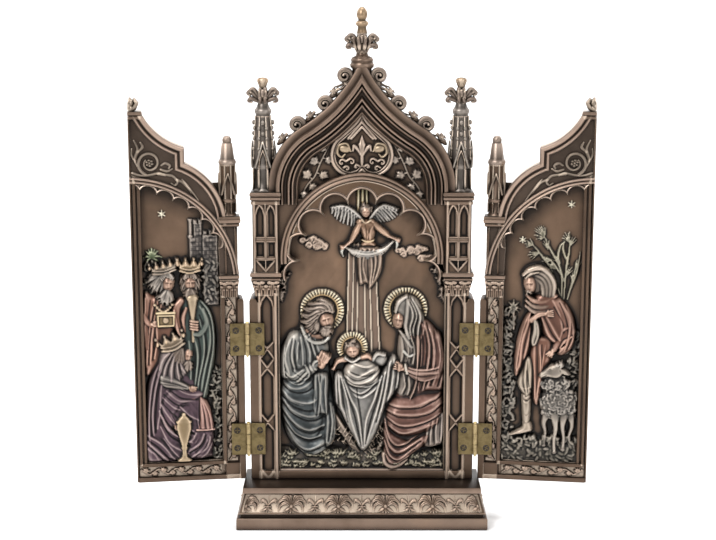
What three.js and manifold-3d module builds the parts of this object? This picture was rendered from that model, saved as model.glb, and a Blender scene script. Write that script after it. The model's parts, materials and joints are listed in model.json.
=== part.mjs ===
// A small cast triptych: a middle panel on a stepped plinth and two hinged half-arch wings.
// Millimetres, +Z up. The origin is the middle of the plinth's underside, the front faces -Y.
import * as THREE from "three";
import { mergeVertices } from "three/addons/utils/BufferGeometryUtils.js";
import Module from "manifold-3d";

const wasm = await Module();
wasm.setup();

// ---------------------------------------------------------------- driving dimensions

const GAP = 0.3; // clearance between pieces that touch
const PLINTH = { half: 71, front: -28, back: 14, slab: 6.8, groove: 8.8, frieze: 20.4, top: 23.7 };
const PANEL = { front: -9, back: 9, bottom: 24, half: 58.9, strip: 63.4, stripTop: 130 };
const NICHE = { half: 46.8, sill: 28.7, wall: -0.5 };
const PILLAR = { inner: 46.5, outer: 61, capital: 131.5, abacus: 145, top: 190, proud: 1.3 };
const ARCH = { centreX: 2.3, centreZ: 152.8, radius: 47.4 };
const FOIL = { centreZ: 148.2, ring: 35.8, radius: 7.75, step: 24.5 };
const GABLE = { centreX: 12.2, spring: 191.9, shoulder: 35, turn: 58.4, sweep: 89.4, plate: 5 };
const PINNACLE_X = 54.8;
const CROCKETS = [[9.6, 253.6], [20.6, 238], [36, 227]];
const BUDS = [[15, 244.6], [28.2, 231.6], [43.6, 219.4]];
const FINIAL = { base: 257 };

const AXIS = { x: 64.5, y: -10.5 };
const REST_ANGLE = 8; // each wing stands this many degrees forward of the middle panel's plane
const WING = { start: 1.5, end: 63.3, bottom: 24.4, front: 1.5, back: 13.5, stripTop: 130 };
const WING_NICHE = { inner: 14.5, outer: 57.5, bottom: 35.8, wall: 7.5 };
const WING_ARCH = { centreS: 64, centreZ: 139, radius: 60, band: 3 };
const WING_FOIL = { ring: 51.5, radius: 4.9, step: 10.3, first: 1.45 };
const WING_GABLE = { lowS: 47.7, lowZ: 172, lowR: 37.5, notch: 33, highS: 23.5, highZ: 249.9, highR: 36 };
const WING_TOP = { collar: 235, shoulder: 55.5, bud: 243 };
const WING_PINNACLE_S = 9.3;

const HINGE = { leaf: 9.6, height: 18.5, thick: 0.8, barrel: 1.35, bore: 0.95, pin: 0.65 };
const HINGE_Z = { top: 106.7, bottom: 48.3 };
const SCREW = { head: 1.9, shank: 0.8, length: 4.5, reach: 6.4, spread: 5.2, rise: 0.3, clear: 0.1 };

const BRONZE = { color: 0x6b5548, roughness: 0.45, metalness: 0.7 };
const BRASS = { color: 0x9a8248, roughness: 0.4, metalness: 0.85 };
const STEEL = { color: 0x2c2825, roughness: 0.5, metalness: 0.8 };

const DEG = Math.PI / 180;

// ---------------------------------------------------------------- solids and booleans

function solid(geometry) {
  const bare = geometry.index ? geometry.toNonIndexed() : geometry.clone();
  bare.deleteAttribute("normal");
  bare.deleteAttribute("uv");
  const merged = mergeVertices(bare, 1e-4);
  const mesh = new wasm.Mesh({
    numProp: 3,
    vertProperties: new Float32Array(merged.attributes.position.array),
    triVerts: new Uint32Array(merged.index.array),
  });
  return new wasm.Manifold(mesh);
}

function fuse(bodies) {
  return bodies.reduce((whole, body) => whole.add(body));
}

function cut(body, tools) {
  return tools.reduce((rest, tool) => rest.subtract(tool), body);
}

function geometryOf(body) {
  const mesh = body.getMesh();
  const geometry = new THREE.BufferGeometry();
  geometry.setAttribute("position", new THREE.BufferAttribute(new Float32Array(mesh.vertProperties), 3));
  geometry.setIndex(new THREE.BufferAttribute(new Uint32Array(mesh.triVerts), 1));
  return geometry;
}

function node(name, body, look) {
  const piece = new THREE.Mesh(geometryOf(body), new THREE.MeshStandardMaterial(look));
  piece.name = name;
  return piece;
}

// ---------------------------------------------------------------- shapes in the plane of a panel

const at = (x, z) => new THREE.Vector2(x, z);
const mirror = (points) => points.map((p) => at(-p.x, p.y)).reverse();
const flip = (points, side) => points.map((p) => at(p.x * side, p.y));

function arc(x, z, radius, from, to, steps) {
  const points = [];
  for (let i = 0; i <= steps; i += 1) {
    const a = (from + ((to - from) * i) / steps) * DEG;
    points.push(at(x + radius * Math.cos(a), z + radius * Math.sin(a)));
  }
  return points;
}

function rect(x0, x1, z0, z1) {
  return [at(x0, z0), at(x1, z0), at(x1, z1), at(x0, z1)];
}

function smooth(points, steps, closed = true) {
  const curve = new THREE.CatmullRomCurve3(points.map(([x, z]) => new THREE.Vector3(x, z, 0)), closed);
  const fine = curve.getPoints(steps).map((p) => at(p.x, p.y));
  return closed ? fine.slice(0, -1) : fine;
}

// A plate with the given outline between a front and a back plane, its front edge bevelled.
function plate(outline, front, back, bevel = 0) {
  const geometry = new THREE.ExtrudeGeometry(new THREE.Shape(outline), {
    depth: back - front - bevel,
    bevelEnabled: bevel > 0,
    bevelThickness: bevel,
    bevelSize: bevel,
    bevelOffset: -bevel,
    bevelSegments: 1,
    curveSegments: 6,
  });
  geometry.rotateX(Math.PI / 2);
  geometry.translate(0, back, 0);
  return solid(geometry);
}

function band(outer, inner, front, back, bevel = 0) {
  return plate([...outer, ...[...inner].reverse()], front, back, bevel);
}

function lump(x, z, rx, rz, rise, level, tilt = 0, sides = 6, rings = 3) {
  const geometry = new THREE.SphereGeometry(1, sides, rings);
  geometry.scale(rx, rise, rz);
  geometry.rotateY(tilt * DEG);
  geometry.translate(x, level, z);
  return solid(geometry);
}

// A leaf or petal: a ridged lozenge that points along its tilt, measured from straight up.
function leaf(x, z, length, width, rise, level, tilt = 0) {
  const geometry = new THREE.OctahedronGeometry(1, 0);
  geometry.scale(width / 2, rise, length / 2);
  geometry.translate(0, 0, length / 2);
  geometry.rotateY(tilt * DEG);
  geometry.translate(x, level, z);
  return solid(geometry);
}

function leaves(x, z, tilts, length, width, rise, level) {
  return tilts.map((tilt) => leaf(x, z, length, width, rise, level, tilt));
}

// A tapering rounded limb between two points [x, y, z, radius].
function limb(a, b, sides = 5) {
  const from = new THREE.Vector3(a[0], a[1], a[2]);
  const to = new THREE.Vector3(b[0], b[1], b[2]);
  const length = from.distanceTo(to);
  const profile = [
    [0, -0.8 * a[3]],
    [a[3], 0],
    [b[3], length],
    [0, length + 0.8 * b[3]],
  ];
  const geometry = new THREE.LatheGeometry(profile.map(([r, h]) => at(r, h)), sides);
  const turn = new THREE.Quaternion().setFromUnitVectors(
    new THREE.Vector3(0, 1, 0),
    to.clone().sub(from).normalize(),
  );
  geometry.applyQuaternion(turn);
  geometry.translate(a[0], a[1], a[2]);
  return solid(geometry);
}

// A ridge of cloth, hair or stem: a four-sided bar swept along points [x, z] at one level.
function fold(points, level, width, steps = 2, rise = width) {
  const path = new THREE.CatmullRomCurve3(points.map(([x, z]) => new THREE.Vector3(x, level, z)));
  const half = width / 2;
  const section = new THREE.Shape([at(half, 0), at(0, half), at(-half, 0), at(0, -half)]);
  const geometry = new THREE.ExtrudeGeometry(section, { steps, extrudePath: path, bevelEnabled: false });
  geometry.translate(0, -level, 0);
  geometry.scale(1, rise / width, 1);
  geometry.translate(0, level, 0);
  return solid(geometry);
}

function folds(list, level, width, steps) {
  return list.map((points) => fold(points, level, width, steps));
}

// A turned piece: profile rows [radius, height above z].
function turned(x, y, z, profile, sides = 8) {
  const geometry = new THREE.LatheGeometry(profile.map(([r, h]) => at(r, h)), sides);
  geometry.rotateX(Math.PI / 2);
  geometry.rotateZ(Math.PI / sides);
  geometry.translate(x, y, z);
  return solid(geometry);
}

function block(x0, x1, y0, y1, z0, z1, topInset = 0) {
  const geometry = new THREE.BoxGeometry(x1 - x0, y1 - y0, z1 - z0);
  const position = geometry.attributes.position;
  for (let i = 0; i < position.count; i += 1) {
    if (position.getZ(i) > 0) {
      position.setX(i, position.getX(i) - Math.sign(position.getX(i)) * topInset);
      position.setY(i, position.getY(i) - Math.sign(position.getY(i)) * topInset);
    }
  }
  geometry.translate((x0 + x1) / 2, (y0 + y1) / 2, (z0 + z1) / 2);
  return solid(geometry);
}

// ---------------------------------------------------------------- plinth

function palmette(x, z, size, level) {
  return leaves(x, z - 1.4, [0, 60, -60], size * 1.1, size * 0.4, 1.3, level);
}

function fleur(x, z, size, level) {
  return leaves(x, z - 1.6, [0, 52, -52], size, size * 0.4, 1.1, level);
}

function friezeOrnament(half) {
  const pitch = 27;
  const level = -25.6;
  const middle = 14.2;
  const ornaments = [];
  for (let i = -2; i <= 2; i += 1) {
    if (Math.abs(i * pitch) < half) ornaments.push(...fleur(i * pitch, middle, 4.4, level));
  }
  for (let i = -1.5; i <= 1.5; i += 1) ornaments.push(...palmette(i * pitch, middle, 6.2, level));
  return ornaments;
}

function plinth() {
  const { half, front, back, slab, groove, frieze, top } = PLINTH;
  const base = block(-half, half, front, back, 0, slab, 0.8);
  const neck = block(-half + 1.8, half - 1.8, front + 1.8, back - 1, slab - 0.5, groove + 0.5);
  const slope = block(-half + 1, half - 1, front + 1, back - 0.5, groove, frieze, 3.2);
  const ledge = block(-half + 4, half - 4, front + 3.5, back - 2, frieze - 0.5, top, 0.5);
  return fuse([base, neck, slope, ledge, ...friezeOrnament(half)]);
}

// ---------------------------------------------------------------- middle panel: walls and openings

function archLine(offset, steps = 5) {
  const { centreX, centreZ, radius } = ARCH;
  const r = radius + offset;
  const apex = Math.acos(centreX / r) / DEG;
  const right = arc(-centreX, centreZ, r, 0, apex, steps);
  return [...right, ...mirror(right).slice(1)];
}

// How far each foil's arc runs either side of its middle before it meets the next, in degrees.
function foilSpan(ring, radius, step) {
  const meet = Math.acos((ring * Math.sin((step / 2) * DEG)) / radius) / DEG;
  return 90 + step / 2 - meet;
}

// The opening's edge from the right jamb over the row of foils to the left jamb.
function foilLine(steps = 4) {
  const { centreZ, ring, radius, step } = FOIL;
  const span = foilSpan(ring, radius, step);
  const points = [];
  for (let k = 4; k >= -4; k -= 1) {
    const a = k * step;
    const x = ring * Math.sin(a * DEG);
    const z = centreZ + ring * Math.cos(a * DEG);
    points.push(...arc(x, z, radius, 90 - a - span, 90 - a + span, steps));
  }
  return points.filter((p) => Math.abs(p.x) < NICHE.half && p.y > FOIL.centreZ - 8);
}

function openingTool() {
  const { half, sill, wall } = NICHE;
  const low = PILLAR.abacus - 4;
  const outline = [at(-half, sill), at(half, sill), at(half, low), ...foilLine(), at(-half, low)];
  return plate(outline, PANEL.front - 5, wall);
}

function gableLine(offset, steps = 3) {
  const { centreX, spring, shoulder, turn, sweep } = GABLE;
  const low = arc(centreX, spring, shoulder + offset, 0, turn, steps);
  const reach = shoulder + sweep;
  const highX = centreX + reach * Math.cos(turn * DEG);
  const highZ = spring + reach * Math.sin(turn * DEG);
  const end = 180 + Math.acos(highX / (sweep - offset)) / DEG;
  const high = arc(highX, highZ, sweep - offset, turn + 180, end, steps).slice(1);
  high[high.length - 1].x = 0;
  const right = [...low, ...high];
  return [...right, ...mirror(right).slice(1)];
}

function gableBody() {
  const foot = PILLAR.top - 8;
  const field = [at(PANEL.half, 182), ...gableLine(GABLE.plate), at(-PANEL.half, 182)];
  const board = plate(field, -6, 6);
  const ring = (out, into, front) => {
    const outer = [at(gableLine(out)[0].x, foot), ...gableLine(out)];
    const inner = [at(gableLine(into)[0].x, foot), ...gableLine(into)];
    outer.push(at(-outer[0].x, foot));
    inner.push(at(-inner[0].x, foot));
    return band(outer, inner, front, 0);
  };
  return [board, ring(0.6, -2, PANEL.front), ring(-1, -11, -7.2), ring(-6, -8, -8.2)];
}

function spandrelTool() {
  const inner = gableLine(-9.5).filter((p) => p.y > 186);
  return plate([at(35, 168), ...inner, at(-35, 168)], PANEL.front - 3, -4.2);
}

function archBody() {
  const outer = archLine(0);
  const jamb = [at(-45, 146), at(45, 146)];
  const face = plate([...outer, ...jamb], -7.6, 2);
  const roll = band(archLine(0.4), archLine(-2.6), PANEL.front, 0, 0.7);
  return [face, roll];
}

function medallion() {
  const edge = smooth([[0, 234], [-4, 228.5], [-12, 222], [-16.6, 213], [-15.6, 205.5], [-10, 199.8],
    [-4, 198.8], [0, 200.4], [4, 198.8], [10, 199.8], [15.6, 205.5], [16.6, 213], [12, 222], [4, 228.5]], 14);
  const field = edge.map((p) => at(p.x * 0.87, 214 + (p.y - 214) * 0.87));
  const drop = cut(plate(edge, -7.8, -3), [plate(field, -9, -5.6)]);
  const chevron = [at(0, 228.8), at(7, 219.6), at(5, 217.8), at(0, 224.4), at(-5, 217.8), at(-7, 219.6)];
  const lily = leaves(0, 209.5, [0, 32, -32, 180], 9, 3.4, 1.8, -5.6);
  const lobes = [-1, 1].flatMap((side) => [
    lump(side * 8.6, 213.6, 4.2, 2.6, 1.9, -5.6, side * 12),
    leaf(side * 4, 203, 9, 3.4, 1.6, -5.6, side * 62),
  ]);
  return [drop, plate(chevron, -7.4, -5), ...lily, ...lobes];
}

function tendrils() {
  return [-1, 1].flatMap((side) => [
    leaf(side * 32.6, 188.6, 7, 3, 1.4, -4.3, side * -20),
    ...leaves(side * 25.5, 196, [-24, 50, 4].map((a) => a * side), 8, 3, 1.4, -4.3),
    leaf(side * 21.4, 206, 5, 2.6, 1.2, -4.3),
  ]);
}

// ---------------------------------------------------------------- middle panel: pillars

function upperStage(side) {
  const { inner, outer, top } = PILLAR;
  const shaft = plate(flip(rect(inner, outer, 140, top - 4), side), PANEL.front, PANEL.back);
  const light = (x) => plate(
    flip([at(x - 1.9, 153), at(x + 1.9, 153), at(x + 1.9, 178), at(x, 181.5), at(x - 1.9, 178)], side),
    PANEL.front - 1, PANEL.front + 1.6);
  const bar = plate(flip(rect(inner, outer, 163, 164.6), side), PANEL.front + 0.4, 0);
  const vee = plate(flip([at(50, 151), at(53.7, 146.5), at(57.4, 151)], side), PANEL.front - 1, PANEL.front + 1);
  return [cut(shaft, [light(51), light(56.6), vee]), bar];
}

function abacus(side, inner, outer, low, high) {
  const { proud } = PILLAR;
  const deep = PANEL.back - 0.4;
  const step = (high - low) * 0.45;
  return [
    plate(flip(rect(inner, outer, low + step, high), side), PANEL.front - proud, deep),
    plate(flip(rect(inner + 0.9, outer - 0.9, low, low + step), side), PANEL.front - proud * 0.5, deep),
  ];
}

function capital(side) {
  const bell = [at(47.5, 131.5), at(60, 131.5), at(62.3, 138), at(62.3, 141), at(45.2, 141), at(45.2, 138)];
  const acanthus = [48.8, 53.8, 58.8].map((x) => leaf(side * x, 131.8, 8.4, 4.6, 1.2, PANEL.front - 0.1));
  return [plate(flip(bell, side), PANEL.front, PANEL.back), ...acanthus,
    ...abacus(side, 45, 62.7, 140.4, 145)];
}

function lancetTools(side) {
  const x = 53.6;
  const w = 3.2;
  const deep = PANEL.front + 1.4;
  const cell = (points) => plate(flip(points, side), PANEL.front - 1, deep);
  return [
    cell([at(x - w, 105), at(x, 101.5), at(x + w, 105), at(x + w, 126), at(x, 130.6), at(x - w, 126)]),
    cell([at(x, 99.5), at(x + w, 95), at(x, 90.5), at(x - w, 95)]),
    cell([at(x, 88.5), at(x - w, 85), at(x - w, 62), at(x, 58.5), at(x + w, 62), at(x + w, 85)]),
    cell([at(x, 56.5), at(x - w, 53), at(x - w, 29), at(x, 26), at(x + w, 29), at(x + w, 53)]),
  ];
}

function hingeSeats(side) {
  return Object.values(HINGE_Z).map((z) => {
    const half = HINGE.height / 2 + GAP;
    const seat = rect(AXIS.x - HINGE.leaf - GAP, AXIS.x, z - half, z + half);
    return plate(flip(seat, side), PANEL.front - 1, PANEL.front + 0.02);
  });
}

function lowerStage(side) {
  const { bottom, front, back, half, strip, stripTop } = PANEL;
  const top = stripTop;
  const round = arc((half + strip) / 2, top - 2.3, (strip - half) / 2, 0, 180, 5);
  const outer = [at(half - 1, bottom), at(strip, bottom), ...round, at(half - 1, top - 2.3)];
  const shaft = plate(flip(rect(48.3, half, bottom, 133), side), front, back);
  return [cut(shaft, lancetTools(side)), plate(flip(outer, side), front, back)];
}

// A leafy cross or spray: half its outline is given as [x, z] from its foot up, the rest mirrors it.
function spray(x, z, half, depth) {
  const right = half.map(([dx, dz]) => at(dx, dz));
  const outline = [...right, ...mirror(right)].map((p) => at(x + p.x, z + p.y));
  return plate(outline, -depth, depth);
}

function pinnacle(side) {
  const x = side * PINNACLE_X;
  const body = turned(x, 0, PILLAR.top - 1, [
    [0, 0], [6.6, 0], [6.6, 18], [7.2, 27], [4.4, 43], [4.8, 44.4], [4.8, 46.6], [2.4, 50], [0, 52],
  ], 8);
  const gablets = [-1, 1].map((k) => leaf(x + k * 2.9, 204, 14, 5.4, 2, -5.6));
  const cross = spray(x, 238, [[2.2, 0], [4, 2.6], [8, 1.8], [10, 5], [8.4, 8.4], [3, 7], [1.8, 8.6], [3.6, 12.4],
    [1.8, 14.6]], 2.8);
  return [body, ...gablets, cross];
}

// A curled leaf: a disc that unrolls into a tail along the gable's slope.
function crocket(side, x, z, size) {
  const curl = [...arc(x, z, size, -50, 230, 5), at(x - size * 0.2, z - size * 1.5)];
  return plate(flip(curl, side), -4.6, 2.6);
}

function crockets() {
  const parts = [];
  for (const side of [-1, 1]) {
    for (const [x, z] of CROCKETS) parts.push(crocket(side, x, z, 5.1));
    for (const [x, z] of BUDS) parts.push(lump(side * x, z, 2.9, 2.9, 2.9, -1));
  }
  return parts;
}

function finial() {
  const stem = turned(0, 0, FINIAL.base - 2, [
    [0, 0], [5, 0], [6.7, 4], [6.2, 7], [3.2, 10], [3.6, 22], [2.7, 25], [3.8, 27], [1.7, 30.2],
    [2.9, 32.6], [1.6, 34.4], [0, 35],
  ], 8);
  const bunch = spray(0, 266, [[3, 0], [5.4, 2.6], [9.4, 3.4], [10.2, 7], [7.6, 10], [3.6, 8.4], [1.4, 10]], 3.6);
  return [stem, bunch];
}

// ---------------------------------------------------------------- middle panel: the Nativity relief

const wallAt = NICHE.wall;

function disc(x, z, radius, front, back, sides = 10) {
  return plate(arc(x, z, radius, 0, 360 - 360 / sides, sides - 1), front, back);
}

function joseph() {
  const robe = smooth([[-31, 112], [-40, 107.5], [-44.8, 98], [-46, 84], [-46, 62], [-42.5, 48], [-36, 38.5],
    [-29, 35.5], [-22.5, 39], [-19.6, 50], [-18.5, 66], [-20, 84], [-17.5, 103], [-23, 107]], 12);
  const lap = smooth([[-45.5, 78], [-45, 58], [-37, 45], [-27, 37.5], [-22, 46], [-22.5, 62], [-27, 76],
    [-36, 84]], 7);
  const hem = [at(-29, 84), at(-21.5, 84), at(-20.3, 66), at(-27.5, 62.8)];
  return [
    disc(-22.5, 121.5, 12, wallAt - 1.8, wallAt + 1),
    plate(robe, wallAt - 5.4, wallAt + 1, 2.4),
    plate(lap, wallAt - 8, wallAt, 2.6),
    plate(hem, wallAt - 7.4, wallAt),
    lump(-25, 119, 8.4, 8.4, 7.2, wallAt - 1.2),
    lump(-21, 115, 4.6, 6, 6.6, wallAt - 3, -24),
    lump(-19.4, 109.6, 3.4, 4, 4.6, wallAt - 3, -30),
    limb([-38, wallAt - 4, 100, 5.2], [-41, wallAt - 4.8, 86, 4.6]),
    limb([-40, wallAt - 5.2, 84, 4.2], [-25, wallAt - 6.4, 92, 2.8]),
    limb([-24.5, wallAt - 7, 92.5, 2.2], [-18.4, wallAt - 7, 101, 1.3]),
    ...folds([
      [[-44.6, 74], [-36, 66], [-26, 78]],
      [[-43, 57], [-33, 48], [-24, 62]],
    ], wallAt - 7.6, 3.6),
    fold([[-33, 112.5], [-28, 104.4], [-19.5, 105.5]], wallAt - 5.4, 2.2),
  ];
}

function mary() {
  const robe = smooth([[27, 122], [34, 117], [41.5, 111], [45.8, 102], [46.4, 86], [46.4, 64], [44.5, 46],
    [34, 41.5], [26, 34], [17, 31], [12.6, 36], [13.6, 52], [14.2, 66], [19, 72], [20.5, 84], [20.5, 98],
    [24, 107]], 13);
  const lap = smooth([[15, 67], [24, 72.5], [38, 75], [45.5, 66], [43, 55], [31, 48], [19, 50]], 7);
  return [
    disc(24.8, 122.4, 12, wallAt - 1.8, wallAt + 1),
    plate(robe, wallAt - 5.4, wallAt + 1, 2.4),
    plate(lap, wallAt - 8.6, wallAt, 3),
    lump(25.6, 119.6, 7.2, 9.8, 7.2, wallAt - 1.2, 8),
    lump(21.4, 117, 4.2, 5.6, 6.2, wallAt - 3, 16),
    limb([27, wallAt - 4.6, 112, 4.4], [27.5, wallAt - 4.6, 104, 3.6]),
    limb([40, wallAt - 4.2, 104, 5.2], [41.5, wallAt - 4.8, 84, 4.6]),
    limb([37, wallAt - 5.8, 85.5, 3.4], [22, wallAt - 6.8, 90.6, 1.9]),
    ...folds([
      [[17, 64], [30, 57], [44, 62]],
      [[16, 52], [24, 41], [36, 53]],
    ], wallAt - 7.4, 3.4),
    ...folds([
      [[30, 112], [34, 96], [32.4, 76]],
      [[43, 60], [41, 52], [38, 44]],
    ], wallAt - 5.8, 2.8),
  ];
}

function child() {
  const cloth = smooth([[-15, 70], [-13.6, 85], [-4, 81.5], [8, 84], [17.5, 95], [22, 79], [14, 66], [9, 52],
    [0.6, 40.6], [-8, 56]], 10);
  return [
    disc(-5.5, 100.4, 8.3, wallAt - 2.2, wallAt + 1, 8),
    lump(-5.5, 99, 4.3, 4.6, 5.4, wallAt - 3.4, 10),
    plate(cloth, wallAt - 6.2, wallAt, 2),
    lump(0.6, 86, 9.6, 6.8, 7.4, wallAt - 1.6, -14),
    lump(10.4, 92.4, 5, 5, 5, wallAt - 1.4),
    ...folds([
      [[-13, 80], [-1.6, 65], [13, 82]],
      [[-9, 58], [0.4, 45], [10, 62]],
    ], wallAt - 6, 2.8),
    ...folds([[[-16, 58], [-5, 41]], [[9, 52], [4, 38]]], wallAt - 1, 3.4, 1),
  ];
}

function angel() {
  const feathers = [-1, 1].flatMap((side) => [0, 1].map((k) => leaf(
    2.4 + side * 2.6, 175 + k * 2.6, 18 - k, 6, 2.4, wallAt - 0.6, side * (92 - k * 16))));
  const skirt = smooth([[0, 157], [11, 157], [11.4, 146], [5, 136.4], [0, 140.6]], 6);
  return [
    ...feathers,
    lump(2, 178.4, 3, 3.4, 4.4, wallAt - 2),
    limb([4, wallAt - 2.4, 172.4, 4], [4.6, wallAt - 2.4, 162.4, 3.4]),
    limb([-0.6, wallAt - 2.6, 172, 1.9], [-8, wallAt - 3, 160.6, 1.4]),
    limb([8.4, wallAt - 2.6, 172.6, 1.9], [18, wallAt - 3, 164, 1.4]),
    fold([[-10, 159.4], [-2, 157], [4.6, 156.4], [12, 159], [20, 163.6]], wallAt - 3.8, 3.4, 3),
    plate(skirt, wallAt - 4, wallAt, 1.2),
    fold([[4, 156], [5, 148], [4, 139]], wallAt - 3.8, 2.4),
  ];
}

function skyAndGround() {
  const ribs = [-5.6, -1.6, 3.2, 8.4].map((x, i) => plate(
    [at(x - 1.6, 96), at(x + 1.9 + i * 0.3, 96), at(x * 0.9 + 1.2, 160), at(x * 0.9 - 1, 160)],
    wallAt - 2 + (i % 2) * 0.5, wallAt + 1));
  const rays = plate(rect(-2.6, 3.4, 178, 191), wallAt - 1.6, wallAt + 1);
  const clouds = [[-30, 161], [-24, 159.6], [24, 155.4], [32, 156.6]].map(
    ([x, z]) => lump(x, z, 5, 3, 2.2, wallAt));
  const { half, sill } = NICHE;
  const bank = block(-half - 0.5, half + 0.5, -6.8, wallAt + 1, sill - 1, sill + 8);
  const tufts = [];
  for (let i = 0; i < 6; i += 1) {
    tufts.push(leaf(-41 + i * 16.4, sill - 0.4, 7.2, 7, 2, -6.8, i % 2 ? 16 : -16));
  }
  return [...ribs, rays, ...clouds, bank, ...tufts];
}

function revealShafts() {
  return [-1, 1].flatMap((side) => [
    plate(flip([at(46.9, 145), at(39.6, 145), at(43, 131), at(46.9, 129)], side), wallAt - 5, wallAt + 1),
  ]);
}

function centrePanel() {
  const { front, back, bottom, half } = PANEL;
  const core = plate(rect(-half + 2, half - 2, bottom, 186), front + 1.6, back);
  const sill = plate(rect(-half + 1, half - 1, bottom, NICHE.sill), front, back, 0.3);
  const upper = cut(fuse([core, ...gableBody()]), [spandrelTool()]);
  const walls = fuse([
    upper,
    sill,
    ...archBody(),
    ...[-1, 1].flatMap((side) => [...upperStage(side), ...lowerStage(side)]),
  ]);
  const open = cut(walls, [openingTool()]);
  const carved = fuse([
    open,
    ...[-1, 1].flatMap((side) => [...capital(side), ...abacus(side, 44, 62.6, 183.5, 190), ...pinnacle(side)]),
    ...medallion(),
    ...tendrils(),
    ...crockets(),
    ...finial(),
    ...revealShafts(),
    ...skyAndGround(),
    ...angel(),
    ...joseph(),
    ...mary(),
    ...child(),
  ]);
  return cut(carved, [-1, 1].flatMap((side) => [...hingeSeats(side), ...panelScrewHoles(side)]));
}

// ---------------------------------------------------------------- wings, in their own frame
// s runs from the hinge axis to the outer end and y from the axis back; side is -1 or 1.

function wingArchLine(offset, steps = 7) {
  const { centreS, centreZ, radius } = WING_ARCH;
  const r = radius + offset;
  const from = 180 - Math.asin(5 / r) / DEG;
  const to = Math.acos((WING.end - centreS) / r) / DEG;
  return arc(centreS, centreZ, r, from, to, steps);
}

function wingFoilLine() {
  const { centreS, centreZ } = WING_ARCH;
  const { ring, radius, step, first } = WING_FOIL;
  const span = foilSpan(ring, radius, step);
  const points = [];
  for (let k = 7; k >= 0; k -= 1) {
    const a = 90 + first + k * step;
    const s = centreS + ring * Math.cos(a * DEG);
    const z = centreZ + ring * Math.sin(a * DEG);
    points.push(...arc(s, z, radius, a + span, a - span, 3));
  }
  return points.filter((p) => p.x > WING_NICHE.inner && p.x < WING_NICHE.outer);
}

function wingGableLine(inset, steps = 4) {
  const { lowS, lowZ, lowR, notch, highS, highZ, highR } = WING_GABLE;
  const lowEnd = Math.acos((notch + inset - lowS) / (lowR - inset)) / DEG;
  const low = arc(lowS, lowZ, lowR - inset, 180, lowEnd, steps);
  const highStart = -Math.acos((notch + inset - highS) / (highR + inset)) / DEG;
  const topZ = WING_TOP.collar - 2;
  const highEnd = Math.asin((topZ - highZ) / (highR + inset)) / DEG;
  const high = arc(highS, highZ, highR + inset, highStart, highEnd, steps);
  return [...low, ...high];
}

function wingBoard(side) {
  const { start, end, bottom, back, front, stripTop } = WING;
  const top = WING_TOP.collar;
  const outline = [at(4.4, bottom), at(end, bottom), at(end, top), at(WING_TOP.shoulder, top),
    ...[...wingGableLine(0)].reverse(), at(4.4, 174)];
  const round = arc((start + 5.2) / 2, stripTop - 1.8, (5.2 - start) / 2, 180, 0, 5);
  const strip = [at(start, bottom), ...round, at(5.2, bottom)];
  return [
    plate(flip(outline, side), front + 2.2, back, 0.3),
    plate(flip(strip, side), front, back, 0.3),
  ];
}

function wingFrame(side) {
  const { end, bottom, front } = WING;
  const { inner, outer, bottom: low } = WING_NICHE;
  const deep = front + 4;
  const arch = band(wingArchLine(0.2), wingArchLine(-WING_ARCH.band), front, deep);
  const cusps = wingCusps();
  const rim = band(wingGableLine(0.2), wingGableLine(2.2), front, deep);
  const inside = band(wingGableLine(3.6), wingGableLine(5.6), front + 0.6, deep);
  const bars = [
    [rect(outer, outer + 1.6, low - 1, 192), front + 0.8],
    [rect(outer + 2.6, outer + 4.2, low - 1, 195), front],
    [rect(end - 0.9, end, bottom, 229), front + 0.8],
    [rect(inner - 2.3, inner, low - 2, 132), front],
    [rect(inner - 2, end - 1.8, low - 2, low - 0.2), front],
    [rect(4.4, end, bottom, 27.4), front],
    [rect(4.4, inner - 1.5, bottom, 34), front],
  ];
  return [arch, cusps, rim, inside].map((body) => (side < 0 ? body.mirror([1, 0, 0]) : body))
    .concat(bars.map(([outline, y]) => plate(flip(outline, side), y, deep)));
}

function wingCusps() {
  const foils = wingFoilLine();
  const outer = wingArchLine(-1.5);
  const first = foils[0];
  const last = foils[foils.length - 1];
  const outline = [at(5.6, 143), ...outer.slice(1, -1), at(last.x + 0.4, 196.5), ...[...foils].reverse(),
    at(first.x, 143)];
  return plate(outline, WING.front + 1, WING_NICHE.wall + 1);
}

function wingOpening(side) {
  const { inner, outer, bottom, wall } = WING_NICHE;
  const outline = [at(inner, bottom), at(outer, bottom), at(outer, 192), ...[...wingFoilLine()].reverse(),
    at(inner, 143)];
  return plate(flip(outline, side), -4, wall);
}

function wingCapital(side) {
  const { front } = WING;
  const bell = [at(5, 131), at(14, 131), at(14.8, 137), at(14.8, 141), at(4.2, 141), at(4.2, 137)];
  return [
    plate(flip(bell, side), front - 0.4, front + 5),
    plate(flip(rect(3.8, 15.2, 140.4, 143.4), side), front - 1.2, front + 5),
    ...[6.6, 12.2].map((s) => leaf(side * s, 131.8, 7.6, 4, 0.8, front - 0.4)),
    plate(flip(rect(2.6, 14.6, 171.2, 176.6), side), front - 1, front + 11, 0.8),
  ];
}

function wingPinnacle(side) {
  const s = side * WING_PINNACLE_S;
  const y = WING.front + 5.4;
  const body = turned(s, y, 175.5, [
    [0, 0], [5, 0], [4, 3], [4, 9], [5.1, 10], [5, 17], [4.2, 30], [4.9, 31.4], [4, 33.2], [2.3, 42.4],
    [2.4, 44], [0, 45.4],
  ], 8);
  const gablets = [-1, 1].map((k) => leaf(s + k * 2.2, 186.5, 13, 4.6, 1.6, y - 4));
  return [body, ...gablets];
}

// A running vine: leaves that lean left and right in turn.
function vine(count, place) {
  const parts = [];
  for (let i = 0; i < count; i += 1) parts.push(...place(i));
  return parts;
}

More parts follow.
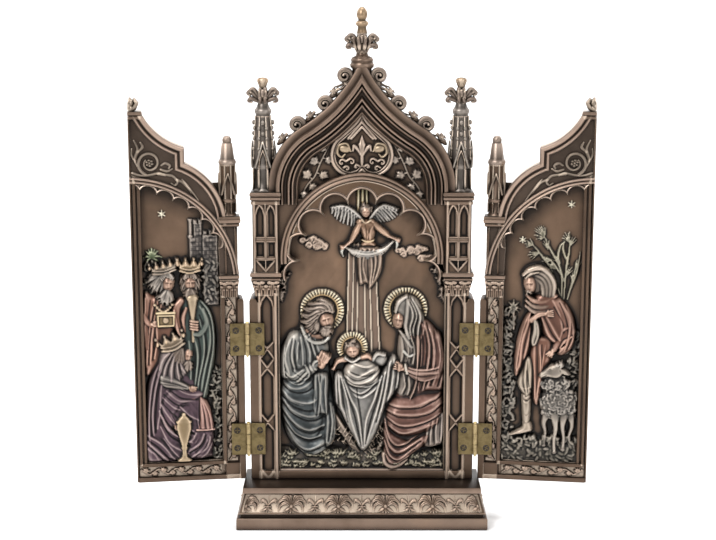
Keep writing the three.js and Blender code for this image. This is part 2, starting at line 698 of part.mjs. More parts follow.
function wingVines(side) {
  const level = WING.front + 2.2;
  const along = vine(5, (i) => leaves(side * (18 + i * 9), 31.4, [i % 2 ? 62 : 118], 8, 3.4, 1.1, level));
  const up = vine(6, (i) => leaves(side * 8.7, 62 + i * 11.4, [i % 2 ? 30 : -30], 8, 3, 1.1, level));
  return [...along, ...up];
}

function wingScroll(side) {
  const level = WING.front + 2.2;
  const spiral = [];
  for (let i = 0; i <= 7; i += 1) {
    const a = (-60 + i * 54) * DEG;
    const r = 6 - i * 0.55;
    spiral.push([side * (52 + r * Math.cos(a)), 207 + r * Math.sin(a)]);
  }
  return [
    fold(spiral, level, 1.9, 7),
    ...leaves(side * 57, 215, [20, -50], 5, 2.8, 1.2, level),
    ...leaves(side * 44.5, 205, [-70, -20], 4.4, 2.4, 1.2, level),
    fold([[side * 61, 202], [side * 50, 200.6], [side * 42, 200.8], [side * 38, 197.6], [side * 31, 192.4]],
      level, 1.7, 4),
  ];
}

function wingBud(side) {
  const { front, back, end } = WING;
  const { collar, shoulder, bud } = WING_TOP;
  const mid = (front + back) / 2;
  const knob = [at(57, collar - 1), at(end, collar - 1), at(end, bud), at(60.5, bud - 1), at(58, 239.6),
    at(56.6, 237)];
  return [
    plate(flip(rect(shoulder - 0.4, end, collar - 3.4, collar), side), front - 0.6, back),
    plate(flip(knob, side), mid - 4.2, mid + 4.2, 1.2),
  ];
}

// ---------------------------------------------------------------- the wings' reliefs

const wingWall = WING_NICHE.wall;

function crown(s, z, width, height, level, side) {
  const half = width / 2;
  const points = [at(-half, 0), at(half, 0)];
  for (let i = 0; i <= 2; i += 1) {
    const x = half * 1.2 * (1 - i);
    points.push(at(x, height));
    if (i < 2) points.push(at(x - half * 0.6, height * 0.55));
  }
  const outline = points.map((p) => at(side * (s + p.x), z + p.y));
  return plate(outline, level - 1.6, wingWall + 1);
}

function kings(side) {
  const m = (points) => points.map(([s, z]) => [side * s, z]);
  const w = wingWall;
  const body = (points, rise, bevel, steps) => plate(smooth(m(points), steps), w - rise, w + 1, bevel);
  const rib = (list, rise, width) => folds(list.map(m), w - rise, width);
  const p = (s, z, r, rise) => [side * s, w - rise, z, r];
  const standingLeft = [
    body([[57, 131], [49, 131.5], [41, 127], [41, 108], [49, 96], [57, 90]], 3.8, 1.4, 6),
    lump(side * 44.6, 139, 6.2, 6.8, 5.2, w - 0.6),
    crown(46, 144.4, 12, 6.4, w - 2.4, side),
    ...rib([[[54, 128], [52, 112], [54, 96]]], 3.6, 2.4),
    plate(flip(rect(41, 49, 115.4, 123.6), side), w - 5.4, w),
  ];
  const standingRight = [
    body([[33, 136], [24, 132], [19.4, 122], [17.4, 108], [20, 88], [26, 72], [30, 90], [33, 112]], 3.6, 1.4, 8),
    lump(side * 31, 139.4, 5, 6.4, 5, w - 0.6),
    crown(31, 146, 12.4, 7, w - 2.4, side),
    limb(p(29.6, 130, 2.6, 3.4), p(29.4, 119, 1.1, 3.8)),
    ...rib([[[24, 128], [20.6, 112], [24, 88]]], 3.4, 2.4),
  ];
  const kneeling = [
    body([[46, 99], [38, 99], [34, 88], [28, 84], [24, 76], [20.6, 60], [19.6, 42], [24, 37], [56, 36.6],
      [57, 60], [56, 86]], 4.2, 1.6, 11),
    limb(p(43, 99, 5.6, 0.8), p(41, 88, 6, 0.8)),
    lump(side * 35, 97.6, 4, 5.2, 4.8, w - 2),
    crown(41, 103.4, 13.6, 7.4, w - 3.2, side),
    limb(p(46, 88, 3.6, 3), p(32, 80, 3, 3.6)),
    plate(flip([at(27, 73), at(20.6, 68), at(19.4, 55), at(28.6, 54.2)], side), w - 5.2, w),
    ...rib([
      [[53, 92], [50, 72], [54, 56]],
      [[50, 72], [45, 56], [41, 40]],
    ], 4.4, 2.8),
    turned(side * 36.6, w - 2.6, 36.4, [[0, 0], [3.8, 0], [1.2, 3], [1.4, 8], [4.1, 20], [0, 28.4]], 6),
  ];
  return [...standingLeft, ...standingRight, ...kneeling, ...castle(side, w), ...bushes(side, 16.5, w)];
}

function castle(side, w) {
  return [
    plate(flip(rect(15, 23.6, 128, 166), side), w - 1.6, w + 1),
    plate(flip([at(22, 150), at(31, 150), at(31, 164.6), at(28.6, 164.6), at(28.6, 172.6), at(22, 172.6)], side),
      w - 1.2, w + 1),
    ...leaves(side * 52, 153, [52, -52], 6, 2.4, 1.4, w),
  ];
}

// Leafy scrub along the inner edge of the scene.
function bushes(side, s, w) {
  return [0, 1].map((i) => lump(side * (s + i * 1.2), 46 + i * 18, 3.4, 9, 2.6, w));
}

function shepherd(side) {
  const m = (points) => points.map(([s, z]) => [side * s, z]);
  const w = wingWall;
  const body = (points, rise, bevel, steps) => plate(smooth(m(points), steps), w - rise, w + 1, bevel);
  const rib = (list, rise, width) => folds(list.map(m), w - rise, width);
  const p = (s, z, r, rise) => [side * s, w - rise, z, r];
  return [
    body([[30, 132], [41, 134], [49, 127], [54.4, 116], [54.6, 104], [47, 97.5], [38, 96], [36.4, 84], [35, 71],
      [31, 72], [30.6, 86], [28, 93], [23.6, 84], [20.8, 86], [21, 100], [23, 114]], 4.6, 1.2, 15),
    lump(side * 33, 140, 8, 8.2, 6, w - 0.4),
    lump(side * 29, 139, 4, 5.4, 5.4, w - 1.4, side * 14),
    limb(p(47, 121, 4.8, 1.8), p(49, 108, 4.4, 2.2)),
    limb(p(48, 106, 3.8, 2.8), p(41, 98.6, 1.9, 4.8)),
    limb(p(29.6, 106, 2.8, 3.8), p(30.6, 119, 2.4, 4.2)),
    limb(p(30.6, 120, 2.2, 4.4), p(41, 123.6, 1.3, 5)),
    limb(p(29.6, 94, 3.6, 3.2), p(25.6, 80, 3.2, 3.6)),
    limb(p(25.8, 78, 3, 3), p(28.6, 58, 2, 3)),
    limb(p(28.6, 56, 2.4, 3), p(21.4, 51.4, 1.6, 3)),
    ...rib([
      [[26, 118], [23.6, 104], [23, 90]],
      [[31, 131], [38, 126], [47, 130]],
    ], 4.6, 2.6),
    ...lamb(side, w, p),
    ...reeds(side, w, m),
    ...bushes(side, 17, w),
    plate(flip(rect(15, 57, 34, 44), side), w - 2.4, w + 1),
  ];
}

function lamb(side, w, p) {
  const wool = [[42, 75], [50, 67]];
  return [
    lump(side * 46.6, 70, 11, 10.4, 6, w, 0, 8, 3),
    ...wool.map(([s, z]) => lump(side * s, z, 5.2, 5, 2.4, w - 3.6)),
    limb(p(36.6, 90.4, 2, 3.4), p(44, 88, 3.6, 3)),
    leaf(side * 45.6, 88.6, 6, 3, 2, w - 4, side * 128),
    limb(p(40, 62, 2, 2.2), p(36.6, 53, 1.4, 1.6)),
    limb(p(36.4, 54, 1.5, 1.4), p(41, 46.6, 1.3, 0.8)),
    limb(p(46, 60, 1.8, 2.8), p(46.4, 41, 1.2, 2.8)),
  ];
}

function reeds(side, w, m) {
  const stems = [[[50, 132], [49, 148], [50, 168]], [[47, 134], [42, 152], [36, 168]],
    [[46, 136], [38, 150], [30, 158]]];
  return [
    ...stems.map((points) => fold(m(points), w - 0.4, 1.8)),
    leaf(side * 36, 164, 8, 3, 1.3, w, side * -24),
  ];
}

function wing(side, relief) {
  const walls = cut(fuse([...wingBoard(side), ...wingFrame(side)]), [wingOpening(side)]);
  const carved = fuse([
    walls,
    ...wingCapital(side),
    ...wingPinnacle(side),
    ...wingVines(side),
    ...wingScroll(side),
    ...wingBud(side),
    ...relief(side),
  ]);
  return cut(carved, [...wingSeats(side), ...wingScrewHoles(side)]);
}

// ---------------------------------------------------------------- hinges

const leafFront = -AXIS.y + PANEL.front; // the mounting plane's depth behind the axis

function screwPlaces(z) {
  return [z + SCREW.spread, z - SCREW.spread];
}

function rod(x, z, radius, y0, y1, sides = 5) {
  return plate(arc(x, z, radius, 0, 360 - 360 / sides, sides - 1), y0, y1);
}

function panelScrewHoles(side) {
  const x = side * (AXIS.x - SCREW.reach);
  return Object.values(HINGE_Z).flatMap((z) => screwPlaces(z).map((h) => rod(
    x, h, SCREW.shank + GAP, PANEL.front - 1, PANEL.front + SCREW.length)));
}

function wingSeats(side) {
  return Object.values(HINGE_Z).map((z) => {
    const half = HINGE.height / 2 + GAP;
    return plate(flip(rect(0, HINGE.leaf + GAP, z - half, z + half), side), WING.front - 3, WING.front + 0.02);
  });
}

function wingScrewHoles(side) {
  return Object.values(HINGE_Z).flatMap((z) => screwPlaces(z).map((h) => rod(
    side * SCREW.reach, h, SCREW.shank + GAP, WING.front - 1, WING.front + SCREW.length)));
}

// One leaf in the hinge's own frame: the axis at the origin, the leaf towards +x, z from its middle.
function hingeLeaf(knuckles) {
  const { leaf: width, height, thick, barrel, bore } = HINGE;
  const y1 = leafFront - GAP;
  const y0 = y1 - thick;
  const half = height / 2;
  const sheet = plate(rect(0, width, -half, half), y0, y1);
  const tube = solid(new THREE.CylinderGeometry(barrel, barrel, height, 6).rotateX(Math.PI / 2));
  const others = knuckles === 1 ? [[-half, -half / 3], [half / 3, half]] : [[-half / 3, half / 3]];
  const clear = others.map(([z0, z1]) => block(
    -barrel - 1, barrel + GAP, -barrel - 1, barrel + 1, z0 - GAP / 2, z1 + GAP / 2));
  const holes = screwPlaces(0).map((z) => rod(SCREW.reach, z, SCREW.shank + GAP, y0 - 1, y1 + 1));
  const bored = solid(new THREE.CylinderGeometry(bore, bore, height + 2, 6).rotateX(Math.PI / 2));
  return cut(fuse([sheet, tube]), [bored, ...clear, ...holes]);
}

function hingePin() {
  const { pin, height } = HINGE;
  const half = height / 2 + GAP;
  return turned(0, 0, 0, [[0, -half - 0.8], [pin, -half - 0.8], [pin, half], [1.1, half], [0.8, half + 0.8],
    [0, half + 0.8]], 6);
}

// A screw in the frame of its leaf: its head bears on the leaf at y = 0, the shank runs back.
function screw() {
  const { head, shank, length, rise, clear } = SCREW;
  const geometry = new THREE.LatheGeometry(
    [[0, -rise], [head, -clear], [shank, -clear], [shank, length], [0, length]]
      .map(([r, h]) => at(r, h)), 6);
  return solid(geometry);
}

function hinge(side, level, wingGroup, root) {
  const label = `${side < 0 ? "left" : "right"}_${level}`;
  const z = HINGE_Z[level];
  const aim = (body, turned180) => (turned180 ? body.mirror([1, 0, 0]) : body);
  const panelLeaf = node(`hinge_${label}_panel_leaf`, aim(hingeLeaf(2), side > 0), BRASS);
  const wingLeaf = node(`hinge_${label}_wing_leaf`, aim(hingeLeaf(1), side < 0), BRASS);
  const pin = node(`hinge_${label}_pin`, hingePin(), BRASS);
  panelLeaf.position.set(side * AXIS.x, AXIS.y, z);
  pin.position.set(side * AXIS.x, AXIS.y, z);
  wingLeaf.position.set(0, 0, z);
  root.add(panelLeaf, pin);
  wingGroup.add(wingLeaf);
  const face = leafFront - GAP - HINGE.thick;
  screwPlaces(z).forEach((height, i) => {
    const place = i === 0 ? "upper" : "lower";
    const fixed = node(`screw_${label}_panel_${place}`, screw(), STEEL);
    fixed.position.set(side * (AXIS.x - SCREW.reach), AXIS.y + face, height);
    root.add(fixed);
    const moving = node(`screw_${label}_wing_${place}`, screw(), STEEL);
    moving.position.set(side * SCREW.reach, face, height);
    wingGroup.add(moving);
  });
}

// ---------------------------------------------------------------- the whole triptych

const triptych = new THREE.Group();
triptych.add(node("plinth", plinth(), BRONZE));
triptych.add(node("centre_panel", centrePanel(), BRONZE));

for (const side of [-1, 1]) {
  const wingGroup = new THREE.Group();
  wingGroup.position.set(side * AXIS.x, AXIS.y, 0);
  wingGroup.rotation.z = -side * REST_ANGLE * DEG;
  const name = side < 0 ? "wing_left" : "wing_right";
  wingGroup.add(node(name, wing(side, side < 0 ? kings : shepherd), BRONZE));
  for (const level of Object.keys(HINGE_Z)) hinge(side, level, wingGroup, triptych);
  triptych.add(wingGroup);
}

export default triptych;
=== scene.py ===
import json
import math

import bmesh
import bpy
import numpy as np
from mathutils import Matrix, Vector
from mathutils.geometry import tessellate_polygon


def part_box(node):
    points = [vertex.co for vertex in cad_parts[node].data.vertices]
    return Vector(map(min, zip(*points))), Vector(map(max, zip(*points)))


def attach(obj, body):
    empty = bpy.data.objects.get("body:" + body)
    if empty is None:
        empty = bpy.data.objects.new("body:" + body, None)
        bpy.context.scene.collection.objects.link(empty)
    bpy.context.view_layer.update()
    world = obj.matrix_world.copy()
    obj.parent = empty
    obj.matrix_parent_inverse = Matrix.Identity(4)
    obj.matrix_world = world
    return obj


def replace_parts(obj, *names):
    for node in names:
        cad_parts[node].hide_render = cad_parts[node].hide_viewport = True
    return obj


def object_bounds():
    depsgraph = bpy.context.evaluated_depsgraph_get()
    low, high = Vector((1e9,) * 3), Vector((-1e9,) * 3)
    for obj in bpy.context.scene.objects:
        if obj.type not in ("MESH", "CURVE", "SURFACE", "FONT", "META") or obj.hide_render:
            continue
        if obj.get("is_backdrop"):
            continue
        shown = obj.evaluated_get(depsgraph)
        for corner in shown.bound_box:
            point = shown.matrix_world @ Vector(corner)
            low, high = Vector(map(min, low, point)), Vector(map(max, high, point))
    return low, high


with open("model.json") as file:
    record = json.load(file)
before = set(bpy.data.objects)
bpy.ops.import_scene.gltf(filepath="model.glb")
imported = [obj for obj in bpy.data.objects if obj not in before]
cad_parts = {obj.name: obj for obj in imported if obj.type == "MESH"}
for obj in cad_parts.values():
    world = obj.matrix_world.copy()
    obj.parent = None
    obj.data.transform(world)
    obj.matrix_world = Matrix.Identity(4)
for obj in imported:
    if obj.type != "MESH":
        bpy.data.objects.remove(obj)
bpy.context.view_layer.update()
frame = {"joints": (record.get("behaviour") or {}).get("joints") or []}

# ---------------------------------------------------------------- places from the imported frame
# Everything below is drawn in millimetres in the panel's own frame: x across, y into the piece, z up.

MM = 0.001
panel_lo, panel_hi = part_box("centre_panel")
ORIGIN = Vector(((panel_lo.x + panel_hi.x) / 2, panel_hi.y - 9 * MM, panel_lo.z - 24 * MM))
HINGES = {joint["child"]: Vector(joint["pos_m"]) for joint in frame["joints"]}
REST_ANGLE = 8  # degrees that each wing stands forward of the panel

# the middle panel: half widths, heights and depths
PANEL_HALF, STRIP, STRIP_TOP = 58.9, 63.4, 130
NICHE_HALF, SILL, WALL = 46.8, 28.7, -0.5
FRONT, BACK = -9.0, 9.0
PILLAR_INNER, PILLAR_MIDDLE, PINNACLE_X = 46.5, 53.75, 54.8
ARCH = (2.3, 152.8, 47.4)  # how far its centres lie from the middle, their height, the radius
# centre of the ring of foils, its radius, a foil's radius, degrees from foil to foil
FOIL = (148.2, 35.8, 7.75, 24.5)

# the wings: where their outer edge, their wall and their hinges are
WING_END, WING_WALL = 63.3, 7.5
WING_ARCH = (64, 139)  # its centre
# radius of the ring, a foil's radius, degrees from foil to foil and to the first one
WING_FOIL = (51.5, 4.5, 10.3, 1.45)
HINGE_Z = (106.7, 48.3)
SCREW_OUT, SCREW_UP = 6.4, 5.2  # from a hinge's axis and from its middle

# how high a relief may stand above its wall: closing the wings leaves no more room
PANEL_RELIEF_ROOM, WING_RELIEF_ROOM = 10.0, 7.2

# tints of the metal, as linear colours
BRONZE = (0.105, 0.068, 0.046)
BRONZE_WARM = (0.134, 0.083, 0.052)
BRONZE_LIGHT = (0.180, 0.135, 0.105)
GOLD = (0.215, 0.148, 0.088)
SILVERED = (0.150, 0.128, 0.110)
SILVER_EDGE = (0.27, 0.235, 0.20)


# ---------------------------------------------------------------- meshes under construction

class Shell:
    """Points, faces and a tint for every point, joined into one mesh at the end."""

    def __init__(self):
        self.points, self.tints, self.faces, self.count = [], [], [], 0

    def add(self, points, faces, tint):
        points = np.asarray(points, float).reshape(-1, 3)
        tints = np.broadcast_to(np.asarray(tint, float), (len(points), 3))
        faces = [tuple(int(i) + self.count for i in face) for face in faces]
        self.points.append(points)
        self.tints.append(np.array(tints))
        self.faces.extend(faces)
        self.count += len(points)
        return self

    def merge(self, other, change=lambda points: points):
        """Takes in another shell, with its points changed on the way."""
        self.points += [change(points) for points in other.points]
        self.tints += other.tints
        self.faces += [tuple(i + self.count for i in face) for face in other.faces]
        self.count += other.count
        return self

    def both_sides(self):
        """This shell and its mirror image."""
        return Shell().merge(self).merge(self, lambda points: points * (-1, 1, 1))

    def piece(self, name, place, material, body, slot="bronze", smooth=40):
        """One finished object; edges sharper than smooth degrees stay sharp."""
        points = np.concatenate(self.points)
        matrix = np.array(place)
        placed = points @ matrix[:3, :3].T + matrix[:3, 3]
        mesh = bpy.data.meshes.new(name)
        mesh.from_pydata(placed.tolist(), [], self.faces)
        paint = mesh.attributes.new("tint", "FLOAT_COLOR", "POINT")
        colours = np.ones((len(points), 4))
        colours[:, :3] = np.concatenate(self.tints)
        paint.data.foreach_set("color", colours.ravel())
        made = bmesh.new()
        made.from_mesh(mesh)
        bmesh.ops.recalc_face_normals(made, faces=made.faces)
        made.to_mesh(mesh)
        made.free()
        mesh.shade_smooth()
        mesh.set_sharp_from_angle(angle=math.radians(smooth))
        mesh.materials.append(material)
        thing = bpy.data.objects.new(name, mesh)
        bpy.context.scene.collection.objects.link(thing)
        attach(thing, body)
        return thing


def grid_faces(rows, columns, wrap_rows=False, wrap_columns=False):
    """Quads between neighbours in a grid of points."""
    index = np.arange(rows * columns).reshape(rows, columns)
    if wrap_rows:
        index = np.vstack([index, index[:1]])
    if wrap_columns:
        index = np.hstack([index, index[:, :1]])
    quads = np.stack([index[:-1, :-1], index[1:, :-1], index[1:, 1:], index[:-1, 1:]], -1)
    return [tuple(q) for q in quads.reshape(-1, 4).tolist()]


def capped_faces(rows, sides):
    """Faces of a tube made of rings, with a cap on each end."""
    faces = grid_faces(rows, sides, wrap_columns=True)
    return faces + [tuple(range(sides)), tuple(range((rows - 1) * sides, rows * sides))]


def spread(values, count):
    """The values at even steps along a line of count points."""
    return np.interp(np.linspace(0, 1, count), np.linspace(0, 1, np.size(values)), np.ravel(values))


def cos_sin(degrees):
    a = math.radians(degrees)
    return math.cos(a), math.sin(a)


def unit(vector):
    vector = np.asarray(vector, float)
    return vector / max(np.linalg.norm(vector), 1e-9)


def arc(x, z, radius, start, end, steps):
    """Points on a circle, from one angle in degrees to the other."""
    angles = np.radians(np.linspace(start, end, steps + 1))
    return np.stack([x + radius * np.cos(angles), z + radius * np.sin(angles)], 1)


def curve(points, steps, closed=False):
    """A smooth line through the given points."""
    points = np.asarray(points, float)
    count = len(points)
    if closed:
        padded = np.vstack([points[-1:], points, points[:2]])
        spans = count
    else:
        padded = np.vstack([2 * points[:1] - points[1:2], points, 2 * points[-1:] - points[-2:-1]])
        spans = count - 1
    t = np.linspace(0, 1, steps, endpoint=False)[:, None]
    made = []
    for i in range(spans):
        a, b, c, d = padded[i:i + 4]
        made.append(0.5 * (2 * b + (c - a) * t + (2 * a - 5 * b + 4 * c - d) * t ** 2
                           + (3 * b - a - 3 * c + d) * t ** 3))
    made = np.vstack(made)
    return made if closed else np.vstack([made, points[-1:]])


def inset_lines(outline, distances):
    """The closed outline moved inwards by each distance, corner by corner."""
    outline = np.asarray(outline, float)
    after = np.roll(outline, -1, 0) - outline
    area = 0.5 * np.sum(outline[:, 0] * np.roll(outline[:, 1], -1) - outline[:, 1] * np.roll(outline[:, 0],
        -1))
    after /= np.maximum(np.linalg.norm(after, axis=1, keepdims=True), 1e-9)
    inward = np.stack([-after[:, 1], after[:, 0]], 1) * (1 if area > 0 else -1)
    before = np.roll(inward, 1, 0)
    mitre = inward + before
    scale = np.clip(np.sum(mitre * mitre, 1, keepdims=True) / 2, 0.35, None)
    mitre = mitre / scale
    return [outline + mitre * d for d in distances]


def prism(shell, outline, front, back, edge, steps=3, tint=BRONZE):
    """A plate with the given outline and a rounded front edge."""
    outline = np.asarray(outline, float)
    count = len(outline)
    turns = np.radians(np.linspace(0, 90, steps + 1)) if edge > 0 else np.zeros(1)
    rings = inset_lines(outline, [edge * (1 - math.cos(a)) for a in turns])
    depths = [front + edge * (1 - math.sin(a)) for a in turns] if edge > 0 else [front]
    levels = [(outline, back)] + list(zip(rings, depths))
    points = [np.column_stack([ring[:, 0], np.full(count, y), ring[:, 1]]) for ring, y in levels]
    faces = grid_faces(len(levels), count, wrap_columns=True)
    for level, ring in ((0, outline), (len(levels) - 1, rings[-1])):
        flat = [Vector((x, z, 0)) for x, z in ring]
        faces += [tuple(i + level * count for i in t) for t in tessellate_polygon([flat])]
    return shell.add(np.concatenate(points), faces, tint)


def rubbed_and_shaded(across, out, tint):
    """A tint for every point of a profile: painted highlight and wear on ridges, painted shade in hollows."""
    across, out = np.asarray(across, float), np.asarray(out, float)
    # lighter ridges are wear plus painted highlight; darker hollows are antiquing plus painted shade
    near = np.exp(-((across[:, None] - across[None]) ** 2 + (out[:, None] - out[None]) ** 2) / 1.5)
    mean = (near * out[None]).sum(1) / near.sum(1)
    stand = np.clip((out - mean) / 0.36, -1, 1)[:, None]
    tint = np.asarray(tint, float)
    return np.where(stand > 0, tint * (1 + 1.1 * stand) + 0.05 * stand, tint * (1 + 0.7 * stand))


def moulding(shell, line_at, profile, tint=BRONZE):
    """A moulding: line_at(offset) gives the line at an offset, profile lists (offset, depth)."""
    rows = np.stack([np.insert(line_at(offset), 1, y, axis=1) for offset, y in profile])
    count, length = rows.shape[:2]
    faces = grid_faces(count, length, wrap_rows=True)
    faces += [tuple(i * length + end for i in range(count)) for end in (0, length - 1)]
    # ridges get a painted highlight and hollows painted shade, with wear and antiquing
    tints = rubbed_and_shaded([offset for offset, _ in profile], [-y for _, y in profile], tint)
    return shell.add(rows, faces, np.repeat(tints, length, 0))


def lathe(shell, x, y, z, profile, sides, tint=BRONZE, turn=0.0, squash=1.0):
    """A turned piece on a vertical axis: profile lists (radius, height)."""
    angles = np.linspace(0, 2 * math.pi, sides, endpoint=False) + math.radians(turn)
    rows = [np.stack([x + r * np.cos(angles), y + squash * r * np.sin(angles), np.full(sides, z + h)], 1)
            for r, h in profile]
    # wider rings get a painted highlight, narrower ones painted shade, with wear and antiquing
    tints = rubbed_and_shaded([h for _, h in profile], [r for r, _ in profile], tint)
    return shell.add(np.concatenate(rows), capped_faces(len(rows), sides), np.repeat(tints, sides, 0))


def ball(shell, centre, radii, tint, sides, rings):
    """A round or flattened ball."""
    angles = np.linspace(0, 2 * math.pi, sides, endpoint=False)
    heights = np.linspace(-math.pi / 2, math.pi / 2, rings + 1)
    heights[0] += 0.12
    heights[-1] -= 0.12
    rows = [np.stack([np.cos(h) * np.cos(angles), np.full(sides, np.sin(h)), np.cos(h) * np.sin(angles)], 1)
            for h in heights]
    points = np.concatenate(rows) * np.asarray(radii, float) + np.asarray(centre, float)
    return shell.add(points, capped_faces(len(rows), sides), tint)


def tube(shell, path, radii, sides, tint=BRONZE, flat=1.0):
    """A round stem along a path of (x, y, z) points; flat squeezes it from front to back."""
    path = np.asarray(path, float)
    radii = np.broadcast_to(np.asarray(radii, float), (len(path),)).copy()
    first, last = unit(path[0] - path[1]), unit(path[-1] - path[-2])
    path = np.vstack([path[0] + first * radii[0] * 0.7, path, path[-1] + last * radii[-1] * 0.7])
    radii = np.concatenate([[radii[0] * 0.45], radii, [radii[-1] * 0.45]])
    tangents = np.gradient(path, axis=0)
    tangents /= np.maximum(np.linalg.norm(tangents, axis=1, keepdims=True), 1e-9)
    out = np.array([0.0, -1.0, 0.0])
    across = np.cross(tangents, out)
    length = np.linalg.norm(across, axis=1, keepdims=True)
    across = np.where(length > 0.05, across / np.maximum(length, 1e-9), np.array([[1.0, 0, 0]]))
    lift = np.cross(across, tangents)
    angles = np.linspace(0, 2 * math.pi, sides, endpoint=False)
    ring = (np.cos(angles)[None, :, None] * across[:, None]
        + flat * np.sin(angles)[None, :, None] * lift[:, None])
    points = path[:, None] + ring * radii[:, None, None]
    return shell.add(points, capped_faces(len(path), sides), tint)


def slab_stack(shell, x0, x1, front, back, rings):
    """A rectangular block built of stacked rings: (height, how far the ring stands out)."""
    points = []
    for z, out in rings:
        points += [(x0 - out, front - out, z), (x1 + out, front - out, z), (x1 + out, back + out, z),
                   (x0 - out, back + out, z)]
    # standing rings get a painted highlight, sunk ones painted shade, with wear and antiquing
    tints = rubbed_and_shaded([z for z, _ in rings], [out for _, out in rings], BRONZE)
    return shell.add(points, capped_faces(len(rings), 4), np.repeat(tints, 4, 0))


def relief_block(shell, x, z, y, tint, back):
    """A carved face given on a grid, with flat sides that run back to one depth."""
    rows, columns = x.shape
    face = np.stack([x, y, z], -1).reshape(-1, 3)
    loop = np.concatenate([np.arange(columns), columns * np.arange(1, rows) + columns - 1,
                           (rows - 1) * columns + np.arange(columns - 2, -1, -1),
                           columns * np.arange(rows - 2, 0, -1)])
    behind = face[loop].copy()
    behind[:, 1] = back
    tint = np.broadcast_to(tint, (rows, columns, 3)).reshape(-1, 3)
    faces = grid_faces(rows, columns)
    start = rows * columns
    ends = np.roll(np.arange(len(loop)), -1)
    faces += [(loop[i], loop[j], start + j, start + i) for i, j in enumerate(ends)]
    faces.append(tuple(range(start, start + len(loop))))
    return shell.add(np.concatenate([face, behind]), faces, np.concatenate([tint, tint[loop]]))


# ---------------------------------------------------------------- carving on a grid

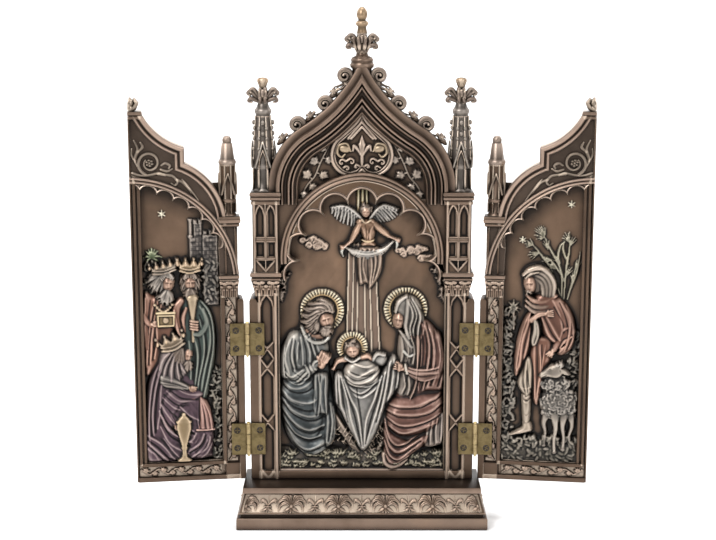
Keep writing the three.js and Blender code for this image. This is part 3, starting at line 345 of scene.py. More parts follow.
class Carving:
    """Heights above a flat ground on a grid, with a tint for each point."""

    def __init__(self, x0, x1, z0, z1, step, tint=BRONZE_WARM):
        self.x0, self.z0, self.step = x0, z0, step
        columns = int(round((x1 - x0) / step)) + 1
        rows = int(round((z1 - z0) / step)) + 1
        self.x, self.z = np.meshgrid(np.linspace(x0, x1, columns), np.linspace(z0, z1, rows))
        self.h = np.zeros_like(self.x)
        self.tint = np.broadcast_to(np.asarray(tint, float), self.x.shape + (3,)).copy()
        self.whole = False

    def window(self, x0, x1, z0, z1):
        """The part of the grid that holds a rectangle."""
        if self.whole:
            return slice(None), slice(None)
        rows, columns = self.x.shape
        i0 = int(np.clip((z0 - self.z0) / self.step - 1, 0, rows))
        i1 = int(np.clip((z1 - self.z0) / self.step + 3, 0, rows))
        j0 = int(np.clip((x0 - self.x0) / self.step - 1, 0, columns))
        j1 = int(np.clip((x1 - self.x0) / self.step + 3, 0, columns))
        return slice(i0, i1), slice(j0, j1)

    def lay(self, where, height, tint, blend=0.0):
        """Keeps the higher of the ground and the new height; blend rounds the seam."""
        old = self.h[where]
        if old.size == 0:
            return
        above = height > old
        if blend > 0:
            gap = np.clip(1 - np.abs(height - old) / blend, 0, 1)
            joined = np.maximum(height, old) + gap * gap * blend * 0.25
            self.h[where] = np.where(height > old - blend, joined, old)
        else:
            self.h[where] = np.where(above, height, old)
        if tint is not None:
            self.tint[where] = np.where(above[..., None], np.asarray(tint, float), self.tint[where])

    def dome(self, x, z, rx, rz, rise, tint=None, tilt=0.0, base=0.0, blend=0.4, power=0.5):
        """A rounded lump on an ellipse; a low power makes it flatter on top."""
        reach = max(rx, rz) + 0.5
        where = self.window(x - reach, x + reach, z - reach, z + reach)
        dx, dz = self.x[where] - x, self.z[where] - z
        c, s = cos_sin(tilt)
        u, v = (dx * c + dz * s) / rx, (-dx * s + dz * c) / rz
        inside = np.clip(1 - u * u - v * v, 0, None)
        height = np.where(inside > 0, base + rise * inside ** power, -9)
        self.lay(where, height, tint, blend)

    def stroke(self, path, widths, heights, tint=None, blend=0.1, power=0.5, add=False, mask=None,
            sharp=False):
        """A rounded ridge along a line; widths are half-widths and heights are above the ground."""
        path = np.asarray(path, float)
        count = len(path)
        widths, heights = spread(widths, count), spread(heights, count)
        reach = widths.max() + 0.5
        where = self.window(path[:, 0].min() - reach, path[:, 0].max() + reach,
                            path[:, 1].min() - reach, path[:, 1].max() + reach)
        x, z = self.x[where], self.z[where]
        if x.size == 0:
            return
        best = np.full(x.shape, 1e9)
        share = np.zeros(x.shape)
        for i in range(count - 1):
            a, b = path[i], path[i + 1]
            run = b - a
            size = max(run @ run, 1e-9)
            t = np.clip(((x - a[0]) * run[0] + (z - a[1]) * run[1]) / size, 0, 1)
            near = (x - a[0] - t * run[0]) ** 2 + (z - a[1] - t * run[1]) ** 2
            width = widths[i] + (widths[i + 1] - widths[i]) * t
            near = near / np.maximum(width, 1e-3) ** 2
            closer = near < best
            best = np.where(closer, near, best)
            share = np.where(closer, heights[i] + (heights[i + 1] - heights[i]) * t, share)
        if add:
            bump = share * (np.exp(-1.5 * np.sqrt(best)) if sharp else np.exp(-best * 1.6))
            if mask is not None:
                bump = bump * mask[where]
            self.h[where] += bump
            return
        inside = np.clip(1 - best, 0, None)
        drop = widths.mean()
        height = np.where(inside > 0, share - drop * (1 - inside ** power), -9)
        if mask is not None:
            height = np.where(mask[where] > 0.5, height, -9)
        self.lay(where, height, tint, blend)

    def ridge(self, points, steps, *shape, **more):
        """A stroke along a smooth line through a few points."""
        self.stroke(curve(points, steps), *shape, **more)

    def inside(self, outline, where=None):
        """Signed distance to a closed outline, positive inside it."""
        outline = np.asarray(outline, float)
        if where is None:
            where = self.window(outline[:, 0].min(), outline[:, 0].max(), outline[:, 1].min(),
                outline[:, 1].max())
        x, z = self.x[where], self.z[where]
        near = np.full(x.shape, 1e9)
        within = np.zeros(x.shape, bool)
        for a, b in zip(outline, np.roll(outline, -1, 0)):
            run = b - a
            size = max(run @ run, 1e-9)
            t = np.clip(((x - a[0]) * run[0] + (z - a[1]) * run[1]) / size, 0, 1)
            near = np.minimum(near, (x - a[0] - t * run[0]) ** 2 + (z - a[1] - t * run[1]) ** 2)
            crosses = ((a[1] > z) != (b[1] > z)) & (
                x < (b[0] - a[0]) * (z - a[1]) / ((b[1] - a[1]) if abs(b[1] - a[1]) > 1e-9 else 1e-9) + a[0])
            within ^= crosses
        return where, np.where(within, 1, -1) * np.sqrt(near)

    def mass(self, outline, rise, round_edge, tint, base=0.0, blend=0.3, power=0.5):
        """A swelling form with the given outline: its edges round over into a broad top."""
        where, depth = self.inside(outline)
        t = np.clip(depth / round_edge, 0, 1)
        height = np.where(depth > 0, base + rise * (1 - (1 - t) ** 2) ** power, -9)
        self.lay(where, height, tint, blend)
        mask = np.zeros_like(self.h)
        mask[where] = np.clip(depth / 0.8, 0, 1)
        return mask

    def blurred(self, field, radius):
        """field smoothed by a Gaussian of the given radius in millimetres."""
        rows, columns = field.shape
        pad = int(4 * radius / self.step) + 2
        wide = np.pad(field, pad, mode="edge")
        fz = np.fft.fftfreq(wide.shape[0], self.step)[:, None]
        fx = np.fft.rfftfreq(wide.shape[1], self.step)[None]
        weight = np.exp(-2 * (math.pi * radius) ** 2 * (fz ** 2 + fx ** 2))
        smooth = np.fft.irfft2(np.fft.rfft2(wide) * weight, wide.shape)
        return smooth[pad:pad + rows, pad:pad + columns]

    def patina_and_painted_light(self, strength=1.0):
        """Antiquing and dry-brush wear, with painted shade darkening hollows and painted highlight on ridges.
        """
        fine, broad = (self.h - self.blurred(self.h, radius) for radius in (0.55, 1.6))
        detail = fine / 0.16 + broad / 0.75
        worn_and_highlit = np.clip(detail * 0.62 - 0.14, 0, 1) * strength
        hollow = np.clip(-detail * 0.80, 0, 1) * strength
        tint = self.tint
        # light is the ridge colour, wear plus painted highlight; the hollow term is antiquing plus painted
        # shade
        light = tint * 0.4 + 0.6 * np.clip(tint * 2.6 + (0.34, 0.295, 0.25), 0, 0.9)
        tint = tint + (light - tint) * worn_and_highlit[..., None] * 0.85
        self.tint = tint * (1 - 0.92 * hollow[..., None])
        return self


def noise(shape, seed, size):
    """Smooth seeded noise between -1 and 1; size is in grid steps."""
    rng = np.random.default_rng(seed)
    rows, columns = int(shape[0] / size) + 3, int(shape[1] / size) + 3
    coarse = rng.uniform(-1, 1, (rows, columns))
    u = np.linspace(0, rows - 2.001, shape[0])
    v = np.linspace(0, columns - 2.001, shape[1])
    i, j = u.astype(int), v.astype(int)
    a, b = (u - i)[:, None], (v - j)[None]
    a, b = a * a * (3 - 2 * a), b * b * (3 - 2 * b)
    p = coarse[np.ix_(i, j)] * (1 - a) * (1 - b) + coarse[np.ix_(i + 1, j)] * a * (1 - b)
    return p + coarse[np.ix_(i, j + 1)] * (1 - a) * b + coarse[np.ix_(i + 1, j + 1)] * a * b


# ---------------------------------------------------------------- plinth

def plinth_shell():
    """A stepped block: slab, hollow neck, sloping frieze and a ledge, the same on all four sides."""
    shell = Shell()
    lo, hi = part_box("plinth")
    half, front, back, top = hi.x / MM, lo.y / MM, hi.y / MM, hi.z / MM
    rings = [(0, 0), (0, 0), (0.5, 0.35), (6.0, 0.3), (6.5, 0.1), (6.8, -0.4), (6.9, -1.5), (7.3, -1.9),
             (8.4, -1.9), (8.8, -1.5), (9.0, -0.9), (9.3, -0.8), (9.8, -1.3), (19.6, -4.0), (20.2, -4.1),
             (20.4, -3.6), (20.6, -3.2), (23.2, -3.3), (23.55, -3.5), (top, -4.0)]
    slab_stack(shell, -half + 0.35, half - 0.35, front + 0.35, back - 0.35, rings)
    low, high, foot, slope, spacing = 9.9, 19.7, 9.8, 0.276, 27
    for side in (-1, 1):
        end = Carving(-14, 14, low, high, 0.3, BRONZE)
        palmette(end, -0.6, 14.2, 0.82)
        end.patina_and_painted_light()
        lean = (end.z - foot) * slope
        deep = (half - 1.7) - lean + np.clip(end.h, 0, None) - 0.25
        face = relief_block(Shell(), end.x, end.z, deep, end.tint, half - 6)
        shell.merge(face, lambda points: np.column_stack([side * points[:, 1], points[:, 0] - 7,
            points[:, 2]]))
    frieze = Carving(-half + 3.0, half - 3.0, low, high, 0.34, BRONZE)
    for i in range(-2, 3):
        fleur(frieze, i * spacing, 14.4, 1.0)
    for i in range(-2, 2):
        palmette(frieze, (i + 0.5) * spacing, 14.2, 1.0)
    for side in (-1, 1):
        palmette(frieze, side * 66.4, 14.2, 0.85)
    frieze.h += 0.12 * np.clip(noise(frieze.h.shape, 3, 7), 0, 1)
    frieze.patina_and_painted_light()
    lean = (frieze.z - foot) * slope
    edge = np.clip((np.abs(frieze.x) - (half - 4.2)) / 1.2, 0, 1)
    depth = front + 1.85 + lean - np.clip(frieze.h, 0, 1.7) * (1 - edge) + 0.3 * edge
    span = 1 - (lean * 0.92) / (half - 3.0)
    return relief_block(shell, frieze.x * span, frieze.z, depth, frieze.tint, front + 6)


def palmette(c, x, z, size):
    """Drooping leaves that fan from one stem, with a bud over and small curls under."""
    for side in (-1, 1):
        for lift, reach, droop in ((5.4, 3.4, 0.6), (4.9, 6.2, 2.6), (3.6, 8.4, 5.6), (1.6, 7.2, 6.6)):
            tip = (x + side * reach * size, z + (lift - droop) * size)
            path = curve([(x, z - 1.2 * size), (x + side * reach * 0.45 * size, z + lift * 0.86 * size),
                          (x + side * reach * 0.86 * size, z + (lift - droop * 0.3) * size), tip], 5)
            c.stroke(path, [0.55 * size, 1.15 * size, 0.8 * size, 0.3], [1.0, 1.5, 1.3, 0.5], blend=0.15)
            c.stroke(path, [0.25], [-0.4], add=True)
        c.ridge([(x, z - 1), (x + side * 2.4 * size, z - 2.6 * size),
            (x + side * 4.6 * size, z - 3.9 * size)], 5, [0.5, 0.9, 0.3], [1.1, 1.2, 0.5], blend=0.15)
        c.ridge([(x, z - 2), (x + side * 1.6 * size, z - 3.9 * size)], 4, [0.6, 0.5], [1.1, 0.9])
    c.stroke([(x, z - 4.2 * size), (x, z + 4.9 * size)], [0.5, 1.0, 0.9, 0.35], [1.2, 1.7, 1.5, 0.6],
        blend=0.15)
    c.dome(x, z - 0.6 * size, 1.2 * size, 1.2 * size, 1.7)


def fleur(c, x, z, size):
    """A small lily with a crossing band and spread feet."""
    c.stroke([(x, z - 4.0 * size), (x, z + 4.7 * size)], [0.45, 0.7, 1.15, 0.3], [1.1, 1.4, 1.5, 0.5],
        blend=0.15)
    for side in (-1, 1):
        petal = curve([(x, z - 0.6 * size), (x + side * 1.8 * size, z + 1.6 * size),
                       (x + side * 3.9 * size, z + 2.5 * size), (x + side * 4.1 * size, z + 1.0 * size)], 5)
        c.stroke(petal, [0.5, 0.95, 0.5], [1.1, 1.4, 0.8], blend=0.15)
        foot = curve([(x, z - 1.4 * size), (x + side * 1.7 * size, z - 2.9 * size),
                      (x + side * 3.8 * size, z - 3.6 * size)], 5)
        c.stroke(foot, [0.5, 0.8, 0.3], [1.1, 1.2, 0.5], blend=0.15)
    c.stroke([(x - 1.7 * size, z - 0.9), (x + 1.7 * size, z - 0.9)], [0.45], [1.5])


# ---------------------------------------------------------------- middle panel: lines of the arch and gable

def mirrored_line(right):
    """right runs from the foot to the middle; the left half is added behind it."""
    left = right[::-1][1:] * (-1, 1)
    return np.vstack([right, left])


def gable_line(offset):
    """The ogee over the arch: a hollow curve that runs on from a round one."""
    x, radius, steps = 77.36, 89.4 - offset, 26
    low = arc(12.2, 191.9, 35 + offset, 0, 58.4, steps)
    high = arc(x, 297.85, radius, 238.4, 180 + math.degrees(math.acos(x / radius)), steps)[1:]
    high[-1, 0] = 0
    foot = np.array([[low[0, 0], 183.0]])
    return mirrored_line(np.vstack([foot, low, high]))


def arch_line(offset):
    x, z, radius = ARCH
    apex = math.degrees(math.acos(x / (radius + offset)))
    return mirrored_line(arc(-x, z, radius + offset, -4, apex, 40))


def foil_span(ring, radius, step):
    """Half the angle of a small arc on a ring, between the points where it meets the next ones."""
    meet = math.degrees(math.acos(min(1, ring * math.sin(math.radians(step / 2)) / radius)))
    return 90 + step / 2 - meet


def foil_arc(k, offset, steps=14):
    """One of nine small arcs round the top of the niche; the last on each side stop at the jamb."""
    middle, ring, radius, step = FOIL
    span = foil_span(ring, radius + offset, step)
    a = k * step
    up, across = cos_sin(a)
    x, z = ring * across, middle + ring * up
    start, end = 90 - a - span, 90 - a + span
    if abs(k) == 4:
        start, end = (max(start, -22), end) if k > 0 else (start, min(end, 202))
    return arc(x, z, radius + offset, start, end, steps)


def foil_outline():
    """The edge of the niche under the small arcs."""
    points = np.vstack([foil_arc(k, 0.4, 8) for k in range(4, -5, -1)])
    keep = (np.abs(points[:, 0]) < NICHE_HALF) & (points[:, 1] > FOIL[0] - 8)
    return points[keep]


def gable_shell():
    """The gable's moulding and the plates behind and under it."""
    shell = Shell()
    profile = [(5.0, 6.0), (5.0, -5.2), (4.7, -5.8), (4.2, -6.0), (1.3, -6.0), (1.0, -6.3), (0.7, -8.3),
        (0.4, -8.95), (-0.2, -9.1), (-1.0, -9.1), (-1.5, -8.7), (-1.7, -7.6), (-2.0, -7.2), (-2.3, -7.5),
        (-2.6, -8.2), (-3.1, -8.3), (-3.5, -7.9), (-3.7, -7.0), (-4.1, -6.5), (-5.1, -6.4), (-5.6, -6.8),
        (-5.9, -7.9), (-6.3, -8.3), (-6.9, -8.2), (-7.2, -7.7), (-7.4, -6.9), (-7.8, -6.6), (-8.1, -7.2),
        (-8.4, -7.8), (-9.0, -7.8), (-9.3, -7.2), (-9.6, -6.5), (-10.3, -6.3), (-10.6, -6.9), (-11.0, -7.2),
        (-11.4, -6.8), (-11.9, -6.0), (-12.1, -5.0), (-12.1, 1.0)]
    moulding(shell, gable_line, profile)
    under = arch_line(-2.4)
    under = under[under[:, 1] > 183.5][::-1]
    field = np.vstack([gable_line(4.9), under])
    prism(shell, field, -3.3, 3.0, 0.0)
    prism(shell, gable_line(4.9), 1.2, 6.2, 0.0)
    return shell


def arch_shell():
    """The arch's moulding, the web under it and the ribs of its small arcs."""
    shell = Shell()
    profile = [(0.9, 1.0), (0.9, -7.6), (0.7, -8.5), (0.1, -9.0), (-0.7, -8.9), (-1.0, -8.35), (-1.3, -8.5),
               (-2.1, -9.0), (-2.9, -8.7), (-3.2, -7.9), (-3.6, -7.3), (-4.4, -7.1), (-4.6, 0.4)]
    moulding(shell, arch_line, profile)
    flank = arch_line(0.2)
    flank = flank[(flank[:, 0] > 0) & (flank[:, 1] > 143) & (flank[:, 1] < 187)]
    for side in (-1, 1):
        outline = np.vstack([[(PILLAR_INNER + 0.4, 143)], [(PILLAR_INNER + 0.4, 186)],
            flank[np.argsort(-flank[:, 1])]])
        prism(shell, outline * (side, 1), -6.4, -1.6, 0.0)
    outer = arch_line(-3.9)
    outer = outer[outer[:, 1] > 144]
    web = np.vstack([[(PILLAR_INNER + 0.4, 142.5)], outer, [(-PILLAR_INNER - 0.4, 142.5)],
        foil_outline()[::-1]])
    prism(shell, web, -7.15, -1.6, 0.0, tint=BRONZE_WARM)
    ridge = [(-0.25, -2.2), (-0.25, -6.6), (0.0, -7.7), (0.45, -8.15), (1.0, -8.0), (1.3, -7.4), (1.5, -6.9),
             (1.5, -2.2)]
    for k in range(-4, 5):
        moulding(shell, lambda offset, k=k: foil_arc(k, offset), ridge, tint=(0.20, 0.145, 0.11))
    return shell


def pillar_faces():
    """Lower shafts with long sunk lancets, and upper shafts with paired lights; right side only."""
    shell = Shell()
    low = Carving(47.0, PANEL_HALF, 24.0, 133.0, 0.34, BRONZE)
    lancet = [(0, 101.6), (3.3, 105), (3.3, 125), (2.4, 128.2), (0, 131.4), (-2.4, 128.2), (-3.3, 125),
        (-3.3, 105)]
    lozenge = [(0, 99.6), (3.3, 95), (0, 90.4), (-3.3, 95)]
    cells = [lancet, lozenge] + [[(0, top + 4), (3.3, top), (3.3, foot), (0, foot - 4), (-3.3, foot),
        (-3.3, top)] for top, foot in ((84.4, 62.6), (52.4, 29.6))]
    sink_cells(low, 53.6, cells, 1.25)
    low.stroke([(48.6, 24), (48.6, 133)], [0.9], [1.2])
    low.stroke([(57.6, 24), (57.6, 133)], [0.7], [0.7])
    finish_face(shell, low, FRONT + 0.55, BACK - 2, 0.5)
    high = Carving(PILLAR_INNER, 61.0, 144.0, 185.0, 0.34, BRONZE)
    lights = [[(x - 2.1, 153.2), (x + 2.1, 153.2), (x + 2.1, 161.8), (x - 2.1, 161.8)] for x in (-3.0, 3.0)]
    lights += [[(x - 2.1, 165), (x + 2.1, 165), (x + 2.1, 177), (x + 1.2, 180.2), (x, 182), (x - 1.2, 180.2),
                (x - 2.1, 177)] for x in (-3.0, 3.0)]
    lights.append([(-4.4, 151.4), (4.4, 151.4), (0, 146.2)])
    sink_cells(high, PILLAR_MIDDLE, lights, 0.85)
    for side in (-1, 1):
        edge = PILLAR_MIDDLE + side * 6.2
        high.stroke([(edge, 144), (edge, 185)], [0.75], [0.75])
        high.stroke([(PILLAR_MIDDLE, 145.6), (PILLAR_MIDDLE + side * 5, 151.6)], [0.55], [0.55])
    high.stroke([(PILLAR_MIDDLE, 145), (PILLAR_MIDDLE, 184)], [0.5], [0.5])
    high.stroke([(48.6, 163.4), (59, 163.4)], [0.6], [0.5])
    finish_face(shell, high, FRONT + 0.3, BACK - 2, 0.4)
    return shell


def sink_cells(c, x, cells, deep):
    """Sunk panels with a raised rim round each."""
    for cell in cells:
        outline = np.asarray(cell, float) + (x, 0)
        where = c.window(outline[:, 0].min() - 2, outline[:, 0].max() + 2,
                         outline[:, 1].min() - 2, outline[:, 1].max() + 2)
        where, depth = c.inside(outline, where)
        floor = -deep * np.clip(depth / 0.55, 0, 1) ** 0.8
        rim = 0.55 * np.exp(-((depth + 0.55) / 0.45) ** 2)
        c.h[where] = np.where(depth > 0, np.minimum(c.h[where], floor), np.maximum(c.h[where], rim))


def finish_face(shell, c, front, back, edge):
    """Sets a carved face on its shaft: long edges are rounded over."""
    c.patina_and_painted_light()
    c.tint[:, (0, -1)] = BRONZE
    near = np.minimum(c.x - c.x.min(), c.x.max() - c.x)
    fall = edge * (1 - np.sqrt(np.clip(1 - (1 - np.clip(near / edge, 0, 1)) ** 2, 0, 1)))
    relief_block(shell, c.x, c.z, front - c.h + fall, c.tint, back)


def capital_face(shell, x_mid, narrow, wide, z0, z1, front, back, flare):
    """A bell of upright leaves that widens towards its top."""
    c = Carving(-narrow, narrow, z0, z1, 0.26, BRONZE)
    height = z1 - z0
    for k, x in enumerate(np.linspace(-narrow * 0.98, narrow * 0.98, 5)):
        tall = 0.80 if k % 2 else 0.62
        path = [(x, z0 - 0.4), (x, z0 + height * tall * 0.6), (x, z0 + height * tall)]
        c.stroke(path, [1.5, 1.75, 0.9], [0.9, 1.4, 1.9])
        c.stroke(path, [0.3], [-0.5], add=True)
        for side in (-1, 1):
            c.dome(x + side * 1.35, z0 + height * tall * 0.74, 0.8, 0.9, 0.9, base=0.7)
        c.dome(x, z0 + height * tall, 1.25, 0.9, 1.2, base=1.1)
    for side in (-1, 1):
        for x in (-narrow * 0.5, narrow * 0.5):
            c.dome(x + side * 1.5, z1 - 1.5, 1.3, 1.1, 1.2, base=0.6)
    c.patina_and_painted_light()
    share = np.clip((c.z - z0) / height, 0, 1)
    swell = narrow + (wide - narrow) * share ** 1.6
    relief_block(shell, x_mid + c.x / narrow * swell, c.z, front - flare * share ** 1.6 - c.h * 0.62, c.tint,
        back)


def upright_parts():
    """Strips, capitals, abaci and plain shafts; right side only."""
    shell = Shell()
    rounded = arc((PANEL_HALF + STRIP) / 2, STRIP_TOP - 2.3, (STRIP - PANEL_HALF) / 2 - 0.05, 0, 180, 12)
    strip = np.vstack([[(PANEL_HALF - 1, 24.0), (STRIP - 0.05, 24.0)], rounded,
        [(PANEL_HALF - 1, STRIP_TOP - 2.3)]])
    prism(shell, strip, FRONT, BACK, 0.35)
    capital_face(shell, 53.7, 6.3, 8.5, 131.4, 140.5, FRONT + 0.35, BACK - 2, 0.5)
    slab_stack(shell, 46.0, 61.8, FRONT - 0.4, BACK - 2, [(140.2, -0.2), (140.4, 0.1), (141.2, 0.25),
        (141.6, -0.25), (142.0, -0.3), (142.3, 0.4), (142.6, 0.75), (143.9, 0.8), (144.3, 0.6), (144.6, 0.1),
        (145.0, -0.2)])
    slab_stack(shell, 46.2, 61.2, FRONT - 0.2, BACK - 2.2, [
        (183.0, 0.0), (183.4, 0.3), (184.6, 0.4), (185.0, 0.1), (185.4, 0.15), (185.9, 0.9), (187.0, 1.0),
        (187.3, 0.6), (187.7, 0.7), (188.1, 1.1), (189.2, 1.15), (189.6, 0.9), (190.0, 0.3)])
    return shell


def pinnacle_shell():
    """An eight-sided spirelet with gablets, studs and a leafy cross; right side only."""
    x, base = PINNACLE_X, 190.0
    shell = Shell()
    lathe(shell, x, 0, base - 1.0, [(6.4, 0), (6.4, 1.8), (5.7, 2.6), (5.6, 13), (6.3, 14), (6.6, 15.2),
        (6.2, 16.6), (5.7, 27), (4.2, 42.6)], 8, SILVERED, turn=22.5)
    lathe(shell, x, 0, base - 1.0, [(3.8, 42), (4.3, 43.8), (4.7, 44.6), (4.7, 45.8), (4.2, 46.6),
        (3.5, 47.6), (2.9, 49.4), (2.5, 52), (2.4, 56)], 24, SILVERED)
    for k in range(8):
        co, si = cos_sin(22.5 + 45 * k)
        foot = np.array([x + 6.2 * co, 6.2 * si, base + 1.0])
        top = np.array([x + 4.4 * co, 4.4 * si, base + 41.4])
        mid = (foot + top) / 2 + np.array([0.35 * co, 0.35 * si, 0])
        tube(shell, [foot, mid, top], [0.55, 0.5, 0.45], 6, tint=SILVER_EDGE)
        for i in range(4):
            share = 0.42 + i * 0.14
            place = foot + (top - foot) * share
            ball(shell, place + np.array([0.5 * co, 0.5 * si, 0]), (1.0, 1.0, 1.2), SILVER_EDGE, 8, 5)
    for k in range(4):
        co, si = cos_sin(90 * k - 90)
        out, side = np.array([co, si, 0]), np.array([-si, co, 0])
        centre = np.array([x, 0, 0]) + out * 5.9

        def spot(u, z, lift):
            return centre + side * u + out * lift + np.array([0, 0, z])
        for s in (-1, 1):
            tube(shell, [spot(s * 4.2, 203.5, 0.2), spot(s * 2.4, 209.5, 0.7), spot(0, 217.6, 0.2)],
                 [0.55, 0.6, 0.5], 6, tint=SILVER_EDGE)
            tube(shell, [spot(s * 2.1, 203, 0.4), spot(s * 1.9, 208, 0.5), spot(0, 213, 0.3)],
                [0.4, 0.4, 0.3], 6)
            tube(shell, [spot(s * 2.6, 192.5, -0.2), spot(s * 2.6, 202, -0.2)], [0.45, 0.45], 6)
        for z in (222, 228):
            ball(shell, spot(0, z, -0.6), (1.1, 1.1, 1.5), SILVER_EDGE, 8, 5)
    leafy_cross(shell, x, 242.4, 9.4, 1.0)
    lathe(shell, x, 0, 245.5, [(1.5, 0), (1.7, 1.0), (2.4, 3.2), (3.1, 5.0), (3.0, 6.2), (2.2, 6.9),
        (0.7, 7.2)], 20, tint=GOLD, squash=0.8)
    for a in (-40, -20, 0, 20, 40):
        c, s = cos_sin(90 - a)
        tube(shell, [(x + 0.6 * c, -1.6, 246 + 0.6 * s), (x + 3.2 * c, -2.1, 246.6 + 5.0 * s)], [0.35, 0.5],
            6, tint=GOLD)
    return shell


def leafy_cross(shell, x, z, reach, size):
    """Four clusters of curled leaves round a neck: left, right, front and back."""
    dark, light = (0.165, 0.125, 0.100), (0.235, 0.185, 0.150)
    lathe(shell, x, 0, z - 6, [(2.4, 0), (2.0, 2), (2.3, 4.5), (3.1, 6.5), (2.2, 8.2), (1.0, 9)], 16, dark)
    for a, length in ((0, reach), (180, reach), (90, 5.4), (-90, 5.0)):
        out = np.array([*cos_sin(a), 0])
        side = np.array([-out[1], out[0], 0])
        base = np.array([x, 0, z])

        def leaf(points, offset, radii, tint):
            path = [base + out * u + side * offset * (0.5 + u / length) + (0, 0, v) for u, v in points]
            line = curve(path, 4)
            tube(shell, line, spread(radii, len(line)) * size, 7, tint)
            ball(shell, line[-1], (radii[-1] * size * 1.25,) * 3, tint, 8, 5)
        far = length - 1.1 * size
        leaf([(0.6, -3.0), (0.40 * far, -0.6), (0.78 * far, 2.6), (far, 1.7), (0.86 * far, 0.5)], 0.0,
             (1.3, 1.5, 1.4, 1.1, 0.7), light)
        for s in (-1, 1):
            leaf([(0.6, -2.2), (0.34 * far, 1.2), (0.62 * far, 4.0), (0.86 * far, 3.4), (0.78 * far, 2.2)],
                s * 1.3, (0.8, 1.0, 1.0, 0.8, 0.5), light)
            leaf([(0.6, -3.4), (0.40 * far, -2.2), (0.80 * far, -1.2), (0.94 * far, -2.6),
                (0.74 * far, -3.2)], s * 1.1, (1.0, 1.3, 1.2, 0.9, 0.5), dark)
    for a in (-60, -120, 60, 120):
        co, si = cos_sin(a)
        tube(shell, [(x + 1.6 * co, 1.6 * si, z - 4), (x + 3.0 * co, 3.2 * si, z - 0.5),
            (x + 3.4 * co, 3.8 * si, z + 3.2), (x + 4.0 * co, 4.4 * si, z + 3.0)], [0.9, 1.2, 0.9, 0.5], 7,
            light)


def crocket(shell, x, z, size, lean):
    """A leaf that climbs the gable's edge and rolls up into a ribbed scroll."""
    light, dark = (0.225, 0.176, 0.142), (0.110, 0.083, 0.064)
    turns = []
    for t in np.linspace(0, 1, 42):
        co, si = cos_sin(lean + 262 - 590 * t)
        r = size * (1 - 0.84 * t)
        turns.append((x + r * co, -2.4 - 0.5 * t, z + r * si))
    tube(shell, turns, np.interp(np.linspace(0, 1, 42), [0, 0.3, 0.7, 1], [1.0, 1.0, 0.8, 0.7]) * size / 5, 8,
        light)
    ball(shell, turns[-1], (0.9, 0.9, 0.9), light, 8, 5)
    for offset, radius in ((0.84, 0.42), (0.70, 0.36)):
        inner = [(x + (px - x) * offset, y - 0.1, z + (pz - z) * offset) for px, y, pz in turns[:26]]
        tube(shell, inner, radius * size / 5, 6, (0.17, 0.13, 0.105))
    # a near-black disc behind the scroll, tinted as painted shadow between its turns
    disc = arc(x, z, size * 0.80, 0, 348, 29)
    prism(shell, disc, -0.4, 2.4, 0.5, 2, (0.040, 0.030, 0.024))
    back = [(px, 2.6 + 0.2 * i / 41, pz) for i, (px, _, pz) in enumerate(turns[:26])]
    tube(shell, back, 0.8 * size / 5, 6)
    for drop, length, half in ((0.95, 1.35, 1.3), (1.35, 1.0, 1.1), (0.55, 1.1, 1.0)):
        tail = curve([(x - 0.3 * size, z - drop * size), (x + 0.45 * size, z - (drop + 0.45) * size),
                      (x + length * size, z - (drop + 0.65) * size)], 5)
        tube(shell, [(px, -2.0 + 0.4 * drop, pz) for px, pz in tail],
             np.linspace(half, 0.45, len(tail)), 7, light if drop == 0.95 else dark)


def gable_trim():
    """Crockets and buds up the gable's edge; right side only."""
    shell = Shell()
    for (x, z), lean in zip([(9.6, 253.6), (20.6, 238.2), (36.0, 226.6)], (8, -2, -12)):
        crocket(shell, x, z, 5.1, lean)
    for x, z in [(15.0, 244.6), (28.2, 231.6), (43.6, 219.4)]:
        for turn, r in ((135, 3.2), (75, 2.4), (15, 2.2), (-35, 2.8)):
            co, si = cos_sin(turn)
            tube(shell, [(x - 0.4 * co, -0.8, z - 0.4 * si - 1.2), (x + r * 0.5 * co, -1.6, z + r * 0.5 * si),
                         (x + r * co, -1.2, z + r * si + 0.2), (x + r * co + 0.7, -1.5, z + r * si - 0.7)],
                 [0.8, 1.15, 0.8, 0.4], 7, (0.20, 0.155, 0.125))
        ball(shell, (x, -1.6, z - 0.6), (1.5, 1.5, 1.3), (0.15, 0.115, 0.09), 8, 5)
        tube(shell, [(x - 2.6, -1.0, z - 1.6), (x, -1.0, z - 1.4), (x + 3.0, -1.0, z - 3.4)], [1.1, 1.4, 1.0],
            7)
    return shell


def finial_shell():
    """The neck, leaves and bud on top of the gable."""
    shell = Shell()
    light = (0.22, 0.17, 0.135)
    lathe(shell, 0, 0, 0, [(5.2, 254.5), (5.4, 257.4), (6.5, 258.6), (6.7, 259.8), (6.1, 260.7), (6.0, 261.4),
                           (6.3, 262.4), (5.6, 263.6), (3.6, 264.6), (3.1, 266), (3.3, 266.8), (2.8, 268),
                           (3.2, 272), (2.6, 277)], 28)
    leafy_cross(shell, 0, 271.8, 9.9, 1.12)
    for a in range(0, 360, 45):
        c, s = cos_sin(a + 22)
        tube(shell, [(2.4 * c, 2.4 * s, 266.4), (3.9 * c, 3.9 * s, 270), (5.0 * c, 5.0 * s, 274.6),
                     (5.9 * c, 5.9 * s, 274.2)], [0.9, 1.2, 1.0, 0.7], 7, light)
    lathe(shell, 0, 0, 0, [(2.2, 275.5), (2.9, 277), (2.6, 278.4), (2.3, 280.2), (3.3, 281.3), (3.6, 282.2),
        (3.0, 283.1), (2.0, 283.9), (2.3, 284.6), (2.9, 285.8), (3.05, 287.2), (2.6, 289.0), (1.7, 290.4),
        (0.6, 291.1)], 24, tint=GOLD)
    return shell


# ---------------------------------------------------------------- wings, drawn for the right side
# s runs from the hinge axis to the outer end; the left wing is the mirror image.

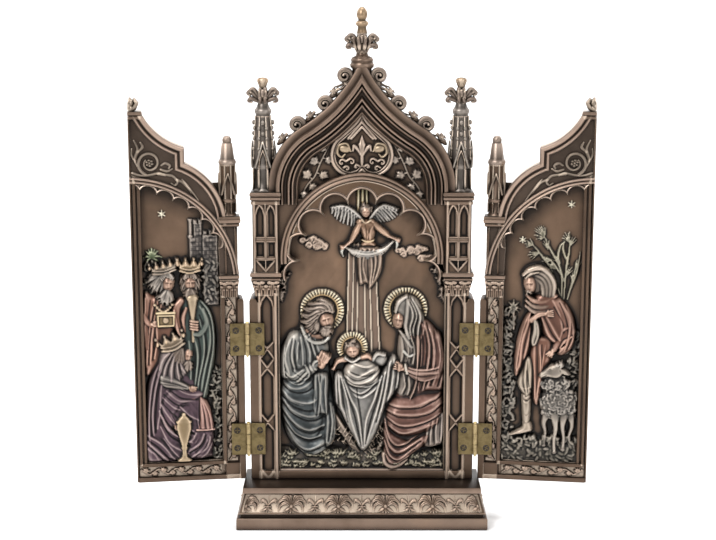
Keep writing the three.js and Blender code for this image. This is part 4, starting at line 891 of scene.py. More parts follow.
def wing_arch_line(offset):
    s, z = WING_ARCH
    r = 60 + offset
    start = 180 - math.degrees(math.asin(5 / r))
    end = math.degrees(math.acos((WING_END - s) / r))
    return arc(s, z, r, start, end, 44)


def wing_foil(k, offset):
    """One of the small arcs under the wing's arch; the first stops at the outer edge."""
    ring, radius, step, first = WING_FOIL
    span = foil_span(ring, radius + offset, step)
    a = 90 + first + k * step
    co, si = cos_sin(a)
    last = max(a - span, 97) if k == 0 else a - span
    return arc(WING_ARCH[0] + ring * co, WING_ARCH[1] + ring * si, radius + offset, a + span, last, 8)


def wing_foil_outline():
    """The edge of the wing's relief under the small arcs."""
    points = np.vstack([wing_foil(k, 0.3) for k in range(7, -1, -1)])
    return points[(points[:, 0] > 14.5) & (points[:, 0] < 57.5)]


def wing_gable_line(inset):
    """The sweep from the inner strip up to the outer corner: a round curve, then a hollow one."""
    steps = 22
    low_end = math.degrees(math.acos((33 + inset - 47.7) / (37.5 - inset)))
    low = arc(47.7, 172, 37.5 - inset, 180, low_end, steps)
    high_start = -math.degrees(math.acos((33 + inset - 23.5) / (36 + inset)))
    high_end = math.degrees(math.asin((233 - 249.9) / (36 + inset)))
    return np.vstack([low, arc(23.5, 249.9, 36 + inset, high_start, high_end, steps)])


def wing_shell():
    """One wing: plates, frame, mouldings, uprights and leaves."""
    shell = Shell()
    gable = wing_gable_line(0)
    outline = np.vstack([[(4.4, 24.4), (WING_END, 24.4), (WING_END, 235.0), (55.5, 235.0)], gable[::-1],
                         [(4.4, 174.0)]])
    prism(shell, outline, 8.4, 13.5, 0.3)
    strip = np.vstack([arc(3.35, 128.2, 1.8, 180, 0, 10)[:, :2], [(5.2, 24.4), (1.55, 24.4)]])
    prism(shell, strip, 1.5, 13.4, 0.35)
    field = np.vstack([[(4.45, 143.0)], [(4.45, 173.9)], gable, [(55.5, 234.9), (WING_END - 1.2, 234.9),
                       (WING_END - 1.2, 196.5), (57.4, 192)], wing_foil_outline()[::-1], [(14.6, 143.0)]])
    prism(shell, field, 3.7, 9.0, 0.0, tint=(0.066, 0.046, 0.034))
    for outline, front in [
        ([(4.45, 24.45), (14.5, 24.45), (14.5, 144), (4.45, 144)], 3.7),
        ([(14.0, 24.45), (WING_END - 1.2, 24.45), (WING_END - 1.2, 35.8), (14.0, 35.8)], 3.7),
        ([(57.5, 30), (WING_END - 1.2, 30), (WING_END - 1.2, 200), (57.5, 200)], 3.4),
        ([(57.5, 34.5), (59.2, 34.5), (59.2, 194), (57.5, 192)], 2.3),
        ([(60.1, 34.5), (61.6, 34.5), (61.6, 199.4), (60.1, 197.4)], 1.6),
        ([(62.3, 24.5), (WING_END, 24.5), (WING_END, 232), (62.3, 232)], 2.2),
        ([(12.2, 33.4), (14.3, 33.4), (14.3, 132), (12.2, 132)], 1.6),
        ([(13.0, 33.5), (61.0, 33.5), (61.0, 35.5), (13.0, 35.5)], 1.6),
        ([(4.5, 24.5), (WING_END - 0.9, 24.5), (WING_END - 0.9, 27.2), (4.5, 27.2)], 1.6),
        ([(4.5, 24.5), (13.0, 24.5), (13.0, 34.0), (4.5, 34.0)], 2.0),
    ]:
        prism(shell, outline, front, 8.6, 0.45)
    arch = [(0.4, 6), (0.4, 3.0), (0.2, 1.9), (-0.4, 1.45), (-1.0, 1.7), (-1.35, 2.2), (-1.7, 1.8),
        (-2.3, 1.45), (-2.9, 1.8), (-3.1, 2.8), (-3.5, 3.2), (-3.6, 6)]
    moulding(shell, wing_arch_line, arch, (0.17, 0.12, 0.09))
    web = [(0.3, 8.2), (0.3, 3.9), (0.5, 3.0), (0.8, 2.5), (1.3, 2.7), (1.7, 3.6), (1.7, 8.2)]
    for k in range(0, 7):
        moulding(shell, lambda offset, k=k: wing_foil(k, -offset), [(-a, y) for a, y in web],
            (0.22, 0.165, 0.13))
    rim = [(-0.05, 12.5), (-0.05, 2.6), (0.15, 1.9), (0.6, 1.5), (1.9, 1.5), (2.4, 1.9), (2.7, 3.0),
        (3.3, 3.1), (3.6, 2.5), (4.2, 2.1), (5.0, 2.2), (5.4, 2.8), (5.6, 3.6), (5.6, 6.0)]
    moulding(shell, wing_gable_line, rim, (0.165, 0.115, 0.085))
    wing_uprights(shell)
    wing_vines(shell)
    wing_scrolls(shell)
    return shell


def wing_uprights(shell):
    """The inner strip's capital, its ledges and the turret over it."""
    capital_face(shell, 9.5, 4.4, 5.5, 131.0, 140.6, 1.75, 9, 0.35)
    slab_stack(shell, 4.5, 14.5, 1.5, 11.5, [
        (140.2, -0.4), (140.5, 0.2), (141.0, 0.3), (141.3, 0.0), (141.7, 0.7), (142.9, 0.8), (143.4, 0.3)])
    slab_stack(shell, 3.4, 14.0, 1.3, 11.5, [
        (170.8, -0.6), (171.3, 0.0), (172.2, 0.1), (172.6, -0.3), (173.2, 0.5), (174.6, 0.75), (175.1, 0.4),
        (175.6, 0.5), (176.4, 0.45), (176.8, -0.2)])
    for x0, x1 in ((4.6, 6.1), (10.6, 11.6)):
        prism(shell, [(x0, 144), (x1, 144), (x1, 171), (x0, 166)], 2.6, 6, 0.4)
    s, y = 9.3, 6.9
    lathe(shell, s, y, 0, [(5.0, 176.0), (5.0, 177.2), (4.1, 178.4), (4.0, 183.6), (4.9, 184.6), (5.0, 185.6),
                           (4.3, 186.4), (4.3, 205.4)], 8, turn=22.5)
    lathe(shell, s, y, 0, [(4.2, 204.6), (4.9, 205.8), (5.0, 206.8), (4.5, 207.8), (4.0, 208.4), (3.0, 216.6),
                           (2.4, 217.4), (2.6, 218.2), (2.5, 219.3), (1.8, 220.6), (0.6, 221.1)], 24,
          tint=(0.19, 0.145, 0.115))
    edge = (0.22, 0.17, 0.13)
    for k in range(8):
        co, si = cos_sin(22.5 + 45 * k)
        tube(shell, [(s + 4.4 * co, y + 4.4 * si, 186.6), (s + 4.3 * co, y + 4.3 * si, 205)], [0.5, 0.5], 6,
            edge)
    for k in range(4):
        co, si = cos_sin(90 * k - 90)
        out, side = np.array([co, si, 0]), np.array([-si, co, 0])
        for sign in (-1, 1):
            line = [(sign * 3.5, 189.0), (sign * 2.4, 193.6), (0, 200.4)]
            tube(shell, [np.array([s, y, z]) + out * 4.7 + side * u for u, z in line], [0.55, 0.6, 0.45], 6,
                edge)
            tube(shell, [np.array([s, y, z]) + out * 4.3 + side * sign * 1.6 for z in (178.6, 184)],
                 [0.45, 0.45], 6)


def wing_vines(shell):
    """A leafy vine along the foot and up the inner strip."""
    for area, spots, vine_seed, noise_seed in (
            ((15.2, 61.8, 27.4, 33.4), [(s, 30.4) for s in np.linspace(16, 61, 10)], 5, 8),
            ((6.2, 11.8, 35.0, 131.0), [(9.0, z) for z in np.linspace(36, 130, 19)], 9, 9)):
        c = Carving(*area, 0.3, BRONZE)
        running_vine(c, spots, 1.5, vine_seed)
        c.h += 0.2 * np.clip(noise(c.h.shape, noise_seed, 5), 0, 1)
        c.patina_and_painted_light()
        relief_block(shell, c.x, c.z, 3.6 - c.h, c.tint, 6)


def running_vine(c, spots, swing, seed):
    """A stem that swings from side to side, with a lobed leaf in each bend."""
    rng = np.random.default_rng(seed)
    spots = np.asarray(spots, float)
    run = unit(spots[-1] - spots[0])
    across = np.array([-run[1], run[0]])
    stem = [p + across * swing * (1 if i % 2 else -1) for i, p in enumerate(spots)]
    c.ridge(stem, 6, [0.5], [1.1])
    for i, p in enumerate(spots[:-1]):
        q = (p + spots[i + 1]) / 2
        way = -1 if i % 2 else 1
        centre = q + across * way * swing * 0.3
        for a in (-75, -35, 0, 35, 75):
            turn = math.radians(a + rng.uniform(-6, 6))
            tip = centre + (across * way * math.cos(turn) + run * math.sin(turn)) * 2.1
            c.stroke([centre - across * way * 0.6, (centre + tip) / 2, tip], [0.5, 0.85, 0.4],
                [1.3, 1.6, 0.9])
        c.dome(centre[0] - across[0] * way * 0.8, centre[1] - across[1] * way * 0.8, 0.7, 0.7, 1.6)


def wing_scrolls(shell):
    """A rolled acanthus scroll with a rosette in the spandrel, and a bud on the outer corner."""
    light = (0.255, 0.205, 0.160)
    s, z = 52, 207
    turns = []
    for t in np.linspace(0, 1, 40):
        co, si = cos_sin(-70 + 470 * t)
        r = 6.6 - 4.0 * t
        turns.append((s + r * co, 2.9, z + r * si))
    tube(shell, turns, np.linspace(0.95, 0.5, 40), 7, light)
    for k in range(6):
        co, si = cos_sin(60 * k + 20)
        ball(shell, (s + 1.5 * co, 3.2, z + 1.5 * si), (1.0, 0.9, 0.8), light, 8, 5)
    ball(shell, (s, 2.6, z), (0.8, 0.8, 0.8), light, 8, 5)
    for line, radii in [([(61.5, 201.6), (57, 200.2), (52, 200.4), (47, 201.4), (43.5, 200.0)],
            [1.0, 0.9, 0.6]), ([(57.6, 204), (59.8, 209), (58.2, 214.6), (60.2, 219.6)], [0.7, 1.0, 0.4]),
            ([(58.4, 213), (55.6, 215.8), (56.6, 218.4)], [0.7, 0.9, 0.5]),
            ([(59.6, 208), (61.6, 211.6), (61.4, 215)], [0.6, 0.7, 0.4]),
            ([(45.6, 205.6), (43.4, 206.8), (41.0, 205.6), (41.6, 203.8)], [0.6, 0.9, 0.6]),
            ([(46.0, 203.4), (42.6, 202.4), (39.6, 203.6)], [0.7, 0.9, 0.4]),
            ([(47.5, 201.0), (43, 200.4), (39.4, 199.6), (37.0, 196.6), (38.4, 194.4), (40.4, 195.6)],
            [0.9, 0.8, 0.45]), ([(37.4, 197.6), (33.6, 195.6), (29, 190.4), (25.6, 185.6)], [0.8, 0.9, 0.3]),
            ([(34.4, 197.6), (31.6, 194.0), (29.6, 190.0)], [0.5, 0.7, 0.3]),
            ([(61.6, 196.0), (60.6, 198.6), (61.8, 200.6)], [0.6, 0.9, 0.5])]:
        path = curve(line, 5)
        tube(shell, [(a, 3.4, b) for a, b in path], spread(radii, len(path)), 7, light)
    slab_stack(shell, 56.2, 62.6, 1.8, 12.6, [(231.0, -0.3), (231.5, 0.2), (232.6, 0.2), (233.0, -0.2),
        (233.5, 0.6), (234.6, 0.7), (235.2, 0.3)])
    for z, r in ((236.6, 3.0), (239.4, 2.6)):
        ball(shell, (61.0, 7.5, z), (2.2, 3.6, r), light, 12, 8)
    for y in (4.9, 7.5, 10.1):
        tube(shell, [(61.6, y, 235.2), (59.2, y - 0.6, 237.2), (58.0, y - 0.8, 239.6), (59.4, y, 241.6)],
             [1.1, 1.3, 1.2, 0.8], 8, light)
    tube(shell, [(61.9, 7.5, 236), (61.8, 7.5, 240), (61.6, 7.5, 242.3)], [1.4, 1.3, 0.7], 10, light,
        flat=1.8)


# ---------------------------------------------------------------- hinges and screws

def hinge_leaf_shell(knuckles):
    """Leaf towards +x from the axis at the origin, with rounded corners and knuckles round the axis."""
    shell = Shell()
    width, half, front, back = 9.6, 9.25, 0.4, 1.2
    corner = 0.5
    outline = [(1.0, -half), (width - corner, -half), (width - 0.15, -half + 0.15), (width, -half + corner),
               (width, half - corner), (width - 0.15, half - 0.15), (width - corner, half), (1.0, half)]
    brass = (0.165, 0.124, 0.058)
    prism(shell, outline, front, back, 0.22, 3, brass)
    thirds = [(-half, -half / 3), (half / 3, half)] if knuckles == 2 else [(-half / 3, half / 3)]
    for z0, z1 in thirds:
        ring = [(0.95, z0 + 0.1), (1.15, z0 + 0.1), (1.35, z0 + 0.3), (1.35, z1 - 0.3), (1.15, z1 - 0.1),
                (0.95, z1 - 0.1)]
        sides = 28
        angles = np.linspace(0, 2 * math.pi, sides, endpoint=False)
        rows = [np.stack([r * np.cos(angles), r * np.sin(angles), np.full(sides, z)], 1) for r, z in ring]
        shell.add(np.concatenate(rows), grid_faces(len(rows), sides, wrap_rows=True, wrap_columns=True),
                  (0.40, 0.31, 0.165))
        prism(shell, [(0.5, z0 + 0.15), (2.4, z0 + 0.15), (2.4, z1 - 0.15), (0.5, z1 - 0.15)], front + 0.02,
              back - 0.02, 0.1, 2, brass)
    return shell


def pin_shell():
    """A hinge pin with a domed head at each end."""
    shell = Shell()
    half = 9.55
    lathe(shell, 0, 0, 0, [(0.35, -half - 0.7), (0.62, -half - 0.5), (0.65, -half), (0.65, half), (1.1, half),
        (1.15, half + 0.35), (0.85, half + 0.7), (0.3, half + 0.8)], 20, (0.50, 0.39, 0.18))
    return shell


def screw_shell(turn):
    """A small dished screw head with a cross cut into it; its face is at y = 0.1 and it looks to -y."""
    shell = Shell()
    radii = [0.02, 0.5, 0.9, 1.3, 1.6, 1.8, 1.9, 1.9]
    depths = [0.0, 0.01, 0.03, 0.08, 0.14, 0.22, 0.3, 0.42]
    sides = 48
    angles = np.linspace(0, 2 * math.pi, sides, endpoint=False)
    points = []
    for r, y in zip(radii, depths):
        for a in angles:
            u = abs(((math.degrees(a) - turn + 45) % 90) - 45)
            across = r * math.sin(math.radians(u))
            slot = 0.34 if across < 0.26 and r < 1.45 else 0.0
            points.append((r * math.cos(a), 0.1 + y + slot, r * math.sin(a)))
    for y in (0.52, 4.9):
        points += [(0.8 * math.cos(a), y, 0.8 * math.sin(a)) for a in angles]
    return shell.add(points, capped_faces(len(radii) + 2, sides), (0.045, 0.038, 0.034))


# ---------------------------------------------------------------- things carved in relief

SKIN = (0.20, 0.118, 0.082)
HAIR = (0.088, 0.064, 0.050)
TEAL = (0.047, 0.055, 0.057)
ASH = (0.104, 0.106, 0.101)
RUSSET = (0.108, 0.051, 0.038)
LINEN = (0.200, 0.189, 0.175)
VEIL = (0.165, 0.148, 0.130)
SWADDLE = (0.215, 0.195, 0.172)
BODICE = (0.165, 0.092, 0.054)
GOLD_LEAF = (0.50, 0.36, 0.19)
STRAW = (0.110, 0.084, 0.060)
PLUM = (0.072, 0.042, 0.054)
SAGE = (0.042, 0.060, 0.052)
ROSE = (0.135, 0.062, 0.052)
CLAY = (0.150, 0.070, 0.046)


def pleats(c, mask, lines, ridge, width, valley=0.65, start=0.35):
    """Folds of cloth: each line is a crest, with a hollow and now and then a small fold between."""
    rng = np.random.default_rng(len(lines) * 97 + int(abs(lines[0][0][0] * 31 + lines[0][0][1] * 17)))
    crests = []
    for line in lines:
        line = np.asarray(line, float)
        line[1:-1] += rng.normal(0, 0.55, line[1:-1].shape)
        crests.append(curve(line, 6))
    for line in crests:
        high, wide = ridge * rng.uniform(0.7, 1.4), width * rng.uniform(0.65, 1.4)
        heights = [high * start, high * rng.uniform(0.6, 1.2), high, high * rng.uniform(0.35, 0.9)]
        c.stroke(line, [wide * 0.6, wide * 1.1, wide * rng.uniform(0.6, 1.0)], heights, add=True, mask=mask,
            sharp=True)
    for a, b in zip(crests, crests[1:]):
        count = min(len(a), len(b))
        pick = np.linspace(0, 1, count)
        even = [line[np.round(pick * (len(line) - 1)).astype(int)] for line in (a, b)]
        share = rng.uniform(0.3, 0.7)
        middle = even[0] * share + even[1] * (1 - share)
        c.stroke(middle, [width * 0.4, width * 0.6], [-valley * 0.8, -valley * 1.25], add=True, mask=mask,
            sharp=True)
        for near in (0.2, 0.8):
            if rng.uniform() < 0.45:
                first, last = sorted(rng.integers(0, count, 2))
                if last - first > 4:
                    side = (even[0] * near + even[1] * (1 - near))[first:last]
                    c.stroke(side, [width * 0.25, width * 0.4, width * 0.25], [0.1, ridge * 0.55, 0.1],
                        add=True, mask=mask, sharp=True)


def drape(c, outline, rise, edge, tint, lines, ridge=1.0, width=1.0, valley=0.8, power=0.5):
    """A swelling piece of cloth with its folds, a little crumpled between them."""
    mask = c.mass(curve(outline, 5, True), rise, edge, tint, power=power)
    if lines:
        seed = int(abs(outline[0][0] * 13 + outline[1][1] * 7))
        c.h += mask * (0.20 * noise(c.h.shape, seed, 11) + 0.10 * noise(c.h.shape, seed + 1, 5))
        pleats(c, mask, lines, ridge, width, valley, 0.6)
    return mask


def cloth(c, outline, rise, edge, tint, lines, ridge, width, valley=0.65, start=0.35, power=0.6):
    """A swelling piece of cloth with its folds, smooth between them."""
    pleats(c, c.mass(curve(outline, 5, True), rise, edge, tint, power=power), lines, ridge, width, valley,
        start)


def tresses(c, x, z, rx, rz, base, rise, parting, first, last, count, seed, tint=HAIR, wave=0.5):
    """Wavy strands that run from a parting over a rounded head to its outline."""
    rng = np.random.default_rng(seed)
    parting = np.asarray(parting, float)
    for i in range(count):
        a = math.radians(first + (last - first) * (i + rng.uniform(-0.3, 0.3)) / (count - 1))
        run = np.array([x + rx * math.cos(a), z + rz * math.sin(a)]) - parting
        side = np.array([-run[1], run[0]]) / max(np.hypot(*run), 1e-6)
        phase = rng.uniform(0, 6)
        steps = np.linspace(0.04, rng.uniform(0.9, 1.04), 8)
        path = np.array([parting + run * t + side * wave * math.sin(7 * t + phase) * t for t in steps])
        r = ((path[:, 0] - x) / rx) ** 2 + ((path[:, 1] - z) / rz) ** 2
        heights = base + rise * np.sqrt(np.clip(1 - r, 0.03, 1)) + rng.uniform(0.2, 0.8)
        c.stroke(path, [0.35, 0.62, 0.66, 0.4], heights, tint, blend=0.05)


def face(c, x, z, rx, rz, base, rise, turn, tilt):
    """A calm, plain face on an egg-shaped head; turn moves the middle line from side to side."""
    c.dome(x, z, rx, rz, rise, SKIN, tilt, base, blend=0.3)
    co, si = cos_sin(tilt)

    def spot(u, v):
        u, v = u * rx, v * rz
        return x + u * co - v * si, z + u * si + v * co

    mid = turn * 0.42
    narrow = 1 - 0.35 * abs(turn)
    for side in (-1, 1):
        eye = spot(mid + side * 0.36 * narrow, 0.04)
        c.stroke([spot(mid + side * 0.20 * narrow, 0.05), spot(mid + side * 0.52 * narrow, 0.03)],
            [0.15 * rx], [-0.5], add=True)
        c.stroke([eye, eye + np.array([0.01, 0])], [0.10 * rx], [0.28], add=True)
        c.stroke([spot(mid + side * 0.14 * narrow, 0.20), spot(mid + side * 0.56 * narrow, 0.18)],
            [0.10 * rx], [0.32], add=True)
        c.stroke([spot(mid + side * 0.40 * narrow, -0.28), spot(mid + side * 0.42 * narrow, -0.30)],
            [0.24 * rx], [0.25], add=True)
    c.stroke([spot(mid * 0.95, 0.12), spot(mid * 1.12, -0.30)], [0.09 * rx, 0.16 * rx], [0.45, 1.05],
        add=True)
    c.stroke([spot(mid - 0.16, -0.54), spot(mid + 0.16, -0.54)], [0.07 * rx], [-0.35], add=True)
    c.stroke([spot(mid - 0.12, -0.62), spot(mid + 0.12, -0.62)], [0.07 * rx], [0.25], add=True)
    c.stroke([spot(mid, -0.86), spot(mid, -0.88)], [0.20 * rx], [0.30], add=True)


def curls(c, x, z, rx, rz, base, rise, seed, count, size, tint=HAIR):
    """Short curls scattered over a rounded head of hair or beard."""
    rng = np.random.default_rng(seed)
    for _ in range(count):
        a, r = rng.uniform(0, 2 * math.pi), math.sqrt(rng.uniform(0, 1)) * 0.96
        u, v = x + rx * r * math.cos(a), z + rz * r * math.sin(a)
        level = base + rise * math.sqrt(max(0.05, 1 - r * r))
        t = rng.uniform(0, 2 * math.pi)
        bend = rng.choice((-1, 1))
        path = [(u + size * math.cos(t + bend * k * 0.9) * (1 - 0.18 * k),
                 v + size * math.sin(t + bend * k * 0.9) * (1 - 0.18 * k)) for k in range(5)]
        c.stroke(path, [0.34 * size + 0.1, 0.42 * size + 0.1], [level + 0.45, level + 0.2], tint)


def halo(c, x, z, inner, outer, level, count):
    """A flat ring of gold rays over a sunk field."""
    c.dome(x, z, outer + 0.5, outer + 0.5, 0.5, (0.10, 0.065, 0.045), base=level - 0.9, power=0.05)
    for i in range(count):
        co, si = cos_sin(360 * i / count)
        c.stroke([(x + inner * co, z + inner * si), (x + outer * co, z + outer * si)], [0.34, 0.56],
            [level, level + 0.35], GOLD_LEAF, blend=0.05)
    ring = arc(x, z, inner, 0, 360, 40)
    c.stroke(ring, [0.45], [level + 0.1], (0.45, 0.30, 0.15), blend=0.05)


def hand(c, x, z, angle, size, level, fan, fingers=4):
    """A small hand seen from the side of the palm, fingers along the angle and fan degrees apart."""
    a = math.radians(angle)
    co, si = math.cos(a), math.sin(a)
    c.stroke([(x, z), (x + co * size * 0.9, z + si * size * 0.9)], [0.62 * size, 0.58 * size],
        [level, level + 0.3], SKIN, blend=0.2)
    for k in range(fingers):
        b = a + math.radians((k - (fingers - 1) / 2) * fan)
        off = (k - (fingers - 1) / 2) * 0.30 * size
        root = (x + co * size * 0.9 - si * off, z + si * size * 0.9 + co * off)
        tip = (root[0] + math.cos(b) * size * 1.15, root[1] + math.sin(b) * size * 1.15)
        c.stroke([root, tip], [0.21 * size + 0.1, 0.15 * size + 0.1], [level + 0.45, level + 0.1], SKIN)
    thumb = a + math.radians(55)
    c.stroke([(x + co * size * 0.3, z + si * size * 0.3), (x + co * size * 0.5 + math.cos(thumb) * size * 0.9,
        z + si * size * 0.5 + math.sin(thumb) * size * 0.9)], [0.22 * size + 0.1, 0.15 * size + 0.1],
        [level + 0.5, level + 0.2], SKIN)


def grass(c, x0, x1, z0, z1, seed, count, level, long, tint=(0.082, 0.076, 0.050)):
    """Tufts of bent blades."""
    rng = np.random.default_rng(seed)
    for _ in range(count):
        x, z = rng.uniform(x0, x1), rng.uniform(z0, z1)
        shade = rng.uniform(0.75, 1.2)
        for lean in np.linspace(-0.9, 0.9, 5) + rng.uniform(-0.25, 0.25, 5):
            size = long * rng.uniform(0.6, 1.0) * (1 - 0.35 * abs(lean))
            path = curve([(x, z), (x + lean * size * 0.35, z + size * 0.55),
                (x + lean * size, z + size * 0.8)], 4)
            c.stroke(path, [0.42, 0.50, 0.16], [level * 0.8, level + rng.uniform(0, 0.9), level * 0.7],
                tuple(v * shade for v in tint), blend=0.05)


def scrub(c, x0, x1, z0, z1, seed, count, level, size, tint):
    """Small round leaves packed together."""
    rng = np.random.default_rng(seed)
    for _ in range(int(count * 0.6)):
        x, z = rng.uniform(x0, x1), rng.uniform(z0, z1)
        shade = rng.uniform(0.6, 1.0)
        turn = rng.uniform(0, 180)
        c.dome(x, z, size * rng.uniform(0.9, 1.5), size * rng.uniform(0.45, 0.7), 0.8,
            tuple(v * shade for v in tint), turn, level + rng.uniform(-0.5, 0.5), blend=0.2)


def fringe(c, x, z, rx, rz, level, seed, tint=HAIR):
    """Short hair along the brow."""
    rng = np.random.default_rng(seed)
    for a in np.radians(np.linspace(30, 150, 11)):
        root = (x + rx * 1.04 * math.cos(a), z + rz * 1.04 * math.sin(a))
        tip = (x + rx * 0.78 * math.cos(a) + rng.uniform(-0.4, 0.4),
            z + rz * rng.uniform(0.58, 0.74) * math.sin(a))
        c.stroke([root, tip], [0.7, 0.3], [level, level + 0.5], tint, blend=0.05)


def star(c, x, z, size):
    """Six thin rays."""
    for k in range(6):
        co, si = cos_sin(90 + 60 * k)
        c.stroke([(x, z), (x + size * co, z + size * si)], [0.5, 0.16], [1.1, 0.5], (0.42, 0.32, 0.20))


def cloud(c, x, z, seed, reach):
    """Curling clouds in low relief."""
    rng = np.random.default_rng(seed)
    tint = (0.20, 0.145, 0.11)
    for _ in range(9):
        u = x + reach * rng.uniform(-1, 1)
        v = z + 0.42 * reach * rng.uniform(-1, 1) * (1 - abs(u - x) / (reach * 1.6))
        r = rng.uniform(1.3, 2.3)
        turn = rng.choice((-1, 1))
        path = [(u + turn * r * (1 - 0.13 * k) * math.cos(0.9 * k),
            v + r * (1 - 0.13 * k) * math.sin(0.9 * k)) for k in range(6)]
        c.dome(u, v, r, r * 0.9, 1.0, tint, base=0.2)
        c.ridge(path, 3, [0.5, 0.6, 0.35], [1.5, 1.7, 1.4], tint)


# ---------------------------------------------------------------- middle panel: the Nativity

def nativity():
    """The whole carving of the middle panel."""
    c = Carving(-47.3, 47.3, 28.3, 191.6, 0.42)
    c.h += 0.12 * noise(c.h.shape, 11, 60) + 0.07 * noise(c.h.shape, 12, 14)
    streak = noise((c.h.shape[0] // 6 + 1, c.h.shape[1]), 13, 5).repeat(6, 0)[:c.h.shape[0]]
    slant = noise((300, 300), 15, 7)
    row = ((c.z * 0.9 - c.x * 1.4) / 0.5).astype(int) % 300
    column = ((c.x * 0.9 + c.z * 1.4) / 5).astype(int) % 300
    # edge darkens the wall towards its sides and top as painted shade near the niche's walls and arch
    edge = 1.12 - 0.42 * np.clip(np.abs(c.x) / 46, 0, 1) ** 2 - 0.16 * np.clip((c.z - 150) / 40, 0, 1)
    c.tint *= (edge + 0.10 * streak + 0.20 * noise(c.h.shape, 14, 45) + 0.07 * slant[row, column])[..., None]
    light_column(c)
    corbels(c)
    # painted shadow: the wall darkens under the arch
    arch_shadow = np.clip((np.hypot(c.x, c.z - 148.2) - 35) / 9, 0, 1) * (c.z > 148)
    c.tint *= (1 - 0.45 * arch_shadow)[..., None]
    for x, z, seed, reach in ((-28.6, 160.4, 21, 6.4), (-23.2, 158.4, 22, 3.4), (25.5, 155.2, 23, 5.6),
                              (32.5, 156.0, 24, 5.6), (36.4, 151.6, 25, 2.6)):
        cloud(c, x, z, seed, reach)
    ground(c)
    cradle(c)
    angel_figure(c)
    joseph_figure(c)
    mary_figure(c)
    child_figure(c)
    return c


def light_column(c):
    """Broad shafts of light that widen downward from the angel's cloth, each with bright edges."""
    warm = (0.165, 0.112, 0.082)
    beams = ((-7.2, -9.0), (-4.4, -6.0), (-2.0, -3.2), (1.2, 2.2), (4.0, 5.8), (7.2, 10.6))
    for (top_a, low_a), (top_b, low_b) in zip(beams, beams[1:]):
        edge_a, edge_b = (top_a, 160, low_a, 88), (top_b, 160, low_b, 88)
        outline = [edge_a[:2], edge_b[:2], edge_b[2:], edge_a[2:]]
        c.mass(outline, 1.1, 0.7, warm, blend=0.05)
    for top, low in beams:
        c.stroke([(top, 160), (low, 88)], [0.34, 0.44], [1.5, 1.7], (0.26, 0.185, 0.14))
    for x in (-2.0, 0.4, 2.8):
        c.stroke([(x, 178), (x, 191)], [0.75], [1.3], GOLD_LEAF, blend=0.05, power=0.8)


def corbels(c):
    """Clumps of leaves in the upper corners, under the arch's ends, tinted dark as painted shade."""
    rng = np.random.default_rng(35)
    for side in (-1, 1):
        for _ in range(34):
            share = rng.uniform(0, 1)
            x = side * (47.0 - (1.0 + 6.0 * share ** 1.4) * rng.uniform(0.1, 1))
            z = 128 + 18 * share
            a = math.radians(rng.uniform(150, 290)) if side > 0 else math.radians(rng.uniform(-110, 30))
            size = rng.uniform(1.4, 2.6)
            # the dark tint is painted shade in the corners
            c.ridge([(x, z), (x + size * 0.6 * math.cos(a), z + size * 0.6 * math.sin(a) + 0.3),
                (x + size * math.cos(a), z + size * math.sin(a) - 0.3)], 4, [0.5, 0.75, 0.3], [2.2, 3.0, 2.0],
                (0.070, 0.050, 0.038), blend=0.05)


def ground(c):
    """A bank of grass at the front."""
    bank = np.clip((41.5 - c.z) / 8, 0, 1)
    rise = 5.2 * bank ** 0.6 + 0.5 * noise(c.h.shape, 31, 9) * bank
    c.lay((slice(None), slice(None)), np.where(bank > 0, rise, -9), (0.075, 0.060, 0.046))
    grass(c, -46, 46, 33, 37, 41, 52, 5.0, 6.2)
    grass(c, -47, 47, 28.8, 32, 42, 66, 6.2, 5.2, (0.098, 0.088, 0.058))
    c.stroke([(-47.3, 28.6), (47.3, 28.6)], [0.9], [7.2], (0.12, 0.08, 0.06))


def cradle(c):
    """Crossed poles and loose straw under the child."""
    rng = np.random.default_rng(51)
    for x0, z0, x1, z1 in ((-18, 64, -2, 38), (-15, 56, 0, 34), (14, 62, 2, 38), (17, 52, 6, 34)):
        c.stroke([(x0, z0), (x1, z1)], [1.5], [3.4], (0.12, 0.09, 0.07), blend=0.2)
    for _ in range(110):
        x, z = rng.uniform(-18, 13), rng.uniform(33, 62)
        if abs(x + 2) > (z - 30) * 0.55 + 2 or z < 52:
            a = rng.uniform(0.5, 1.2) * rng.choice((-1, 1)) + (0.2 if x < 0 else math.pi - 0.2)
            size = rng.uniform(2.0, 4.5)
            c.stroke([(x, z), (x + size * math.cos(a), z + size * math.sin(a))], [0.34, 0.22], [4.4, 3.6],
                STRAW, blend=0.05)


